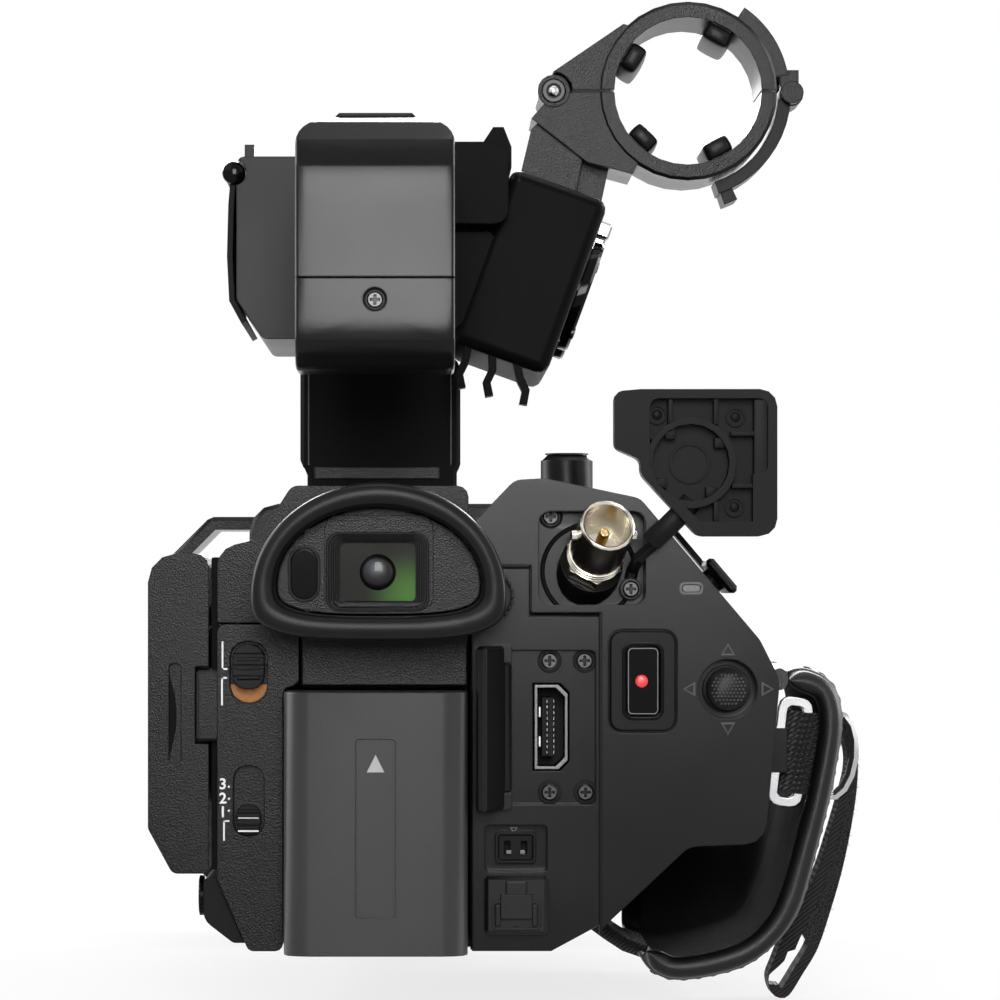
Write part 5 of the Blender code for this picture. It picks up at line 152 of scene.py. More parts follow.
class CamcorderStudio(bpy.types.PropertyGroup):
    """Camera, floor and lamps."""

    distance: bpy.props.FloatProperty(
        name="Camera distance", description="From the body's rear plane", default=0.85, unit="LENGTH")
    focal: bpy.props.FloatProperty(
        name="Focal length", description="In millimetres, on a 36 mm sensor", default=174.86)
    floor: colour_property("Floor", "Pale floor", (0.86, 0.86, 0.86))
    key_power: bpy.props.FloatProperty(
        name="Key lamp", description="Softbox beside the camera", default=19.0, unit="POWER")
    fill_power: bpy.props.FloatProperty(
        name="Fill lamp", description="Large softboxes left, right and above", default=6.0, unit="POWER")
    rim_power: bpy.props.FloatProperty(
        name="Rim lamps", description="Softboxes beside and ahead of the lens", default=30.0, unit="POWER")
    ambience: bpy.props.FloatProperty(
        name="Ambience", description="Grey light from all round", default=0.14, min=0.0)


# Mesh helpers, in millimetres

def link(name, data):
    piece = bpy.data.objects.new(name, data)
    bpy.context.scene.collection.objects.link(piece)
    return piece


def soft_shade(mesh, angle):
    if angle:
        mesh.shade_smooth()
        mesh.set_sharp_from_angle(angle=math.radians(angle))


def piece_from(name, cage, smooth=None, outward=True):
    """Turns a bmesh in millimetres into a piece in metres, its faces outward."""
    bmesh.ops.remove_doubles(cage, verts=cage.verts, dist=0.001)
    if outward:
        bmesh.ops.recalc_face_normals(cage, faces=cage.faces)
    bmesh.ops.scale(cage, vec=(MM, MM, MM), verts=cage.verts)
    mesh = bpy.data.meshes.new(name)
    cage.to_mesh(mesh)
    cage.free()
    soft_shade(mesh, smooth)
    return link(name, mesh)


def finish_of(name):
    return bpy.data.materials[name + "_finish"]


def fit(piece, body, finish, replaced=()):
    """Gives a piece its finish, unless it was made with one, and the body that it rides on."""
    if not piece.data.materials:
        piece.data.materials.append(finish_of(finish))
    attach(piece, body)
    if replaced:
        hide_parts(*replaced)


@contextmanager
def moulding(name, body, finish, slot, smooth=None):
    """Gives a bmesh in millimetres to build a piece in, and then fits the piece to its body."""
    cage = bmesh.new()
    yield cage
    fit(piece_from(name, cage, smooth), body, finish)


def rounded_rectangle(x, z, width, height, radius, steps=6):
    points = []
    for turn, (sx, sz) in enumerate(((1, 1), (-1, 1), (-1, -1), (1, -1))):
        cx = x + sx * (width / 2 - radius)
        cz = z + sz * (height / 2 - radius)
        for step in range(steps + 1):
            angle = math.pi / 2 * (turn + step / steps)
            points.append((cx + radius * math.cos(angle), cz + radius * math.sin(angle)))
    return points


def add_prism(cage, outline, rear, front, edge=0.0):
    """Extrudes an outline in X and Z along Y, with its rear edge bevelled."""
    low = [cage.verts.new((x, rear, z)) for x, z in outline]
    high = [cage.verts.new((x, front, z)) for x, z in outline]
    rim = cage.faces.new(low)
    cage.faces.new(high[::-1])
    for index in range(len(outline)):
        ahead = (index + 1) % len(outline)
        cage.faces.new((low[index], high[index], high[ahead], low[ahead]))
    if edge:
        bmesh.ops.bevel(cage, geom=list(rim.edges), offset=edge, segments=2, profile=0.6, affect="EDGES")


def add_ring(cage, outer, inner, rear, front):
    """Frame between two outlines of as many points, along Y."""
    rows = []
    for outline, y in ((outer, rear), (inner, rear), (inner, front), (outer, front)):
        rows.append([cage.verts.new((x, y, z)) for x, z in outline])
    count = len(outer)
    for row, beside in zip(rows, rows[1:] + rows[:1]):
        for index in range(count):
            ahead = (index + 1) % count
            cage.faces.new((row[index], row[ahead], beside[ahead], beside[index]))


def add_block(cage, low, high, edge=0.0):
    made = bmesh.ops.create_cube(cage, size=1.0)["verts"]
    size = [b - a for a, b in zip(low, high)]
    bmesh.ops.scale(cage, vec=size, verts=made)
    bmesh.ops.translate(cage, vec=[(a + b) / 2 for a, b in zip(low, high)], verts=made)
    if edge:
        edges = list(dict.fromkeys(e for v in made for e in v.link_edges))
        bmesh.ops.bevel(cage, geom=edges, offset=edge, segments=2, profile=0.7, affect="EDGES")


def add_frame(cage, middle, outer, inner, rear, front):
    """Rounded rectangular frame along Y; its outlines are given as (width, height, corner radius)."""
    add_ring(cage, rounded_rectangle(*middle, *outer), rounded_rectangle(*middle, *inner), rear, front)


def add_lathe(cage, profile, centre, axis, sides=32):
    """Turns a profile of (radius, height) about an axis; a radius of 0 closes the end."""
    turn = Vector(UP).rotation_difference(Vector(axis)).to_matrix()
    rows = []
    for radius, height in profile:
        count = 1 if radius == 0 else sides
        row = []
        for index in range(count):
            angle = 2 * math.pi * index / sides
            local = Vector((radius * math.cos(angle), radius * math.sin(angle), height))
            row.append(cage.verts.new(Vector(centre) + turn @ local))
        rows.append(row)
    for row, beside in zip(rows, rows[1:]):
        for index in range(sides):
            ahead = (index + 1) % sides
            loop = [row[index % len(row)], row[ahead % len(row)]]
            loop += [beside[ahead % len(beside)], beside[index % len(beside)]]
            loop = list(dict.fromkeys(loop))
            if len(loop) > 2:
                cage.faces.new(loop)


def smooth_line(points, count):
    """Even points on a smooth curve through the given ones."""
    knots = [Vector(p) for p in points]
    dense = []
    for index in range(len(knots) - 1):
        before = knots[max(index - 1, 0)]
        here, there = knots[index], knots[index + 1]
        after = knots[min(index + 2, len(knots) - 1)]
        for step in range(16):
            t = step / 16
            dense.append(0.5 * (
                2 * here + (there - before) * t
                + (2 * before - 5 * here + 4 * there - after) * t * t
                + (3 * here - before - 3 * there + after) * t ** 3))
    dense.append(knots[-1])
    lengths = [0.0]
    for a, b in zip(dense, dense[1:]):
        lengths.append(lengths[-1] + (b - a).length)
    even = []
    at = 0
    for index in range(count):
        goal = lengths[-1] * index / (count - 1)
        while at < len(dense) - 2 and lengths[at + 1] < goal:
            at += 1
        share = (goal - lengths[at]) / max(lengths[at + 1] - lengths[at], 1e-9)
        even.append(dense[at].lerp(dense[at + 1], min(max(share, 0), 1)))
    return even


def side_of(line, index):
    """Unit vector to the left of a line in the plane of its two axes."""
    along = line[min(index + 1, len(line) - 1)] - line[max(index - 1, 0)]
    return Vector((-along.y, along.x)).normalized()


def add_sweep(cage, points, radius, sides=8, flat=1.0, up=FORWARD):
    """Tube along points; flat squeezes it across the up direction."""
    path = [Vector(point) for point in points]
    rows = []
    for index, here in enumerate(path):
        along = (path[min(index + 1, len(path) - 1)] - path[max(index - 1, 0)]).normalized()
        across = along.cross(Vector(up)).normalized()
        rise = across.cross(along).normalized()
        row = []
        for side in range(sides):
            angle = 2 * math.pi * side / sides
            row.append(cage.verts.new(
                here + across * radius * flat * math.cos(angle) + rise * radius * math.sin(angle)))
        rows.append(row)
    for row, beside in zip(rows, rows[1:]):
        for side in range(sides):
            ahead = (side + 1) % sides
            cage.faces.new((row[side], row[ahead], beside[ahead], beside[side]))
    cage.faces.new(rows[0][::-1])
    cage.faces.new(rows[-1])


def welded(source):
    """A bmesh of a CAD mesh, in metres, with its loose triangles joined."""
    cage = bmesh.new()
    cage.from_mesh(source)
    bmesh.ops.remove_doubles(cage, verts=cage.verts, dist=WELD)
    return cage


def flattened(name, scaffold):
    """Plain mesh of an object with its modifiers; the object itself goes."""
    depsgraph = bpy.context.evaluated_depsgraph_get()
    mesh = bpy.data.meshes.new_from_object(scaffold.evaluated_get(depsgraph), depsgraph=depsgraph)
    mesh.name = name
    bpy.data.objects.remove(scaffold)
    return link(name, mesh)


def skin_of(node, shape=None):
    """A welded copy of a CAD node's mesh, shaped further where asked, with soft curves and crisp edges."""
    source = frame["nodes"][node].data
    mesh = bpy.data.meshes.new(node + "_skin")
    mesh.from_pydata([v.co[:] for v in source.vertices], [], [p.vertices[:] for p in source.polygons])
    cage = welded(mesh)
    if shape:
        shape(cage)
    cage.to_mesh(mesh)
    cage.free()
    soft_shade(mesh, SKIN_ANGLE)
    scaffold = link(node + "_scaffold", mesh)
    scaffold.modifiers.new("even", "WEIGHTED_NORMAL").keep_sharp = True
    return flattened(node + "_skin", scaffold)


def cut_across(cage, place, way):
    every = cage.verts[:] + cage.edges[:] + cage.faces[:]
    bmesh.ops.bisect_plane(cage, geom=every, plane_co=place, plane_no=way)


HANDLE_X = -4.3             # middle of the handle
BOW_CUTS = (103.5, 44)      # lowest cut across the handle's rear end, and how many stand 1 mm apart
BOW_CUTS_BESIDE = (1.7, 8)  # spacing of the upright cuts, and how many lie on each side
BOW_TOP = (130, 0.0009)     # where each lean begins, and how fast it grows
BOW_FOOT = (112, 0.002)
BOW_SIDE = (12.4, 0.06)
BOW_REAR = (-80, 15)        # where the rear end begins, and the depth over which it takes the lean


def bowed(cage):
    """Bows the handle's rear end in metres: its top, foot and sides lean forward from the middle."""
    lowest, count = BOW_CUTS
    for step in range(count):
        cut_across(cage, (0, 0, (lowest + step) * MM), UP)
    spacing, count = BOW_CUTS_BESIDE
    for step in range(-count, count + 1):
        cut_across(cage, ((HANDLE_X + step * spacing) * MM, 0, 0), RIGHT)
    for vertex in cage.verts:
        x, y, z = vertex.co / MM
        depth = min(max((BOW_REAR[0] - y) / BOW_REAR[1], 0.0), 1.0)
        lean = BOW_TOP[1] * max(z - BOW_TOP[0], 0) ** 3 + BOW_FOOT[1] * max(BOW_FOOT[0] - z, 0) ** 3
        lean += BOW_SIDE[1] * max(abs(x - HANDLE_X) - BOW_SIDE[0], 0) ** 2
        vertex.co.y += lean * depth * MM


# Geometry Nodes trees

SOCKET_KINDS = {float: "Float", int: "Int"}


class Tree:
    """A node tree under construction, whose nodes are set and joined in one call each.

    Each input is given as its default value or as the kind of its socket, and is read by its name.
    """

    def __init__(self, name, kind, gives, takes):
        self.tree = bpy.data.node_groups.new(name, kind)
        self.enter = self.tree.nodes.new("NodeGroupInput")
        self.leave = self.tree.nodes.new("NodeGroupOutput")
        for key, value in gives.items():
            self.socket(key, "OUTPUT", value)
        for key, value in takes.items():
            if isinstance(value, str):
                self.socket(key, "INPUT", value)
            else:
                self.socket(key, "INPUT", SOCKET_KINDS[type(value)]).default_value = value

    def socket(self, name, side, kind):
        return self.tree.interface.new_socket(name, in_out=side, socket_type="NodeSocket" + kind)

    def add(self, kind, inputs=None, **values):
        return put_node(self.tree, kind, inputs, **values)

    def __getitem__(self, name):
        return self.enter.outputs[name]

    def math(self, operation, *values, **choices):
        return self.add("ShaderNodeMath", dict(enumerate(values)), operation=operation, **choices).outputs[0]

    def ends(self, **inputs):
        set_inputs(self.tree, self.leave, inputs)
        return self.tree


def set_inputs(tree, node, inputs):
    """Joins each input that is given a socket, or a node for its first socket, and sets any other."""
    for key, value in inputs.items():
        if isinstance(value, bpy.types.Node):
            value = value.outputs[0]
        if isinstance(value, bpy.types.NodeSocket):
            tree.links.new(value, node.inputs[key])
        else:
            node.inputs[key].default_value = value


def put_node(tree, kind, inputs=None, **values):
    node = tree.nodes.new(kind)
    for key, value in values.items():
        setattr(node, key, value)
    set_inputs(tree, node, inputs or {})
    return node


def geometry_tree(name, **takes):
    takes = {"Geometry": "Geometry", **takes, "Finish": "Material"}
    return Tree(name, "GeometryNodeTree", {"Geometry": "Geometry"}, takes)


def finish_tree(made, **inputs):
    """Ends a tree: copies standing on points, realised and given the finish."""
    inputs = {key.capitalize(): value for key, value in inputs.items()}
    stood = made.add("GeometryNodeInstanceOnPoints", inputs)
    real = made.add("GeometryNodeRealizeInstances", {"Geometry": stood})
    done = made.add("GeometryNodeSetMaterial", {
        "Geometry": real, "Material": made["Finish"]})
    return made.ends(Geometry=done)


def turned_to(made, way, axis):
    return made.add("FunctionNodeAlignRotationToVector", {"Vector": way}, axis=axis).outputs[0]


def shape_given(made):
    return made.add("GeometryNodeObjectInfo", {"Object": made["Shape"]}).outputs["Geometry"]


def places_tree():
    """Shapes standing on points, turned to the points' facing."""
    made = geometry_tree("fittings_on_points", Shape="Object", Size=1.0)
    facing = made.add("GeometryNodeInputNamedAttribute", {"Name": "facing"}, data_type="FLOAT_VECTOR")
    return finish_tree(
        made, points=made["Geometry"], instance=shape_given(made),
        rotation=turned_to(made, facing, "Z"), scale=made["Size"])


def ring_tree():
    """Ribs spaced evenly round a ring about Z."""
    made = geometry_tree("ribs_round_a_ring", Count=24, Radius=0.01, Rib="Vector")
    circle = made.add("GeometryNodeMeshCircle", {
        "Vertices": made["Count"], "Radius": made["Radius"]})
    place = made.add("GeometryNodeInputPosition")
    rib = made.add("GeometryNodeMeshCube", {"Size": made["Rib"]})
    return finish_tree(
        made, points=circle, instance=rib,
        rotation=turned_to(made, place, "X"))


def row_tree():
    """Ridges in a row, each a bar of the given size."""
    made = geometry_tree("ridges_in_a_row", Count=4, Step="Vector", Start="Vector", Bar="Vector")
    line = made.add("GeometryNodeMeshLine", {
        "Count": made["Count"], "Start Location": made["Start"], "Offset": made["Step"]})
    bar = made.add("GeometryNodeMeshCube", {"Size": made["Bar"]})
    return finish_tree(made, points=line, instance=bar)


def stitch_tree():
    """Stitches along a line of edges."""
    made = geometry_tree("stitches_on_a_line", Shape="Object", Pitch=0.0026)
    path = made.add("GeometryNodeMeshToCurve", {"Mesh": made["Geometry"]})
    even = made.add("GeometryNodeResampleCurve", {
        "Curve": path, "Length": made["Pitch"]}, mode="LENGTH")
    along = made.add("GeometryNodeInputTangent")
    return finish_tree(
        made, points=even, instance=shape_given(made),
        rotation=turned_to(made, along, "X"))


def cord_tree():
    """Round cords side by side along one path: the ribs of a webbing."""
    made = geometry_tree("cords_side_by_side", Count=8, Step="Vector", Radius=0.0005)
    path = made.add("GeometryNodeMeshToCurve", {"Mesh": made["Geometry"]})
    section = made.add("GeometryNodeCurvePrimitiveCircle", {"Resolution": 6, "Radius": made["Radius"]})
    cord = made.add("GeometryNodeCurveToMesh", {
        "Curve": path, "Profile Curve": section, "Fill Caps": True})
    line = made.add("GeometryNodeMeshLine", {"Count": made["Count"], "Offset": made["Step"]})
    return finish_tree(made, points=line, instance=cord)


def fibre_tree():
    """Stray fibres scattered over a face, from a fixed seed."""
    made = geometry_tree("stray_fibres", Shape="Object", Density=1000000.0, Length=0.001, Seed=7)
    seed = made["Seed"]
    spread = made.add("GeometryNodeDistributePointsOnFaces", {
        "Mesh": made["Geometry"], "Density": made["Density"], "Seed": seed})
    tilt = made.add("FunctionNodeRandomValue", {
        0: (-1.1, -1.1, -3.1), 1: (1.1, 1.1, 3.1), "Seed": seed}, data_type="FLOAT_VECTOR")
    lean = made.add("FunctionNodeEulerToRotation", {"Euler": tilt})
    turn = made.add("FunctionNodeRotateRotation", {
        "Rotation": spread.outputs["Rotation"], "Rotate By": lean}, rotation_space="LOCAL")
    size = made.add("FunctionNodeRandomValue", {2: 0.35, 3: 1.0, "Seed": seed}, data_type="FLOAT")
    scale = made.math("MULTIPLY", size.outputs[1], made["Length"])
    return finish_tree(
        made, points=spread.outputs["Points"], instance=shape_given(made),
        rotation=turn, scale=scale)


TREE_MAKERS = {
    "fittings_on_points": places_tree,
    "ribs_round_a_ring": ring_tree,
    "ridges_in_a_row": row_tree,
    "stitches_on_a_line": stitch_tree,
    "cords_side_by_side": cord_tree,
    "stray_fibres": fibre_tree,
}


def grown(name, tree_name, mesh, finish, **inputs):
    """Plain mesh piece of a Geometry Nodes tree on a mesh; inputs are set by their sockets' identifiers."""
    tree = bpy.data.node_groups.get(tree_name) or TREE_MAKERS[tree_name]()
    sockets = {
        item.name: item.identifier for item in tree.interface.items_tree
        if item.item_type == "SOCKET" and item.in_out == "INPUT"
    }
    scaffold = link(name + "_scaffold", mesh)
    modifier = scaffold.modifiers.new(tree_name, "NODES")
    modifier.node_group = tree
    modifier[sockets["Finish"]] = finish_of(finish)
    for key, value in inputs.items():
        modifier[sockets[key.capitalize()]] = value
    piece = flattened(name, scaffold)
    if not piece.data.polygons:
        raise RuntimeError(f"{name} came out empty")
    return piece


def in_metres(place):
    return [c * MM for c in place]


def points_mesh(name, places):
    """Loose points in metres with a facing, from (place in millimetres, facing)."""
    mesh = bpy.data.meshes.new(name)
    mesh.from_pydata([in_metres(place) for place, _ in places], [], [])
    facing = mesh.attributes.new("facing", "FLOAT_VECTOR", "POINT")
    for index, (_, way) in enumerate(places):
        facing.data[index].vector = Vector(way).normalized()
    return mesh


def line_mesh(name, points):
    mesh = bpy.data.meshes.new(name)
    mesh.from_pydata([in_metres(p) for p in points], [(i, i + 1) for i in range(len(points) - 1)], [])
    return mesh


def shape_object(name, cage):
    """Hidden pattern that a tree copies; it is removed once it has been copied."""
    mesh = bpy.data.meshes.new("shape_" + name)
    bmesh.ops.recalc_face_normals(cage, faces=cage.faces)
    cage.to_mesh(mesh)
    cage.free()
    shape = link("shape_" + name, mesh)
    shape.hide_render = True
    return shape


def set_of_shapes(name, body, finish, places, cage, size):
    """Copies of a shape standing on places, their size in millimetres, fitted to a body."""
    shape = shape_object(name, cage)
    piece = grown(name, "fittings_on_points", points_mesh(name, places), finish, shape=shape, size=size * MM)
    bpy.data.objects.remove(shape)
    fit(piece, body, finish)


def ring_of_ribs(name, body, finish, centre, axis, radius, count, rib):
    """Ribs round an axis at a place in millimetres, rib as (height, width, length), fitted to a body."""
    piece = grown(
        name, "ribs_round_a_ring", bpy.data.meshes.new(name), finish, count=count, radius=radius * MM,
        rib=in_metres(rib))
    turn = Vector(UP).rotation_difference(Vector(axis)).to_matrix().to_4x4()
    piece.data.transform(Matrix.Translation(Vector(centre) * MM) @ turn)
    fit(piece, body, finish)


def row_of_ridges(name, body, finish, start, step, count, bar):
    """Bars in a row in millimetres, fitted to a body."""
    piece = grown(
        name, "ridges_in_a_row", bpy.data.meshes.new(name), finish, count=count, start=in_metres(start),
        step=in_metres(step), bar=in_metres(bar))
    fit(piece, body, finish)


# Shader node groups

def grain_group():
    """Moulded grain: small pebbles of uneven size."""
    made = Tree("moulded_grain", "ShaderNodeTree", {"Height": "Float", "Shade": "Float"}, {"Scale": 900.0})
    place = made.add("ShaderNodeTexCoord").outputs["Object"]
    cells = made.add("ShaderNodeTexVoronoi", {"Vector": place, "Scale": made["Scale"]}, feature="F1")
    fine = made.math("MULTIPLY", made["Scale"], 2.3)
    noise = made.add("ShaderNodeTexNoise", {"Vector": place, "Scale": fine, "Detail": 2.0})
    both = made.math("MULTIPLY_ADD", noise, 0.5, cells.outputs["Distance"])
    patch = made.add("ShaderNodeMapRange", {"Value": noise, 1: 0.3, 2: 0.7, 3: 0.86, 4: 1.14})
    return made.ends(Height=both, Shade=patch)


def handling_group():
    """Traces of handling: broad patches that change the gloss and the tone."""
    made = Tree(
        "handling_marks", "ShaderNodeTree", {"Roughness": "Float", "Tone": "Float"},
        {"Roughness": 0.5, "Spread": 0.1, "Scale": 40.0})
    place = made.add("ShaderNodeTexCoord").outputs["Object"]
    broad = made.add("ShaderNodeTexNoise", {"Vector": place, "Scale": made["Scale"], "Detail": 4.0})
    swing = made.math("MULTIPLY", made.math("SUBTRACT", broad, 0.5), made["Spread"])
    rough = made.math("ADD", made["Roughness"], swing, use_clamp=True)
    tone = made.add("ShaderNodeMapRange", {"Value": broad, 1: 0.3, 2: 0.7, 3: 0.92, 4: 1.08})
    return made.ends(Roughness=rough, Tone=tone)


def edge_group():
    """Rounded edges, and a mask along them where a highlight is painted."""
    made = Tree("rubbed_edges", "ShaderNodeTree", {"Normal": "Vector", "Mask": "Float"}, {"Radius": 0.0003})
    soft = made.add("ShaderNodeBevel", {"Radius": made["Radius"]}, samples=4)
    true = made.add("ShaderNodeNewGeometry")
    same = made.add("ShaderNodeVectorMath", {
        0: soft, 1: true.outputs["Normal"]}, operation="DOT_PRODUCT")
    mask = made.add("ShaderNodeMapRange", {"Value": same.outputs["Value"], 1: 0.98, 2: 0.8, 3: 0.0, 4: 1.0})
    return made.ends(Normal=soft, Mask=mask)


def weave_group():
    """Twill of a webbing, in slanted rows."""
    made = Tree("twill_weave", "ShaderNodeTree", {"Height": "Float", "Shade": "Float"}, {"Scale": 900.0})
    place = made.add("ShaderNodeTexCoord").outputs["Object"]
    slant = made.add("ShaderNodeMapping", {"Vector": place, "Rotation": (0.0, math.radians(38), 0.0)})
    rows = made.add("ShaderNodeTexWave", {
        "Vector": slant, "Scale": made["Scale"], "Distortion": 1.2, "Detail": 2.0},
        wave_type="BANDS", bands_direction="Z")
    shade = made.add("ShaderNodeMapRange", {"Value": rows.outputs["Fac"], 3: 0.55, 4: 1.5})
    return made.ends(Height=rows.outputs["Fac"], Shade=shade)


def leather_group():
    """Leather: fine creased cells with broad soft wrinkles."""
    made = Tree("leather_grain", "ShaderNodeTree", {"Height": "Float", "Shade": "Float"}, {"Scale": 700.0})
    place = made.add("ShaderNodeTexCoord").outputs["Object"]
    cells = made.add("ShaderNodeTexVoronoi", {
        "Vector": place, "Scale": made["Scale"]}, feature="DISTANCE_TO_EDGE")
    crease = made.add("ShaderNodeMapRange", {"Value": cells.outputs["Distance"], 1: 0.0, 2: 0.14})
    folds = made.add("ShaderNodeTexNoise", {"Vector": place, "Scale": 110.0, "Detail": 3.0})
    both = made.math("MULTIPLY_ADD", folds, 3.0, crease)
    shade = made.add("ShaderNodeMapRange", {"Value": crease, 3: 0.7, 4: 1.1})
    return made.ends(Height=both, Shade=shade)


GROUP_MAKERS = {
    "moulded_grain": grain_group,
    "handling_marks": handling_group,
    "rubbed_edges": edge_group,
    "twill_weave": weave_group,
    "leather_grain": leather_group,
}


def group_node(tree, name, **inputs):
    made = bpy.data.node_groups.get(name) or GROUP_MAKERS[name]()
    node = put_node(tree, "ShaderNodeGroup", node_tree=made)
    for key, value in inputs.items():
        node.inputs[key.capitalize()].default_value = value
    return node


def start_material(name):
    material = bpy.data.materials.get(name + "_finish") or bpy.data.materials.new(name + "_finish")
    material.use_nodes = True
    tree = material.node_tree
    tree.nodes.clear()
    end = tree.nodes.new("ShaderNodeOutputMaterial")
    shader = tree.nodes.new("ShaderNodeBsdfPrincipled")
    tree.links.new(shader.outputs[0], end.inputs["Surface"])
    return tree, shader


def tinted(tree, shader, colour, *shades):
    """Base colour times the given shades."""
    last = (*colour, 1.0)
    for shade in shades:
        mix = put_node(
            tree, "ShaderNodeMix", {0: 1.0, 6: last, 7: shade}, data_type="RGBA", blend_type="MULTIPLY")
        last = mix.outputs[2]
    tree.links.new(last, shader.inputs["Base Color"])


FINE_GRAIN = 4200.0


def moulded(
    name, colour, roughness, specular, grain=0.0, scale=900.0, spread=0.12, edge=0.0003, highlight_lift=0.5,
):
    """Moulded plastic or rubber: grain, rounded edges with a painted highlight along them, traces of
    handling.
    """
    tree, shader = start_material(name)
    marks = group_node(tree, "handling_marks", roughness=roughness, spread=spread)
    edges = group_node(tree, "rubbed_edges", radius=edge)
    # The edge mask raises the colour along every edge: a painted highlight.
    edge_highlight = put_node(tree, "ShaderNodeMath", {
        0: edges.outputs["Mask"], 1: highlight_lift, 2: 1.0}, operation="MULTIPLY_ADD")
    texture = group_node(tree, "moulded_grain", scale=scale)
    tinted(tree, shader, colour, marks.outputs["Tone"], edge_highlight.outputs[0], texture.outputs["Shade"])
    bump = put_node(tree, "ShaderNodeBump", {
        "Strength": grain, "Distance": 0.0002, "Height": texture.outputs["Height"],
        "Normal": edges.outputs["Normal"]})
    set_inputs(tree, shader, {
        "Roughness": marks.outputs["Roughness"], "Specular IOR Level": specular, "Normal": bump})


def metal(name, colour, roughness):
    """Bare metal with softened edges and uneven polish."""
    tree, shader = start_material(name)
    marks = group_node(tree, "handling_marks", roughness=roughness, spread=0.1, scale=60.0)
    edges = group_node(tree, "rubbed_edges", radius=0.0002)
    tinted(tree, shader, colour, marks.outputs["Tone"])
    set_inputs(tree, shader, {
        "Roughness": marks.outputs["Roughness"], "Metallic": 1.0, "Normal": edges.outputs["Normal"]})


def fabric(name, colour, weave, scale, strength, roughness, sheen):
    """Cloth, leather or thread with the given weave."""
    tree, shader = start_material(name)
    texture = group_node(tree, weave, scale=scale)
    marks = group_node(tree, "handling_marks", roughness=roughness, spread=0.12)
    tinted(tree, shader, colour, texture.outputs["Shade"], marks.outputs["Tone"])
    bump = put_node(tree, "ShaderNodeBump", {
        "Strength": strength, "Distance": 0.0003, "Height": texture.outputs["Height"]})
    set_inputs(tree, shader, {
        "Roughness": marks.outputs["Roughness"], "Specular IOR Level": 0.25, "Sheen Weight": sheen,
        "Sheen Roughness": 0.5, "Normal": bump})


def glass_with_painted_reflection(name, dark, reflection_colour, centre, reach, roughness=0.06):
    """Dark glass with a painted reflection: a spot of the reflection's colour that fades to dark at its
    reach.
    """
    tree, shader = start_material(name)
    place = put_node(tree, "ShaderNodeTexCoord")
    move = put_node(tree, "ShaderNodeMapping", {
        "Vector": place.outputs["Object"], "Location": [-c * MM / (reach * MM) for c in centre],
        "Scale": [1 / (reach * MM)] * 3})
    reflection_spot = put_node(tree, "ShaderNodeTexGradient", {"Vector": move}, gradient_type="SPHERICAL")
    ramp = put_node(tree, "ShaderNodeValToRGB", {"Fac": reflection_spot.outputs["Fac"]})
    ramp.color_ramp.interpolation = "EASE"
    ramp.color_ramp.elements[0].color = (*dark, 1.0)
    ramp.color_ramp.elements[1].color = (*reflection_colour, 1.0)
    marks = group_node(tree, "handling_marks", roughness=roughness, spread=0.05, scale=90.0)
    set_inputs(tree, shader, {
        "Base Color": ramp, "Roughness": marks.outputs["Roughness"], "Coat Weight": 0.12,
        "Specular IOR Level": 0.2, "Coat Roughness": 0.03})


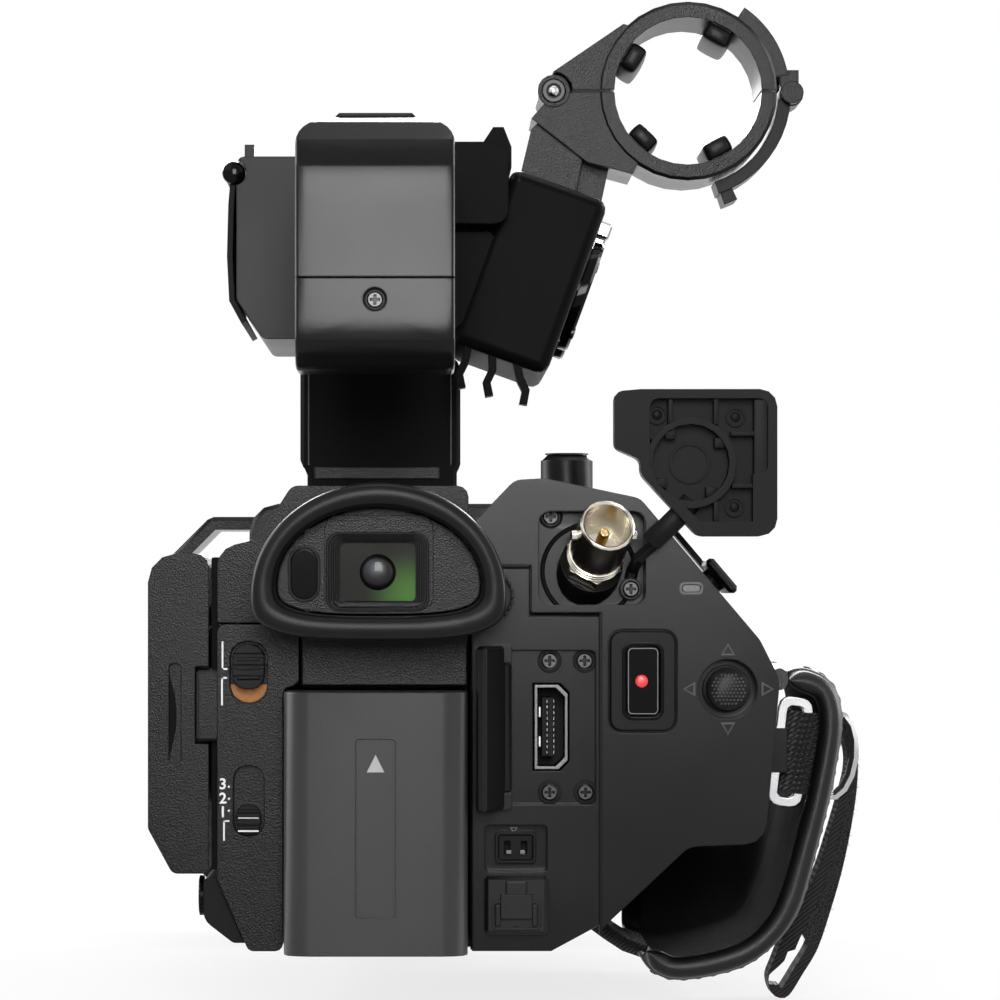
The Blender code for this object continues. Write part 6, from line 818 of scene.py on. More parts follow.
class CAMCORDER_OT_finishes(bpy.types.Operator):
    """Makes the procedural finishes"""

    bl_idname = "camcorder.finishes"
    bl_label = "Make finishes"

    def execute(self, context):
        look = context.scene.camcorder_finish
        self.plastics(look, look.grain_depth)
        metal("nickel", (0.62, 0.58, 0.5), 0.24)
        metal("steel", (0.44, 0.44, 0.45), 0.16)
        metal("dull_steel", (0.3, 0.3, 0.31), 0.3)
        metal("socket_steel", (0.07, 0.07, 0.072), 0.25)
        metal("gold", (0.78, 0.53, 0.2), 0.2)
        suede = [c * 0.5 for c in look.leather]
        pile = [c * 0.8 for c in look.webbing]
        thread = [c * 2.2 for c in look.leather]
        fabric("leather", look.leather, "leather_grain", 1900.0, 0.12, roughness=0.36, sheen=0.0)
        fabric("suede", suede, "leather_grain", 2400.0, 0.6, roughness=0.95, sheen=0.05)
        fabric("webbing", look.webbing, "twill_weave", 500.0, 0.8, roughness=0.6, sheen=0.15)
        fabric("loop_pile", pile, "leather_grain", 1700.0, 0.8, roughness=0.95, sheen=0.2)
        fabric("thread", thread, "twill_weave", 1800.0, 0.4, roughness=0.55, sheen=0.0)
        fabric("fibre", look.fibre, "twill_weave", 2000.0, 0.0, roughness=0.5, sheen=0.0)
        # Painted reflections: a purple coating reflection on the front glass, a green one on the eyepiece
        # glass, a bluish highlight on the bead and a faint sheen on the screen.
        glass_with_painted_reflection("front_glass", (0.002, 0.002, 0.006), (0.03, 0.012, 0.05), (6, 108, 48), 22)
        glass_with_painted_reflection("eye_glass", (0.011, 0.0105, 0.008), (0.06, 0.16, 0.03), (2.0, -107, 63.0), 8.5)
        glass_with_painted_reflection("eye_bead", (0.004, 0.004, 0.004), (0.03, 0.035, 0.045), (-4.6, -108, 68.0), 2.4, 0.3)
        glass_with_painted_reflection("display", (0.002, 0.002, 0.0025), (0.006, 0.0065, 0.008), (-35, -35, 42), 30)
        return {"FINISHED"}

    def plastics(self, look, depth):
        """Plastics, rubbers and inks, each with its colour, roughness and shine."""
        # Each finish's edge setting is how much lighter its edges are painted: a painted highlight, strongest
        # on the cap's rubber.
        moulded("satin", look.shell, 0.19, 0.12, grain=depth * 0.08, scale=FINE_GRAIN, highlight_lift=1.5)
        moulded("grained", look.grained, 0.22, 0.1, grain=depth * 0.5, scale=3600.0, highlight_lift=1.0)
        moulded("dark", look.dark, 0.3, 0.07, grain=depth * 0.12, scale=FINE_GRAIN)
        # shade is the dark plastic with almost no shine, a shaded copy that paints shade where it is put: the
        # handle's leg and right part, the audio-socket box's lower faces, the screen's notch and gap, and the
        # cap's cup.
        moulded("shade", look.dark, 0.42, 0.025, scale=FINE_GRAIN)
        moulded("battery_grey", look.battery, 0.34, 0.16, grain=depth * 0.14, scale=FINE_GRAIN)
        moulded("rubber", look.rubber, 0.33, 0.11, grain=depth * 0.12, scale=FINE_GRAIN, highlight_lift=0.9)
        moulded("cap_rubber", look.rubber, 0.4, 0.06, grain=depth * 0.12, scale=FINE_GRAIN, highlight_lift=4.0)
        moulded("knurl", (0.045, 0.045, 0.046), 0.4, 0.3, scale=2600.0, highlight_lift=1.2)
        moulded("gloss", (0.0012, 0.0012, 0.0013), 0.08, 0.1, scale=400.0, spread=0.05, highlight_lift=0.4)
        moulded("smoked", (0.0035, 0.0035, 0.0037), 0.5, 0.08, scale=400.0, spread=0.06, highlight_lift=0.6)
        moulded("screw_black", (0.005, 0.005, 0.0054), 0.24, 0.4, scale=2000.0, edge=0.00015, highlight_lift=2.5)
        # Deep black, for parts that are black and also for painted shade in holes, pockets and the picture
        # socket's mouth.
        moulded("contact_black", (0.002, 0.002, 0.002), 0.6, 0.15)
        moulded("ink", look.ink, 0.7, 0.2, scale=3000.0, edge=0.00005, highlight_lift=0.0)
        moulded("pale_ink", (0.34, 0.34, 0.34), 0.7, 0.2, scale=3000.0, edge=0.00005, highlight_lift=0.0)
        moulded("orange", look.orange, 0.55, 0.3, grain=depth * 0.4, scale=1500.0, highlight_lift=0.2)
        moulded("record_red", look.record_red, 0.3, 0.5, highlight_lift=0.4)
        moulded("engraved", (0.0025, 0.0025, 0.0026), 0.35, 0.5, scale=1500.0, highlight_lift=0.6)
        moulded("board", (0.01, 0.05, 0.02), 0.45, 0.4, scale=700.0)
        # lamp is the grey of the power lamp, also used as a painted highlight round the record button.
        moulded("lamp", (0.07, 0.07, 0.072), 0.35, 0.4, edge=0.0001)
        moulded("insulator", (0.62, 0.58, 0.5), 0.4, 0.4)


NODE_FINISH = {
    "left_shell": "grained", "top_cover": "grained", "grip_shell": "satin", "jack_panel": "satin",
    "battery_plate": "grained", "base_plate": "dark", "front_cover": "grained", "lens_barrel": "dark",
    "lens_ring": "rubber", "front_lens": "front_glass", "lens_hood": "grained", "sensor_board": "board",
    "main_board": "board", "lcd_panel": "grained", "lcd_screen": "display", "lcd_hinge": "satin",
    "eye_panel": "grained", "eye_lens": "eye_glass", "evf_housing": "dark", "diopter_dial": "rubber",
    "battery": "battery_grey", "auto_switch": "dark", "nd_switch": "dark", "control_pod": "dark",
    "manual_dial": "dark", "hdmi_socket": "socket_steel", "hdmi_door": "rubber", "dc_socket": "contact_black",
    "dc_cover": "rubber", "bnc_socket": "nickel", "start_ring": "dark",
    "start_button": "gloss", "stick_gimbal": "dark", "stick_cap": "rubber", "power_led": "lamp",
    "top_button": "rubber", "zoom_rocker": "dark", "handle": "satin", "handle_rear_cap": "satin",
    # The handle's leg takes the shade finish: painted shade under the handle's hook.
    "handle_leg": "shade", "audio_box": "rubber", "audio_door": "smoked", "audio_dial_1": "dark",
    "audio_dial_2": "dark", "xlr_box": "dark", "xlr_socket_1": "gloss", "xlr_socket_2": "gloss",
    "xlr_tab_1": "dull_steel", "xlr_tab_2": "dull_steel", "mic_clamp_upper": "grained",
    "mic_clamp_lower": "grained", "mic_latch": "dark", "strap_loop": "steel", "d_ring": "steel",
}
REPLACED_WHOLE = ("strap_web", "strap_pad", "strap_tail", "eyecup", "sdi_cap")
HIDDEN_INSIDE = ("sensor_board", "main_board", "stick_gimbal")
SHAPED = {"handle": bowed, "handle_rear_cap": bowed}

MIC_CENTRE = (56.2, 162.6)
MIC_INSIDE = 14.6           # faces nearer than this to the ring's middle are its inside, painted darker as shade
VIDEO_MOUTH = ((23.9, -83.05, 33.2), (29.1, 47.2))  # low corner, and the far end in X and Z
LEG_SIDE = 9.6              # right of this the handle is painted as lying in shade


def in_video_socket(middle, way):
    (left, rear, low), (right, high) = VIDEO_MOUTH
    return middle.y > rear and left < middle.x < right and low < middle.z < high


def in_microphone_ring(middle, way):
    return math.hypot(middle.x - MIC_CENTRE[0], middle.z - MIC_CENTRE[1]) < MIC_INSIDE and abs(way.y) < 0.5


def beside_the_handle(middle, way):
    return middle.x > LEG_SIDE


def not_facing_up(middle, way):
    return way.z < 0.3


def in_cap_cup(middle, way):
    x, z, radius = CAP_CUP
    return math.hypot(middle.x - x, middle.z - z) < radius - 0.9 and way.y > -0.5


# Faces that get a darker second finish as painted shade: the handle right of its leg, the audio-socket box's
# faces that don't face up, the inside of the picture socket's mouth and of the microphone ring.
PAINTED_SHADE_FACES = {
    "handle": ("shade", beside_the_handle),
    "xlr_box": ("shade", not_facing_up),
    "hdmi_socket": ("contact_black", in_video_socket),
    "mic_clamp_upper": ("dark", in_microphone_ring),
    "mic_clamp_lower": ("dark", in_microphone_ring),
}


class CAMCORDER_OT_shells(bpy.types.Operator):
    """Dresses every rigid CAD node in its finish, with soft shading over its curves"""

    bl_idname = "camcorder.shells"
    bl_label = "Dress shells"

    def execute(self, context):
        body_of = {n: b for b, members in frame["record"]["behaviour"]["bodies"].items() for n in members}
        for node, finish in NODE_FINISH.items():
            if node in HIDDEN_INSIDE:
                frame["nodes"][node].material_slots[0].material = finish_of(finish)
                continue
            skin = skin_of(node, SHAPED.get(node))
            fit(skin, body_of[node], finish, (node,))
            # Faces where shade falls get a darker finish: painted shade.
            if node in PAINTED_SHADE_FACES:
                second_finish(skin, *PAINTED_SHADE_FACES[node])
        missing = set(frame["nodes"]) - set(NODE_FINISH) - set(REPLACED_WHOLE)
        if missing:
            raise RuntimeError(f"no finish for {sorted(missing)}")
        return {"FINISHED"}


# Hand strap

PAD_KNUCKLE = ((69.1, 49.5), (73.1, 49.2), (76.9, 46.8), (78.3, 40.9), (76.8, 30.5))
PAD_PALM = ((73.9, 18.3), (70.1, 5.9), (64.3, -0.9), (56.3, -3.9), (47.9, -4.6), (43.1, -1.3))
PAD_TUCK = ((71.5, 19.7), (67.5, 16.4), (62.7, 16.0), (55.9, 16.0), (48.9, 13.9), (44.1, 9.7))
PAD_Y = (-65.6, 47.0)
PAD_ROLL = (-63.5, 2.0)     # middle and radius of the rolled rear edge
PAD_ROLL_IN = 1.55          # how far the roll lies inside the pad's middle line
PAD_ROLL_BLEND = (-63.0, -60.8)
PAD_FULLER, PAD_FULLER_REACH = 0.25, 9  # extra fullness towards the front edge
PAD_FRONT_ROUND = 1.4
PAD_EDGE = 0.03             # share of the width over which a side edge closes
PAD_TUCKED = (25.0, 46.0)   # where the front begins to tuck under the grip, and where it is tucked
PAD_STATIONS = [PAD_Y[0] + 0.1, -65.3, -64.8, -64.2, -63.5, -62.8, -62.2, -61.7, -61.2, -60.6, -59.6, -58.2]
PAD_STATIONS += [-56.2 + 2.2 * step for step in range(46)]
PAD_STATIONS += [PAD_Y[1] - back for back in (1.8, 1.2, 0.7, 0.3, 0.05)]
PAD_ROLL_ROWS = 6           # rows of the rolled edge, which is leather all round
PAD_ACROSS = 60
PAD_LEAST = 0.15            # thinnest that the pad gets at its edges
FILL_FRAMES = 20
FILLING = {
    "quality": 6, "mass": 0.2, "tension_stiffness": 20, "compression_stiffness": 20, "bending_stiffness": 2,
    "use_pressure": True,
}
PAD_SEAMS = (-58.6, 22.0)
SEAM_WIDTH, SEAM_DEPTH = 0.7, 0.35
SEAM_POINTS, SEAM_MARGIN = 120, 6
SEAM_PROBE = 9              # how far outside the pad the rays to a seam start
STITCH_RADIUS = 0.3
ROOT_MIDDLE = (67.9, 48.3)
ROOT_STATIONS = (-64.9, -64.5, -63.8, -50, -30, -10, 10, 30, 38, 39)
LOOP_BAR = (68.1, -58.0, 35.4)
LOOP_LEAN = math.radians(7)
LOOP_WIDTH = 4.6
WEB_CLEAR = (1.95, 2.35)    # webbing's middle round the loop's outer bar
WEB_SEWN = (6.0, 9.0)       # where its plies meet, and where they end
WEB_RETURN = ((1.7, 1.6, 0), (0.6, 2.6, 0), (0.9, 3.8, 0), (3.0, 4.8, 0))
WEB_CORDS = 14
LOWER_WEB = ((35.0, -42.0, 3.4), (38.0, -42.0, 1.2), (41.2, -42.0, -0.9), (45.0, -42.0, -2.2))
TAIL_ORIGIN = (83.0, 34.0)
TAIL_Y = (-43.4, -34.4)
TAIL_OUTER = (
    (-2.6, 8.0), (0.4, 1.7), (0.9, -2.7), (0.2, -10.0), (-1.8, -20.3), (-4.4, -29.4), (-6.6, -35.7),
    (-9.2, -40.1), (-11.7, -44.0), (-13.4, -44.6), (-15.0, -43.6), (-15.7, -40.8),
)
TAIL_INNER = (
    (-14.7, -37.9), (-12.3, -32.0), (-9.5, -26.9), (-6.6, -21.0), (-4.2, -13.7), (-2.6, -8.2), (-1.2, -2.7),
    (-1.4, 1.7), (-3.6, 7.4),
)
TAIL_TURN = 0.53            # share of the tail's line that is its outer ply
TAIL_PILE = 0.4             # share of it that is hook-and-loop
TAIL_EYE_TOP, TAIL_EYE_PLY = -1.0, 1.9  # below this height the plies are this thin
FIBRE_DENSITY, FIBRE_SEED = 700000.0, 11


def ramp(value, low, high):
    share = min(max((value - low) / (high - low), 0.0), 1.0)
    return share * share * (3 - 2 * share)


def pad_line(y, count):
    """The pad's middle line at one place along the camcorder, tucked under the grip towards its front."""
    tuck = ramp(y, *PAD_TUCKED)
    palm = [Vector(a).lerp(Vector(b), tuck) for a, b in zip(PAD_PALM, PAD_TUCK)]
    line = smooth_line([Vector(p) for p in PAD_KNUCKLE] + palm, count)
    inward = PAD_ROLL_IN * (1 - ramp(y, *PAD_ROLL_BLEND))
    return [here - side_of(line, index) * inward for index, here in enumerate(line)]


def pad_half(y, thick):
    """Half the pad's thickness: a full roll at the rear edge, thin behind it, rounded at the front edge."""
    middle, radius = PAD_ROLL
    roll = math.sqrt(max(radius ** 2 - (y - middle) ** 2, 0.0))
    fuller = 1 + PAD_FULLER * math.exp(-((y - PAD_Y[1]) / PAD_FULLER_REACH) ** 2)
    sheet = thick / 2 * fuller if y > middle else 0.0
    front = min(1.0, math.sqrt(max(PAD_Y[1] - y, 0.0) / PAD_FRONT_ROUND))
    return max(roll, sheet * front, PAD_LEAST)


def pad_cage(thick):
    """Closed pad in millimetres: rows of points along its outer face and back along its inner face."""
    cage = bmesh.new()
    rows = []
    for y in PAD_STATIONS:
        line = pad_line(y, PAD_ACROSS)
        outer = []
        inner = []
        for index, here in enumerate(line):
            edge = min(index, PAD_ACROSS - 1 - index) / (PAD_ACROSS - 1)
            close = min(1.0, math.sqrt(edge / PAD_EDGE)) if edge < PAD_EDGE else 1.0
            side = side_of(line, index) * pad_half(y, thick) * max(PAD_LEAST, close)
            outer.append(cage.verts.new((here.x + side.x, y, here.y + side.y)))
            inner.append(cage.verts.new((here.x - side.x, y, here.y - side.y)))
        rows.append(outer + inner[::-1])
    count = len(rows[0])
    for number, (row, beside) in enumerate(zip(rows, rows[1:])):
        for index in range(count):
            ahead = (index + 1) % count
            face = cage.faces.new((row[index], row[ahead], beside[ahead], beside[index]))
            inside = number > PAD_ROLL_ROWS and PAD_ACROSS + 2 < index < count - 4
            face.material_index = 1 if inside else 0
    for end in (rows[0], rows[-1]):
        for index in range(count // 2 - 1):
            far = count - 1 - index
            cage.faces.new((end[index], end[index + 1], end[far - 1], end[far]))
    return cage


def filled(piece, pressure, cap):
    """Swells a closed pad with Blender's Cloth, holds each point within the cap, and applies it."""
    rest = [v.co.copy() for v in piece.data.vertices]
    cloth = piece.modifiers.new("filling", "CLOTH")
    for key, value in FILLING.items():
        setattr(cloth.settings, key, value)
    cloth.settings.uniform_pressure_force = pressure
    cloth.settings.effector_weights.gravity = 0
    cloth.collision_settings.use_collision = False
    cloth.point_cache.frame_start = 1
    cloth.point_cache.frame_end = FILL_FRAMES
    scene = bpy.context.scene
    for moment in range(1, FILL_FRAMES + 1):
        scene.frame_set(moment)
    depsgraph = bpy.context.evaluated_depsgraph_get()
    moved = [v.co.copy() for v in piece.evaluated_get(depsgraph).data.vertices]
    piece.modifiers.clear()
    scene.frame_set(1)
    for vertex, before, after in zip(piece.data.vertices, rest, moved):
        step = after - before
        if step.length > cap:
            step *= cap / step.length
        vertex.co = before + step
    piece.data.update()


def smoothed(name, piece, levels=1):
    smooth = piece.modifiers.new("smooth", "SUBSURF")
    smooth.levels = levels
    smooth.render_levels = levels
    piece = flattened(name, piece)
    piece.data.shade_smooth()
    return piece


def sink_seams(piece, seams, width, depth):
    """Presses sewn channels into the pad along lines of equal Y."""
    normals = [v.normal.copy() for v in piece.data.vertices]
    for vertex, normal in zip(piece.data.vertices, normals):
        for y in seams:
            near = (vertex.co.y - y * MM) / (width * MM)
            if abs(near) < 3:
                vertex.co -= normal * depth * MM * math.exp(-near * near)
    piece.data.update()


def capsule(length, radius):
    """Stitch along X, pressed into the leather at both ends."""
    cage = bmesh.new()
    path = [(length * t, 0, radius * 0.9 * math.cos(math.pi * t)) for t in (-0.5, -0.3, 0, 0.3, 0.5)]
    add_sweep(cage, path, radius, sides=6)
    return cage


class CAMCORDER_OT_strap(bpy.types.Operator):
    """Fills, sews and hangs the hand strap: pad, webbing, tail and their stitches"""

    bl_idname = "camcorder.strap"
    bl_label = "Make hand strap"

    def execute(self, context):
        sizes = context.scene.camcorder_strap
        pad = self.pad(sizes)
        self.stitches(pad, sizes)
        self.root()
        self.webbing(sizes)
        self.tail(sizes)
        return {"FINISHED"}

    def pad(self, sizes):
        pad = piece_from("strap_pad_filled", pad_cage(sizes.pad_thick / MM))
        for finish in ("leather", "suede"):
            pad.data.materials.append(finish_of(finish))
        filled(pad, sizes.pressure, sizes.swell)
        pad = smoothed("strap_pad_leather", pad)
        sink_seams(pad, PAD_SEAMS, SEAM_WIDTH, SEAM_DEPTH)
        fit(pad, "body", "leather", ("strap_pad",))
        return pad

    def stitches(self, pad, sizes):
        """Rows of stitches in the sewn channels of the pad's outer face."""
        tree = BVHTree.FromObject(pad, bpy.context.evaluated_depsgraph_get())
        shape = shape_object("stitch", capsule(sizes.stitch_length, STITCH_RADIUS * MM))
        for name, y in zip(("rear", "front"), PAD_SEAMS):
            line = pad_line(y, SEAM_POINTS)
            points = []
            for index in range(SEAM_MARGIN, SEAM_POINTS - SEAM_MARGIN):
                side = side_of(line, index)
                x, z = line[index].x + side.x * SEAM_PROBE, line[index].y + side.y * SEAM_PROBE
                hit, _, _, _ = tree.ray_cast(Vector((x, y, z)) * MM, Vector((-side.x, 0, -side.y)))
                if hit:
                    points.append(hit / MM)
            piece = grown(
                f"strap_stitches_{name}", "stitches_on_a_line", line_mesh("stitch_line", points), "thread",
                shape=shape, pitch=sizes.stitch_pitch)
            fit(piece, "body", "thread")
        bpy.data.objects.remove(shape)

    def root(self):
        """Rolled leather between the pad's upper edge and the grip."""
        x, z = ROOT_MIDDLE
        with moulding("strap_pad_root", "body", "leather", "leather", smooth=60) as cage:
            add_sweep(cage, [(x, y, z) for y in ROOT_STATIONS], 2.0, 14, 0.8, UP)

    def webbing(self, sizes):
        """Ribbed webbing round the metal loop's outer bar, and the band that holds the pad from below."""
        turn = Matrix.Rotation(LOOP_LEAN, 4, "Y")
        place = Matrix.Translation(Vector(LOOP_BAR)) @ turn
        wide, deep = WEB_CLEAR
        meet, end = WEB_SEWN
        fold = []
        for step in range(13):
            angle = -math.pi * step / 12
            fold.append((LOOP_WIDTH + wide * math.cos(angle), deep * math.sin(angle), 0))
        beside = LOOP_WIDTH + wide - 1.0
        path = [(LOOP_WIDTH + wide, end, 0)] + fold + list(WEB_RETURN)
        path += [(beside, meet + 0.6, 0), (beside, end, 0)]
        start = -sizes.rib_pitch / MM * (WEB_CORDS - 1) / 2
        placed = [place @ Vector((x, y, z + start)) for x, y, z in path]
        self.cords(
            "strap_webbing_ribs", placed, ("strap_web",), count=WEB_CORDS, radius=0.56 * MM,
            step=(turn @ Vector(UP)) * sizes.rib_pitch)
        self.cords(
            "strap_lower_webbing", LOWER_WEB, count=18, radius=1.4 * MM, step=(0, sizes.rib_pitch * 1.8, 0))

    def cords(self, name, points, replaced=(), **inputs):
        piece = grown(name, "cords_side_by_side", line_mesh(name + "_line", points), "webbing", **inputs)
        piece.data.shade_smooth()
        fit(piece, "body", "webbing", replaced)

    def tail(self, sizes):
        """Free tail: two plies that part round an eye at its end; the outer one is hook-and-loop."""
        origin = Vector(TAIL_ORIGIN)
        outer = [origin + Vector(p) for p in TAIL_OUTER]
        inner = [origin + Vector(p) for p in TAIL_INNER]
        line = smooth_line(outer + inner, 130)
        far = {True: inner, False: outer}
        cage = bmesh.new()
        rows = []
        for index, here in enumerate(line):
            on_outer = index < len(line) * TAIL_TURN
            across = min((here - p).length for p in smooth_line(far[on_outer], 60))
            depth = min(across * 0.49, sizes.tail_ply / MM if here.y > TAIL_EYE_TOP else TAIL_EYE_PLY)
            side = side_of(line, index)
            rear, front = TAIL_Y
            row = []
            for inward, y in ((0, rear), (depth, rear), (depth, front), (0, front)):
                row.append(cage.verts.new((here.x - side.x * inward, y, here.y - side.y * inward)))
            rows.append(row)
        for number, (row, beside) in enumerate(zip(rows, rows[1:])):
            for corner in range(4):
                ahead = (corner + 1) % 4
                face = cage.faces.new((row[corner], row[ahead], beside[ahead], beside[corner]))
                face.material_index = 1 if number < len(line) * TAIL_PILE else 0
        cage.faces.new(rows[0])
        cage.faces.new(rows[-1][::-1])
        band = piece_from("strap_tail_band", cage, smooth=40)
        for finish in ("webbing", "loop_pile"):
            band.data.materials.append(finish_of(finish))
        fit(band, "body", "webbing", ("strap_tail",))
        self.fibres(band, sizes)

    def fibres(self, band, sizes):
        """Stray fibres on the hook-and-loop ply."""
        patch = bmesh.new()
        patch.from_mesh(band.data)
        bmesh.ops.delete(patch, geom=[f for f in patch.faces if f.material_index == 0], context="FACES")
        mesh = bpy.data.meshes.new("pile_patch")
        patch.to_mesh(mesh)
        patch.free()
        sliver = bmesh.new()
        bmesh.ops.create_cone(
            sliver, cap_ends=True, segments=3, radius1=0.05, radius2=0.02, depth=1.0,
            matrix=Matrix.Translation((0, 0, 0.45)))
        shape = shape_object("fibre", sliver)
        piece = grown(
            "strap_tail_fibres", "stray_fibres", mesh, "fibre", shape=shape, density=FIBRE_DENSITY,
            length=sizes.fibre_length, seed=FIBRE_SEED)
        bpy.data.objects.remove(shape)
        fit(piece, "body", "fibre")


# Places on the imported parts

NODE_TREES = {}


def strike(node, start, way):
    """Place in millimetres where a ray first meets a CAD node, or None."""
    if node not in NODE_TREES:
        data = frame["nodes"][node].data
        NODE_TREES[node] = BVHTree.FromPolygons(
            [v.co[:] for v in data.vertices], [p.vertices[:] for p in data.polygons])
    hit, _, _, _ = NODE_TREES[node].ray_cast(Vector(start) * MM, Vector(way).normalized())
    return hit / MM if hit else None


def rear_at(x, z, *nodes):
    """Y of the rearmost of the given nodes at a place in X and Z."""
    hits = [strike(node, (x, FAR_REAR, z), FORWARD) for node in nodes]
    rear = [hit.y for hit in hits if hit]
    if not rear:
        raise RuntimeError(f"none of {nodes} at {x}, {z}")
    return min(rear)


def dot_outline(x, z, radius, count):
    turns = [2 * math.pi * step / count for step in range(count)]
    return [(x + radius * math.cos(a), z + radius * math.sin(a)) for a in turns]


def second_finish(piece, finish, test):
    """Gives the faces whose middle (in millimetres) and normal pass the test another finish."""
    piece.data.materials.append(finish_of(finish))
    for face in piece.data.polygons:
        if test(face.center / MM, face.normal):
            face.material_index = len(piece.data.materials) - 1


EYE_WINDOW = (-3.7, 67.2)
EYE_STEPS = ((17.4, 13.4), (15.8, 12.2), (14.3, 11.1), (12.9, 10.0))
EYE_LIPS = (0.45, 0.0, -0.6)        # how far each frame stands behind the panel
EYE_PLATE = (-3.5, 68.8, 18.6, 16.2, 2.4)
BEAD_PROFILE = ((0, 0), (3.1, 0), (2.95, 0.3), (2.3, 0.62), (1.3, 0.8), (0, 0.86))
EYE_SENSOR = (-16.2, 66.9)
SENSOR_OUTER = (5.5, 9.6, 2.7)
SENSOR_INNER = (4.5, 8.6, 2.2)


class CAMCORDER_OT_eyepiece(bpy.types.Operator):
    """Dresses the eyepiece: rubber eyecup, stepped window frame, bead, eye sensor and focus ribs"""

    bl_idname = "camcorder.eyepiece"
    bl_label = "Dress eyepiece"

    def execute(self, context):
        self.eyecup()
        self.window()
        self.sensor()
        ring_of_ribs(
            "diopter_ribs", "diopter", "rubber", (15.05, -88.7, 63.2), FORWARD, 4.6, 26,
            (0.55, 0.5, 3.0))
        return {"FINISHED"}

    def eyecup(self):
        cage = welded(frame["nodes"]["eyecup"].data)
        bmesh.ops.join_triangles(cage, faces=cage.faces, angle_face_threshold=3.2, angle_shape_threshold=3.2)
        bmesh.ops.scale(cage, vec=(1 / MM, 1 / MM, 1 / MM), verts=cage.verts)
        cup = piece_from("eyecup_rubber", cage)
        for name in ("custom_normal", "sharp_edge", "sharp_face"):
            if name in cup.data.attributes:
                cup.data.attributes.remove(cup.data.attributes[name])
        cup = smoothed("eyecup_soft", cup, 2)
        fit(cup, "viewfinder", "rubber", ("eyecup",))

    def window(self):
        """Plate round the window, three frames that step down to the glass, and the bead on it."""
        x, z = EYE_WINDOW
        rear = rear_at(x - 12, z, "eye_panel")
        glass = rear_at(x, z, "eye_lens")
        steps = [rounded_rectangle(x, z, wide, high, wide / 4 - 2.2) for wide, high in EYE_STEPS]
        with moulding("eye_window_plate", "viewfinder", "grained", "grained") as cage:
            add_ring(cage, rounded_rectangle(*EYE_PLATE), steps[0], rear - 0.1, glass - 0.05)
        with moulding("eye_window_frames", "viewfinder", "dark", "dark") as cage:
            for outer, inner, stands in zip(steps, steps[1:], EYE_LIPS):
                lip = rear - stands
                middle = [((a[0] + b[0]) / 2, (a[1] + b[1]) / 2) for a, b in zip(outer, inner)]
                add_ring(cage, outer, middle, lip, glass - 0.05)
                add_ring(cage, middle, inner, lip + 0.3, glass - 0.05)
        with moulding("eyepiece_bead", "viewfinder", "eye_bead", "glass", smooth=50) as cage:
            add_lathe(cage, BEAD_PROFILE, (x, glass - 0.02, z), REARWARD)

    def sensor(self):
        rear = rear_at(*EYE_SENSOR, "eye_panel")
        with moulding("eye_sensor_rim", "viewfinder", "dark", "dark") as cage:
            add_frame(cage, EYE_SENSOR, SENSOR_OUTER, SENSOR_INNER, rear - 0.35, rear + 0.2)
        with moulding("eye_sensor_pane", "viewfinder", "gloss", "gloss") as cage:
            add_prism(cage, rounded_rectangle(*EYE_SENSOR, *SENSOR_INNER), rear - 0.12, rear + 0.2, 0.08)


# Screws

JACK_SCREWS = ((26.25, 51.8), (32.4, 51.8), (26.25, 28.7), (32.55, 28.7), (26.6, 77.2))
TETHER_SCREW = (40.6, 64.4)
CAP_SCREW = (HANDLE_X, 114.5)
BASE_SCREWS = ((-14, -48), (28, -48), (-14, 60), (28, 60))
BASE_FEET = ((-14, -40), (28, -40), (-14, 50), (28, 50))


def screw_head():
    """Cross-head screw of radius 1: bevelled rim and a sunk cross."""
    cage = bmesh.new()
    count = 24
    turns = [2 * math.pi * step / count for step in range(count)]
    foot, side, rim = [
        [cage.verts.new((radius * math.cos(a), radius * math.sin(a), height)) for a in turns]
        for radius, height in ((1, -0.3), (1, 0.14), (0.8, 0.28))]
    arm, reach = 0.15, 0.58
    cross = []
    for turn in range(4):
        spin = Matrix.Rotation(math.pi / 2 * turn, 2)
        for point in ((arm, arm), (arm, reach), (-arm, reach)):
            cross.append(spin @ Vector(point))
    lip = [cage.verts.new((p.x, p.y, 0.28)) for p in cross]
    deep = [cage.verts.new((p.x * 0.7, p.y * 0.7, -0.12)) for p in cross]
    for low, high in ((foot, side), (side, rim), (deep, lip)):
        for index in range(len(low)):
            ahead = (index + 1) % len(low)
            cage.faces.new((low[index], low[ahead], high[ahead], high[index]))
    cage.faces.new(foot[::-1])
    cage.faces.new(deep)
    edges = []
    for loop in (rim, lip):
        for index in range(len(loop)):
            edges.append(cage.edges.get((loop[index], loop[(index + 1) % len(loop)])))
    bmesh.ops.triangle_fill(cage, edges=edges, use_beauty=True, normal=UP)
    return cage


def rear_place(x, z, *nodes):
    """Place on the rear of the given nodes, facing rearward."""
    return (x, rear_at(x, z, *nodes), z), REARWARD


def base_places(spots):
    """Places on the underside of the base, facing down."""
    return [((x, y, strike("base_plate", (x, y, FAR_BELOW), UP).z), DOWN) for x, y in spots]


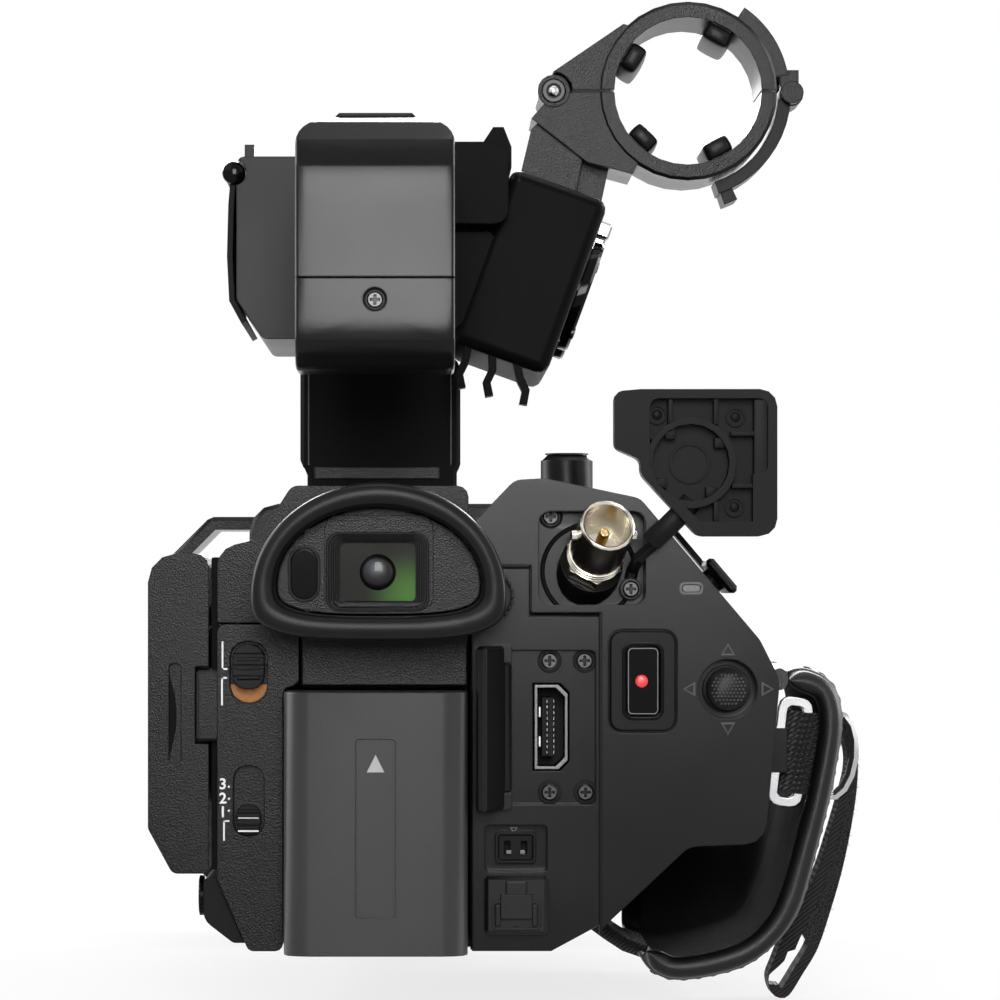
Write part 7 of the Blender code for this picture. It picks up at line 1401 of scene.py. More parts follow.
class CAMCORDER_OT_screws(bpy.types.Operator):
    """Sets the cross-head screws and the black rings round them that paint the shade of their pockets"""

    bl_idname = "camcorder.screws"
    bl_label = "Set screws"

    def execute(self, context):
        small = context.scene.camcorder_fittings.screw_radius / MM
        jack = [rear_place(x, z, "jack_panel", "grip_shell") for x, z in JACK_SCREWS]
        anchor = [rear_place(*TETHER_SCREW, "grip_shell", "jack_panel", "sdi_cap")]
        cap = [rear_place(*CAP_SCREW, "handle_rear_cap")]
        for name, places, radius in (
            ("jack_screws", jack + anchor, small), ("base_screws", base_places(BASE_SCREWS), 2.0),
            ("handle_screw", cap, 1.5),
        ):
            set_of_shapes(name, "body", "screw_black", places, screw_head(), radius)
        # Black rings round the screws: painted shade of their pockets.
        with moulding("screw_pockets", "body", "contact_black", "dark", smooth=40) as cage:
            for places, wide in ((jack, small * 1.4), (cap, 2.1)):
                profile = ((wide - 0.5, 0.2), (wide - 0.5, -0.02), (wide, 0.02), (wide + 0.1, 0.2))
                for (x, y, z), _ in places:
                    add_lathe(cage, profile, (x, y - 0.1, z), FORWARD, 28)
        return {"FINISHED"}


# Slide switches

SWITCH_X = -26.5
KNOBS = (   # node, body, height of its middle, and of its ridges from there
    ("auto_switch", "auto_knob", 50.4, (-1.5, 0.1, 1.7)),
    ("nd_switch", "filter_knob", 23.9, (-0.7, 1.6)),
)
KNOB_LINES = (24.4, 22.1)


class CAMCORDER_OT_switches(bpy.types.Operator):
    """Dresses the two slide switches: ridges, orange floor and white lines"""

    bl_idname = "camcorder.switches"
    bl_label = "Dress switches"

    def execute(self, context):
        floor = rear_at(SWITCH_X, 45.2, "left_shell", "battery_plate")
        # Only the slot's lower part is floored in orange; its upper part stays dark plastic, which paints the
        # shadow at the slot's top.
        slot = [p for p in rounded_rectangle(SWITCH_X, 49.8, 6.4, 10.7, 3.2, 10) if p[1] < 48.6]
        with moulding("mode_switch_floor", "body", "orange", "satin") as cage:
            add_prism(cage, slot, floor - 0.25, floor + 0.05)
        for node, body, z, rows in KNOBS:
            start = (SWITCH_X, rear_at(SWITCH_X, z, node) - 0.05, z + rows[0])
            row_of_ridges(
                node + "_ridges", body, "dark", start, (0, 0, rows[1] - rows[0]), len(rows),
                (3.9, 0.7, 0.5))
        with moulding("filter_switch_lines", "filter_knob", "ink", "dark") as cage:
            for z in KNOB_LINES:
                rear = rear_at(SWITCH_X, z, "nd_switch")
                add_block(cage, (-28.3, rear - 0.3, z - 0.14), (-24.7, rear + 0.3, z + 0.14))
        return {"FINISHED"}


# Sockets

POWER_SOCKET = (20.3, 19.0)
POWER_COVER = (20.3, 7.5)
COVER_HOLE = (20.3, 5.2)
COAXIAL_FOOT = Vector((33.3, -77, 67.6))
COAXIAL_AIM = Vector((0.155, -0.885, 0.44)).normalized()
COAXIAL_LENGTH = 18
COAXIAL_RINGS = (5.7, 6.5, 7.3)     # heights of the thread's rings
INSULATOR_PROFILE = ((0, 0), (3.2, 0), (3.2, 0.5), (2.4, 0.7), (1.4, 0.7), (1.2, 0.1), (0, 0.1))
AUDIO_LEAN = math.radians(20)
AUDIO_SOCKETS = (("xlr_socket_1", 2.0), ("xlr_socket_2", 35.0))
AUDIO_PIN_TURNS = (90, 210, 330)
AUDIO_PIN_RADIUS = 3.6
AUDIO_HOLE = ((0, 0.02), (0.9, 0.02), (1.2, 0.2), (1.35, 0.2), (1.4, -0.2))
AUDIO_SCREW_OFFSET = 7.2


class CAMCORDER_OT_sockets(bpy.types.Operator):
    """Dresses the sockets: contacts, insulators, pins and the ribs of the power cover"""

    bl_idname = "camcorder.sockets"
    bl_label = "Dress sockets"

    def execute(self, context):
        self.video()
        self.power()
        self.coaxial()
        self.audio()
        return {"FINISHED"}

    def video(self):
        """Tongue and contacts of the picture socket, seen in its mouth, whose walls are painted dark as
        shade.
        """
        with moulding("video_tongue", "body", "contact_black", "dark") as cage:
            add_block(cage, (25.9, -82.4, 35.0), (26.9, -74.0, 45.4), 0.15)
        for name, x in (("left", 25.82), ("right", 26.98)):
            row_of_ridges(
                f"video_contacts_{name}", "body", "dull_steel", (x, -80.6, 35.7), (0, 0, 1.0), 10,
                (0.14, 3.2, 0.5))
        with moulding("video_springs", "body", "dull_steel", "steel") as cage:
            for z in (37.6, 42.8):
                add_block(cage, (24.3, -82.6, z - 0.9), (24.7, -76.0, z + 0.9), 0.1)

    def power(self):
        """Pins of the power socket, the ribs of its rubber cover, and a black disc that paints the shade of
        the cover's hole.
        """
        row_of_ridges(
            "power_pins", "body", "socket_steel", (19.1, -81.2, 18.2), (2.4, 0, 0), 2,
            (0.9, 2.2, 0.7))
        with moulding("power_socket_frame", "body", "dark", "dark") as cage:
            add_frame(cage, POWER_SOCKET, (7.2, 5.6, 0.8), (6.1, 4.5, 0.5), -82.3, -80.0)
        rear = rear_at(16.0, 6.0, "dc_cover")
        with moulding("power_cover_ribs", "dc_cover", "rubber", "rubber") as cage:
            add_block(cage, (18.4, rear - 0.7, 9.6), (22.2, rear + 0.2, 13.6), 0.3)
            add_frame(cage, POWER_COVER, (8.6, 5.2, 0.9), (7.6, 4.2, 0.7), rear - 0.35, rear + 0.2)
            for x in (16.6, 23.0):
                add_block(cage, (x, rear - 0.6, 5.6), (x + 1.0, rear + 0.2, 9.4), 0.2)
        # The cover's hole is a black disc: painted shade.
        with moulding("power_cover_hole", "dc_cover", "contact_black", "rubber") as cage:
            place, way = rear_place(*COVER_HOLE, "dc_cover")
            add_lathe(cage, ((0, 0.03), (0.5, 0.03), (0.6, -0.2)), place, way, 20)

    def coaxial(self):
        """Centre pin, insulator, thread and seat of the coaxial socket."""
        foot, aim = COAXIAL_FOOT, COAXIAL_AIM
        mouth = foot + aim * COAXIAL_LENGTH
        depth = (mouth - strike("bnc_socket", mouth + aim * 5 + Vector((2.2, 0, 0)), -aim)).length
        floor = mouth - aim * depth
        with moulding("coaxial_insulator", "body", "insulator", "nickel", smooth=40) as cage:
            add_lathe(cage, INSULATOR_PROFILE, floor, aim, 28)
        tip = ((1.0, 3.4), (0.8, 2.8), (0.45, 2.7), (0.4, 3.6), (0, 3.6))
        with moulding("coaxial_pin", "body", "gold", "nickel", smooth=40) as cage:
            profile = [(0, 0), (1.0, 0)] + [(radius, depth - short) for radius, short in tip]
            add_lathe(cage, profile, floor, aim, 20)
        with moulding("coaxial_thread", "body", "nickel", "nickel", smooth=30) as cage:
            for height in COAXIAL_RINGS:
                ring = ((4.7, 0), (5.05, 0.12), (5.05, 0.4), (4.7, 0.52))
                add_lathe(cage, ring, foot + aim * height, aim, 32)
        with moulding("coaxial_seat_ring", "body", "dark", "dark", smooth=40) as cage:
            add_lathe(cage, ((8.6, 0), (8.6, 0.5), (8.2, 0.7), (7.8, 0.5), (7.8, 0)), foot, REARWARD, 40)

    def audio(self):
        """Black discs that paint the shade of the pin holes in the faces of the two audio sockets, and the
        screws of their flanges.
        """
        out = Vector((math.cos(AUDIO_LEAN), 0, -math.sin(AUDIO_LEAN)))
        up = Vector((math.sin(AUDIO_LEAN), 0, math.cos(AUDIO_LEAN)))
        screws = []
        # The pin holes are black discs: painted shade.
        with moulding("audio_pin_holes", "body", "contact_black", "dark", smooth=40) as cage:
            for node, y in AUDIO_SOCKETS:
                low, high = [Vector(c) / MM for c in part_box(node)]
                start = Vector(((low.x + high.x) / 2, y, (low.z + high.z) / 2)) + out * 60
                for turn in [math.radians(angle) for angle in AUDIO_PIN_TURNS]:
                    across = Vector((0, AUDIO_PIN_RADIUS * math.cos(turn), 0))
                    face = strike(node, start + across + up * AUDIO_PIN_RADIUS * math.sin(turn), -out)
                    if face:
                        add_lathe(cage, AUDIO_HOLE, face, out, 16)
                for offset in (-AUDIO_SCREW_OFFSET, AUDIO_SCREW_OFFSET):
                    face = strike(node, start + Vector((0, offset, 0)) + up * offset, -out)
                    if face:
                        screws.append((face, out))
        set_of_shapes("audio_flange_screws", "body", "screw_black", screws, screw_head(), 1.2)


# Rubber cap of the coaxial socket

CAP_CUP = (50.3, 86.2, 7.8)
CAP_TRAY = [(52.0, 76.0), (61.0, 76.0), (61.0, 84.6), (58.2, 84.6)]
CAP_RIBS = (
    ((46.4, 93.0), (47.2, 97.2)), ((54.25, 92.8), (55.05, 97.2)), ((54.25, 76.0), (55.05, 79.6)),
    ((57.2, 90.85), (61.3, 91.65)), ((57.4, 81.84), (61.3, 82.64)), ((43.2, 90.2), (44.2, 91.0)),
)
CAP_ROUNDS = ((58.2, 94.2), (58.0, 78.6), (44.6, 94.6))
CAP_LUG_TURNS = (35, 125, 215, 305)
CAP_LUG_RADIUS = 6.1
CAP_TETHER = ((50.6, 0.6, 79.6), (48.6, -0.2, 77.4), (46.2, -0.2, 75.0), (44.4, 0.2, 73.4), (43.6, 0.6, 72.4))


class CAMCORDER_OT_cap(bpy.types.Operator):
    """Dresses the rubber cap: sunk tray, tether, ribs, round marks and the lugs in its cup"""

    bl_idname = "camcorder.cap"
    bl_label = "Dress rubber cap"

    def execute(self, context):
        rear = rear_at(64.4, 90.0, "sdi_cap")
        floor = rear_at(61.6, 91.0, "sdi_cap")
        self.shell(rear, floor)
        self.tether()
        self.ribs(rear, floor)
        self.lugs(rear)
        return {"FINISHED"}

    def shell(self, rear, floor):
        """The cap's skin with a tray sunk beside its cup."""
        x, z, radius = CAP_CUP
        skin = skin_of("sdi_cap")
        cutter = bmesh.new()
        arc = [math.radians(angle) for angle in range(-8, -103, -8)]
        beside = [(x + (radius + 0.1) * math.cos(a), z + (radius + 0.1) * math.sin(a)) for a in arc]
        add_prism(cutter, CAP_TRAY + beside, rear - 2, floor)
        tool = piece_from("cap_cutter", cutter)
        carve = skin.modifiers.new("tray", "BOOLEAN")
        carve.object = tool
        carve.operation = "DIFFERENCE"
        carve.solver = "EXACT"
        skin = flattened("sdi_cap_shell", skin)
        bpy.data.objects.remove(tool)
        fit(skin, "sdi_cap", "cap_rubber", ("sdi_cap",))
        # The cup's inner faces take the shade finish: painted shade inside the cup.
        second_finish(skin, "shade", in_cap_cup)

    def tether(self):
        """Broad band between the cap and the neck of its tether."""
        rear = rear_at(46.0, 74.4, "sdi_cap")
        with moulding("sdi_cap_tether", "sdi_cap", "cap_rubber", "rubber", smooth=50) as cage:
            add_sweep(cage, [(x, rear + ahead, z) for x, ahead, z in CAP_TETHER], 0.75, 12, 2.5)

    def ribs(self, rear, floor):
        with moulding("sdi_cap_ribs", "sdi_cap", "cap_rubber", "rubber", smooth=30) as cage:
            add_block(cage, (61.2, rear + 0.02, 76.4), (63.5, floor + 0.1, 97.1), 0.25)
            for low, high in CAP_RIBS:
                add_block(cage, (low[0], rear + 0.5, low[1]), (high[0], floor + 0.1, high[1]), 0.15)
            for x, z in CAP_ROUNDS:
                ring = ((1.35, 0), (1.35, 0.75), (1.75, 0.75), (1.75, 0))
                add_lathe(cage, ring, (x, floor + 0.05, z), REARWARD, 24)
                add_lathe(cage, ((0, 0.1), (0.7, 0.1), (0.9, 0)), (x, floor - 0.1, z), REARWARD, 20)

    def lugs(self, rear):
        x, z, _ = CAP_CUP
        deep = rear_at(x, z, "sdi_cap")
        with moulding("sdi_cap_lugs", "sdi_cap", "cap_rubber", "rubber", smooth=30) as cage:
            for turn in [math.radians(angle) for angle in CAP_LUG_TURNS]:
                middle = Vector((x, 0, z)) + Vector((math.cos(turn), 0, math.sin(turn))) * CAP_LUG_RADIUS
                low = (middle.x - 0.9, rear + 1.2, middle.z - 0.9)
                add_block(cage, low, (middle.x + 0.9, deep + 0.1, middle.z + 0.9), 0.3)
            add_lathe(cage, ((3.1, 0), (3.1, 0.6), (3.6, 0.6), (3.6, 0)), (x, deep + 0.05, z), REARWARD, 32)


# Controls on the grip

STICK = (57.4, 46.9)
STUDDED_RADIUS = 3.1
POWER_LAMP = (51.0, 64.5)
TOP_BUTTON = (30, -58)
RECORD_BUTTON = (42.5, 48.3)
RECORD_DOT = (42.25, 48.3)


class CAMCORDER_OT_controls(bpy.types.Operator):
    """Dresses the record button, joystick, power lamp and top button"""

    bl_idname = "camcorder.controls"
    bl_label = "Dress controls"

    def execute(self, context):
        self.record()
        self.knurl(context.scene.camcorder_fittings.knurl_pitch / MM)
        rear = rear_at(51.0, 66.2, "grip_shell")
        with moulding("power_lamp_rim", "body", "engraved", "dark") as cage:
            add_frame(cage, POWER_LAMP, (4.3, 2.3, 0.9), (3.3, 1.3, 0.6), rear - 0.12, rear + 0.3)
        top = strike("top_button", (*TOP_BUTTON, FAR_ABOVE), DOWN).z
        with moulding("top_button_rings", "top_button", "rubber", "rubber", smooth=40) as cage:
            for middle in (1.3, 2.5, 3.7):
                inner = ((middle - 0.25, -0.1), (middle - 0.2, 0.12))
                profile = inner + ((middle + 0.2, 0.12), (middle + 0.25, -0.1))
                add_lathe(cage, profile, (*TOP_BUTTON, top), UP, 28)
        return {"FINISHED"}

    def record(self):
        """Red dot, a pale line painted along the edge as a highlight, and inner frame of the record button.
        """
        rear = rear_at(42.3, 48.3, "start_button")
        with moulding("record_dot", "start_button", "record_red", "gloss", smooth=60) as cage:
            profile = ((0, 0.16), (0.6, 0.15), (1.0, 0.08), (1.15, -0.05))
            add_lathe(cage, profile, (RECORD_DOT[0], rear, RECORD_DOT[1]), REARWARD, 28)
        low, high = [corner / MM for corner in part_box("start_button")]
        wide, tall = high.x - low.x - 0.3, high.z - low.z - 0.3
        # A pale frame round the button's face: painted highlight along its edge.
        with moulding("record_edge", "start_button", "lamp", "gloss") as cage:
            inner = (wide - 0.36, tall - 0.36, 0.65)
            add_frame(cage, RECORD_BUTTON, (wide, tall, 0.8), inner, rear - 0.05, rear + 0.1)
        with moulding("record_inner_frame", "body", "gloss", "gloss") as cage:
            add_frame(cage, RECORD_BUTTON, (7.4, 13.7, 1.9), (6.2, 12.5, 1.5), -85.75, -84.6)

    def knurl(self, pitch):
        """Rows of small studs on the joystick's cap."""
        stud = bmesh.new()
        bmesh.ops.create_cone(stud, cap_ends=True, segments=4, radius1=0.62, radius2=0.3, depth=0.6)
        places = []
        steps = int(3.3 / pitch)
        for row in range(-steps, steps + 1):
            for column in range(-steps, steps + 1):
                x = (column + 0.5 * (row % 2)) * pitch
                z = row * pitch
                if math.hypot(x, z) < STUDDED_RADIUS:
                    x += STICK[0]
                    z += STICK[1]
                    places.append(((x, rear_at(x, z, "stick_cap") - 0.08, z), REARWARD))
        set_of_shapes("joystick_knurl", "stick_cap", "knurl", places, stud, pitch * 0.8)


# Screen, handle, microphone holder, lens and base

PANEL_SEAMS = (
    ((34.9, 4.0), (35.4, 60.5)), ((22.7, 60.2), (35.2, 60.6)),
    ((22.7, 60.3), (23.1, 68.5)), ((12.6, 68.2), (22.9, 68.7)),
)
NOTCH_STEPS = 12
LEG_SEAMS = (-18.4, 9.6)
AUDIO_HINGE = (-31.85, 143.5)
HOLDER_HINGE = (29.8, 162.6)
HOLDER_PADS = (("upper", "mic_clamp", (62, 148)), ("lower", "body", (-62, -134)))
HOLDER_PAD_SIZE = (4.4, 24.6, 6.2)
LENS_Z = 41
LENS_STEPS = ((30.4, 116.6), (28.6, 114.8), (26.8, 113.0))


class CAMCORDER_OT_screen(bpy.types.Operator):
    """Dresses the pod's dial, the side buttons, the screen's notch and a strip in the gap beside the screen,
    both dark pieces that paint shade, and the jack panel's seams
    """

    bl_idname = "camcorder.screen"
    bl_label = "Dress screen"

    def execute(self, context):
        ring_of_ribs(
            "pod_dial_ribs", "manual_dial", "dark", (-35.4, -68, 9.8), RIGHT, 3.4, 24,
            (0.3, 0.45, 0.8))
        side = strike("left_shell", (FAR_LEFT, -40, 40), RIGHT).x
        row_of_ridges(
            "side_buttons", "body", "rubber", (side - 0.2, -60, 34), (0, 9, 0), 6, (0.9, 6.0, 3.2))
        rear = rear_at(-40.2, 42.0, "lcd_panel")
        bulge = [
            (-40.9 + 1.6 * math.sin(math.pi * t / NOTCH_STEPS), 50.4 - 16.4 * t / NOTCH_STEPS)
            for t in range(NOTCH_STEPS + 1)]
        # The notch is a dark raised spindle: painted shade for the recess.
        with moulding("screen_notch", "screen", "shade", "dark") as cage:
            add_prism(cage, bulge, rear - 0.3, rear + 0.4, 0.28)
        # A dark strip on the body fills the gap beside the screen: painted shade.
        with moulding("screen_gasket", "body", "shade", "dark") as cage:
            add_block(cage, (side - 1.2, -80.0, 15.0), (side + 0.1, -78.0, 70.0))
        with moulding("panel_seams", "body", "dark", "dark") as cage:
            for low, high in PANEL_SEAMS:
                add_block(cage, (low[0], REAR + 0.14, low[1]), (high[0], REAR + 3, high[1]))
        return {"FINISHED"}


class CAMCORDER_OT_handle(bpy.types.Operator):
    """Dresses the handle: grip ridges, foot strip, leg seams and the cap of the audio door's hinge"""

    bl_idname = "camcorder.handle"
    bl_label = "Dress handle"

    def execute(self, context):
        top = strike("handle", (HANDLE_X, -60, FAR_ABOVE), DOWN).z
        row_of_ridges(
            "handle_ridges", "body", "rubber", (HANDLE_X, -70, top), (0, 4.4, 0), 25,
            (11.5, 1.4, 0.5))
        rear = rear_at(HANDLE_X, 96.0, "handle_leg")
        with moulding("leg_foot_strip", "body", "grained", "grained") as cage:
            add_block(cage, (-17.3, rear - 0.5, 86.2), (7.4, rear + 0.3, 88.7), 0.25)
        with moulding("leg_seams", "body", "engraved", "dark") as cage:
            for x in LEG_SEAMS:
                add_block(cage, (x - 0.12, rear - 0.06, 89.0), (x + 0.12, rear + 0.3, 107.0))
        with moulding("audio_hinge_cap", "audio_door", "gloss", "gloss", smooth=40) as cage:
            place, way = rear_place(*AUDIO_HINGE, "audio_door", "audio_box")
            add_lathe(cage, ((0, 0.5), (1.5, 0.45), (2.1, 0.1), (2.2, -0.6)), place, way, 28)
        return {"FINISHED"}


class CAMCORDER_OT_microphone_holder(bpy.types.Operator):
    """Dresses the microphone holder: rubber pads, and the washer and pin of its hinge"""

    bl_idname = "camcorder.microphone_holder"
    bl_label = "Dress microphone holder"

    def execute(self, context):
        for name, body, angles in HOLDER_PADS:
            pads = bmesh.new()
            for angle in angles:
                self.pad(pads, math.radians(angle))
            pads = smoothed(f"holder_pads_{name}", piece_from(f"holder_pad_{name}", pads), 2)
            fit(pads, body, "rubber")
        place, way = rear_place(*HOLDER_HINGE, "mic_clamp_upper", "mic_clamp_lower")
        with moulding("holder_hinge_washer", "body", "gloss", "gloss", smooth=40) as cage:
            add_lathe(cage, ((1.3, 0), (1.4, 0.35), (2.2, 0.35), (2.5, -0.1)), place, way, 28)
        with moulding("holder_hinge_pin", "body", "steel", "steel", smooth=60) as cage:
            add_lathe(cage, ((0, 0.55), (0.6, 0.5), (1.05, 0.3), (1.2, -0.1)), place, way, 24)
        return {"FINISHED"}

    def pad(self, cage, angle):
        """Rounded rubber pad on the inside of the ring."""
        made = bmesh.ops.create_cube(cage, size=1.0)["verts"]
        bmesh.ops.scale(cage, vec=HOLDER_PAD_SIZE, verts=made)
        edges = list(dict.fromkeys(e for v in made for e in v.link_edges))
        bevel = bmesh.ops.bevel(cage, geom=edges, offset=0.9, segments=1, profile=0.5, affect="EDGES")
        parts = list(set(bevel["verts"]) | {v for v in made if v.is_valid})
        middle = Matrix.Translation((MIC_CENTRE[0], 32.5, MIC_CENTRE[1]))
        place = middle @ Matrix.Rotation(-angle, 4, "Y") @ Matrix.Translation((12.6, 0, 0))
        bmesh.ops.transform(cage, matrix=place, verts=parts)


class CAMCORDER_OT_lens(bpy.types.Operator):
    """Dresses the lens: ribs of its ring and the stepped rings round the front glass"""

    bl_idname = "camcorder.lens"
    bl_label = "Dress lens"

    def execute(self, context):
        count = context.scene.camcorder_fittings.lens_ribs
        ring_of_ribs(
            "lens_ring_ribs", "lens_ring", "rubber", (0, 98.6, LENS_Z), FORWARD, 36.0, count,
            (0.9, 1.5, 17.0))
        with moulding("lens_steps", "body", "contact_black", "dark", smooth=30) as cage:
            for radius, y in LENS_STEPS:
                profile = ((radius + 1.6, 0), (radius + 1.6, 0.5), (radius, 0.5), (radius - 0.2, 0))
                add_lathe(cage, profile, (0, y, LENS_Z), FORWARD, 64)
        return {"FINISHED"}


class CAMCORDER_OT_underside(bpy.types.Operator):
    """Sets the rubber feet under the base"""

    bl_idname = "camcorder.underside"
    bl_label = "Set feet"

    def execute(self, context):
        foot = bmesh.new()
        add_lathe(foot, ((1, -0.1), (1, 0.1), (0.9, 0.2), (0, 0.2)), (0, 0, 0), UP, 24)
        set_of_shapes("base_feet", "body", "rubber", base_places(BASE_FEET), foot, 3.2)
        return {"FINISHED"}


# Printed and moulded marks

BRACKETS = (
    ((-31.06, 55.1), (-31.06, 50.4), (-30.35, 50.4)),
    ((-30.45, 48.85), (-31.15, 48.85), (-31.15, 44.2)),
    ((-30.0, 23.8), (-30.8, 23.8), (-30.8, 20.5)),
)
DIGITS = (("3", -31.0, 30.2), ("2", -31.0, 27.7), ("1", -31.0, 25.3))
DIGIT_SHARE = 0.72          # a digit's height over its type size
DOTS = ((-29.95, 29.8), (-29.95, 27.7), (-29.95, 25.6))
POINTERS = ((0, 53.7 - STICK[1]), (0, 40.1 - STICK[1]), (50.75 - STICK[0], 0), (64.2 - STICK[0], 0))
POINTER_TIP, POINTER_FOOT, POINTER_HALF = 1.25, 0.95, 1.3
BATTERY_LABEL = (-4.1, 23.4)
BATTERY_ARROW = ((-4.1, 36.0), (-5.6, 33.0), (-2.6, 33.0))
POWER_POINTER = ((20.0, 21.3), (19.3, 22.5), (20.7, 22.5))
POWER_POINTER_INSIDE = ((20.0, 21.7), (19.65, 22.3), (20.35, 22.3))


class CAMCORDER_OT_marks(bpy.types.Operator):
    """Prints the plain marks: brackets, numbers, dots, pointers and an arrow"""

    bl_idname = "camcorder.marks"
    bl_label = "Print marks"

    def execute(self, context):
        sizes = context.scene.camcorder_fittings
        rear = rear_at(-28.0, 36.0, "left_shell")
        self.lines(sizes.line_width / MM, rear)
        self.digits(sizes.digit_height, rear)
        self.pointers()
        self.arrow()
        return {"FINISHED"}

    def lines(self, width, rear):
        with moulding("switch_marks", "body", "ink", "grained") as cage:
            for points in BRACKETS:
                for a, b in zip(points, points[1:]):
                    low = (min(a[0], b[0]) - width / 2, rear - 0.05, min(a[1], b[1]) - width / 2)
                    high = (max(a[0], b[0]) + width / 2, rear + 0.1, max(a[1], b[1]) + width / 2)
                    add_block(cage, low, high)
            for x, z in DOTS:
                add_prism(cage, dot_outline(x, z, 0.2, 10), rear - 0.05, rear + 0.1)

    def digits(self, height, rear):
        with moulding("switch_numbers", "body", "ink", "grained") as whole:
            for text, x, z in DIGITS:
                curve = bpy.data.curves.new("digit", "FONT")
                curve.body = text
                curve.size = height / DIGIT_SHARE
                curve.extrude = 0.05 * MM
                curve.offset = 0.03 * height
                curve.align_x = "CENTER"
                curve.align_y = "CENTER"
                made = flattened("digit_" + text, link("digit_scaffold_" + text, curve))
                upright = Matrix.Rotation(math.pi / 2, 4, "X")
                made.data.transform(Matrix.Translation(Vector((x, rear, z)) * MM) @ upright)
                whole.from_mesh(made.data)
                bpy.data.objects.remove(made)
            bmesh.ops.scale(whole, vec=(1 / MM, 1 / MM, 1 / MM), verts=whole.verts)

    def pointers(self):
        """Outlined pointers moulded round the joystick."""
        with moulding("joystick_pointers", "body", "engraved", "dark") as cage:
            for offset in POINTERS:
                way = Vector(offset).normalized()
                across = Vector((-way.y, way.x))
                middle = Vector(STICK) + Vector(offset)
                rings = []
                for size in (1.0, 0.62):
                    foot = middle - way * POINTER_FOOT * size
                    half = across * POINTER_HALF * size
                    tip = middle + way * POINTER_TIP * size
                    rings.append([tuple(tip), tuple(foot + half), tuple(foot - half)])
                rear = rear_at(middle.x, middle.y, "grip_shell")
                add_ring(cage, *rings, rear - 0.1, rear + 0.2)

    def arrow(self):
        """Plain arrow, a dark frame that paints the shade at the edge of the battery's label recess, and the
        pointer over the power socket.
        """
        rear = rear_at(-4.1, 33.0, "battery")
        with moulding("battery_arrow", "battery", "pale_ink", "battery_grey") as cage:
            add_prism(cage, BATTERY_ARROW, rear - 0.05, rear + 0.1)
        over = rear_at(20.0, 22.6, "jack_panel", "dc_socket")
        with moulding("power_pointer", "body", "pale_ink", "dark") as cage:
            add_ring(cage, POWER_POINTER, POWER_POINTER_INSIDE, over - 0.06, over + 0.2)
        # A dark frame along the label recess's edge: painted shade on the recess wall.
        with moulding("battery_label_edge", "battery", "engraved", "dark") as cage:
            add_frame(cage, BATTERY_LABEL, (7.3, 31.1, 0.8), (6.9, 30.7, 0.6), rear - 0.48, rear)


# Stage, its lamps and places in metres

LAMP_AIM = Vector((0.005, -0.02, 0.07))
LAMPS = (   # place, size and the setting that holds its power
    ("key", (0.02, -1.68, 0.42), (0.4, 0.6), "key_power"),
    ("broad", (-0.95, -1.3, 1.1), (1.3, 1.1), "fill_power"),
    ("fill", (1.5, -1.3, 0.55), (1.2, 1.4), "fill_power"),
    ("top", (0.1, -0.1, 1.7), (1.2, 0.8), "fill_power"),
    ("rim_left", (-1.5, 0.5, 0.6), (1.0, 1.2), "rim_power"),
    ("rim_right", (1.5, 0.5, 0.6), (1.0, 1.2), "rim_power"),
    ("rim_front", (0.1, 1.9, 0.8), (1.2, 1.0), "rim_power"),
)
CAMERA_SHIFT = (0.08, 0.10)
CAMERA_PLACE = (3.5, 62.475)    # millimetres in X and Z
FLOOR_GAP = 0.0004
FLOOR_HALF = 6.0
WHITE = (1, 1, 1, 1)


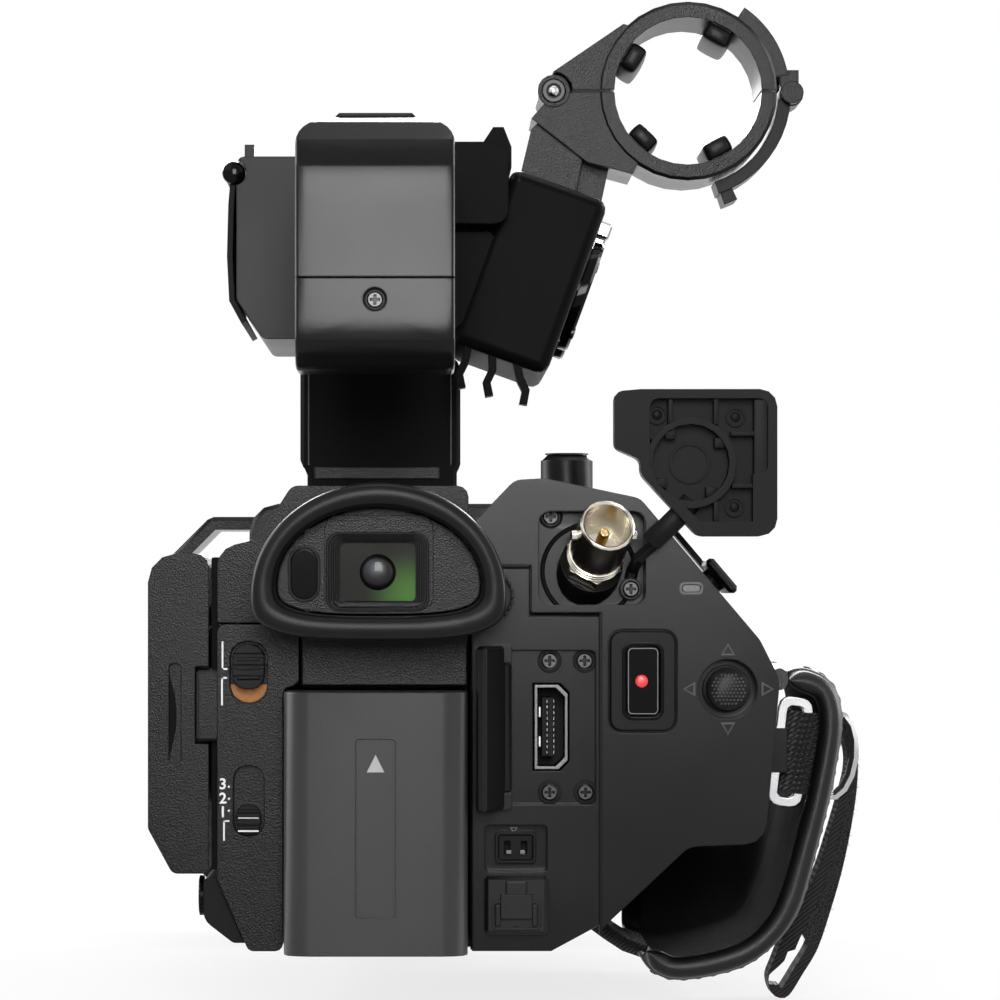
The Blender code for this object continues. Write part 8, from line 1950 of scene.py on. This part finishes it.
class CAMCORDER_OT_stage(bpy.types.Operator):
    """Sets the pale floor, the soft lamps and the camera"""

    bl_idname = "camcorder.stage"
    bl_label = "Set stage"

    def execute(self, context):
        studio = context.scene.camcorder_studio
        self.world(studio)
        self.floor(studio)
        for name, place, size, power in LAMPS:
            self.lamp(name, place, size, getattr(studio, power))
        camera = bpy.data.cameras.new("photo_camera")
        camera.lens = studio.focal
        camera.sensor_width = 36.0
        camera.shift_x, camera.shift_y = CAMERA_SHIFT
        camera.clip_start, camera.clip_end = 0.05, 50.0
        holder = link("photo_camera", camera)
        x, z = CAMERA_PLACE
        holder.location = (x * MM, REAR * MM - studio.distance, z * MM)
        holder.rotation_euler = (math.pi / 2, 0, 0)
        context.scene.camera = holder
        context.scene.view_settings.view_transform = "Standard"
        return {"FINISHED"}

    def world(self, studio):
        world = bpy.data.worlds.new("studio")
        bpy.context.scene.world = world
        world.use_nodes = True
        tree = world.node_tree
        tree.nodes.clear()
        end = tree.nodes.new("ShaderNodeOutputWorld")
        seen = put_node(tree, "ShaderNodeBackground", {"Color": WHITE, "Strength": 1.0})
        around = put_node(tree, "ShaderNodeBackground", {"Color": WHITE, "Strength": studio.ambience})
        self.mix_seen(tree, around, seen, end)

    def mix_seen(self, tree, plain, seen, end):
        """Shows the second shader to camera, mirror and glass rays, the first to all others."""
        path = put_node(tree, "ShaderNodeLightPath")
        one = put_node(tree, "ShaderNodeMath", {
            0: path.outputs["Is Camera Ray"], 1: path.outputs["Is Glossy Ray"]}, operation="MAXIMUM")
        two = put_node(tree, "ShaderNodeMath", {
            0: one, 1: path.outputs["Is Transmission Ray"]}, operation="MAXIMUM")
        mix = put_node(tree, "ShaderNodeMixShader", {0: two, 1: plain, 2: seen})
        tree.links.new(mix.outputs[0], end.inputs["Surface"])

    def floor(self, studio):
        low = CAD_BOX[0].z - FLOOR_GAP
        cage = bmesh.new()
        bmesh.ops.create_grid(cage, x_segments=1, y_segments=1, size=FLOOR_HALF / MM)
        bmesh.ops.translate(cage, vec=(0, 0, low / MM), verts=cage.verts)
        floor = piece_from("studio_floor", cage, outward=False)
        material = bpy.data.materials.new("studio_floor")
        material.use_nodes = True
        tree = material.node_tree
        tree.nodes.clear()
        end = tree.nodes.new("ShaderNodeOutputMaterial")
        matt = put_node(tree, "ShaderNodeBsdfDiffuse", {"Color": (*studio.floor, 1.0)})
        light = put_node(tree, "ShaderNodeEmission", {"Color": WHITE, "Strength": 1.0})
        place = put_node(tree, "ShaderNodeTexCoord")
        away = put_node(tree, "ShaderNodeVectorMath", {0: place.outputs["Object"]}, operation="LENGTH")
        fade = put_node(tree, "ShaderNodeMapRange", {
            "Value": away.outputs["Value"], 1: 0.12, 2: 0.7, 3: 0.78, 4: 1.0})
        half = put_node(tree, "ShaderNodeMixShader", {0: fade, 1: matt, 2: light})
        self.mix_seen(tree, matt, half, end)
        floor.data.materials.append(material)

    def lamp(self, name, place, size, power):
        lamp = bpy.data.lights.new(name, "AREA")
        lamp.shape = "RECTANGLE"
        lamp.size, lamp.size_y = size
        lamp.energy = power
        holder = link(name, lamp)
        holder.location = place
        holder.rotation_euler = (LAMP_AIM - Vector(place)).to_track_quat("-Z", "Y").to_euler()


class CAMCORDER_PT_dressing(bpy.types.Panel):
    """Lists the dressing steps and their sizes"""

    bl_idname = "CAMCORDER_PT_dressing"
    bl_label = "Camcorder dressing"
    bl_space_type = "VIEW_3D"
    bl_region_type = "UI"
    bl_category = "Camcorder"

    def draw(self, context):
        for operator in OPERATORS:
            self.layout.operator(operator.bl_idname)
        for name, group in GROUPS.items():
            box = self.layout.box()
            for key in group.__annotations__:
                box.prop(getattr(context.scene, name), key)


GROUPS = {
    "camcorder_finish": CamcorderFinish,
    "camcorder_strap": CamcorderStrap,
    "camcorder_fittings": CamcorderFittings,
    "camcorder_studio": CamcorderStudio,
}
OPERATORS = (
    CAMCORDER_OT_finishes,
    CAMCORDER_OT_shells,
    CAMCORDER_OT_strap,
    CAMCORDER_OT_eyepiece,
    CAMCORDER_OT_screws,
    CAMCORDER_OT_switches,
    CAMCORDER_OT_sockets,
    CAMCORDER_OT_cap,
    CAMCORDER_OT_controls,
    CAMCORDER_OT_screen,
    CAMCORDER_OT_handle,
    CAMCORDER_OT_microphone_holder,
    CAMCORDER_OT_lens,
    CAMCORDER_OT_underside,
    CAMCORDER_OT_marks,
    CAMCORDER_OT_stage,
)


def register():
    for name, group in GROUPS.items():
        bpy.utils.register_class(group)
        setattr(bpy.types.Scene, name, bpy.props.PointerProperty(type=group))
    for operator in OPERATORS:
        bpy.utils.register_class(operator)
    bpy.utils.register_class(CAMCORDER_PT_dressing)


def unregister():
    bpy.utils.unregister_class(CAMCORDER_PT_dressing)
    for operator in reversed(OPERATORS):
        bpy.utils.unregister_class(operator)
    for name, group in GROUPS.items():
        delattr(bpy.types.Scene, name)
        bpy.utils.unregister_class(group)


def main():
    register()
    bpy.ops.camcorder.finishes()
    bpy.ops.camcorder.shells()
    bpy.ops.camcorder.strap()
    bpy.ops.camcorder.eyepiece()
    bpy.ops.camcorder.screws()
    bpy.ops.camcorder.switches()
    bpy.ops.camcorder.sockets()
    bpy.ops.camcorder.cap()
    bpy.ops.camcorder.controls()
    bpy.ops.camcorder.screen()
    bpy.ops.camcorder.handle()
    bpy.ops.camcorder.microphone_holder()
    bpy.ops.camcorder.lens()
    bpy.ops.camcorder.underside()
    bpy.ops.camcorder.marks()
    bpy.ops.camcorder.stage()


if __name__ == "__main__":
    main()
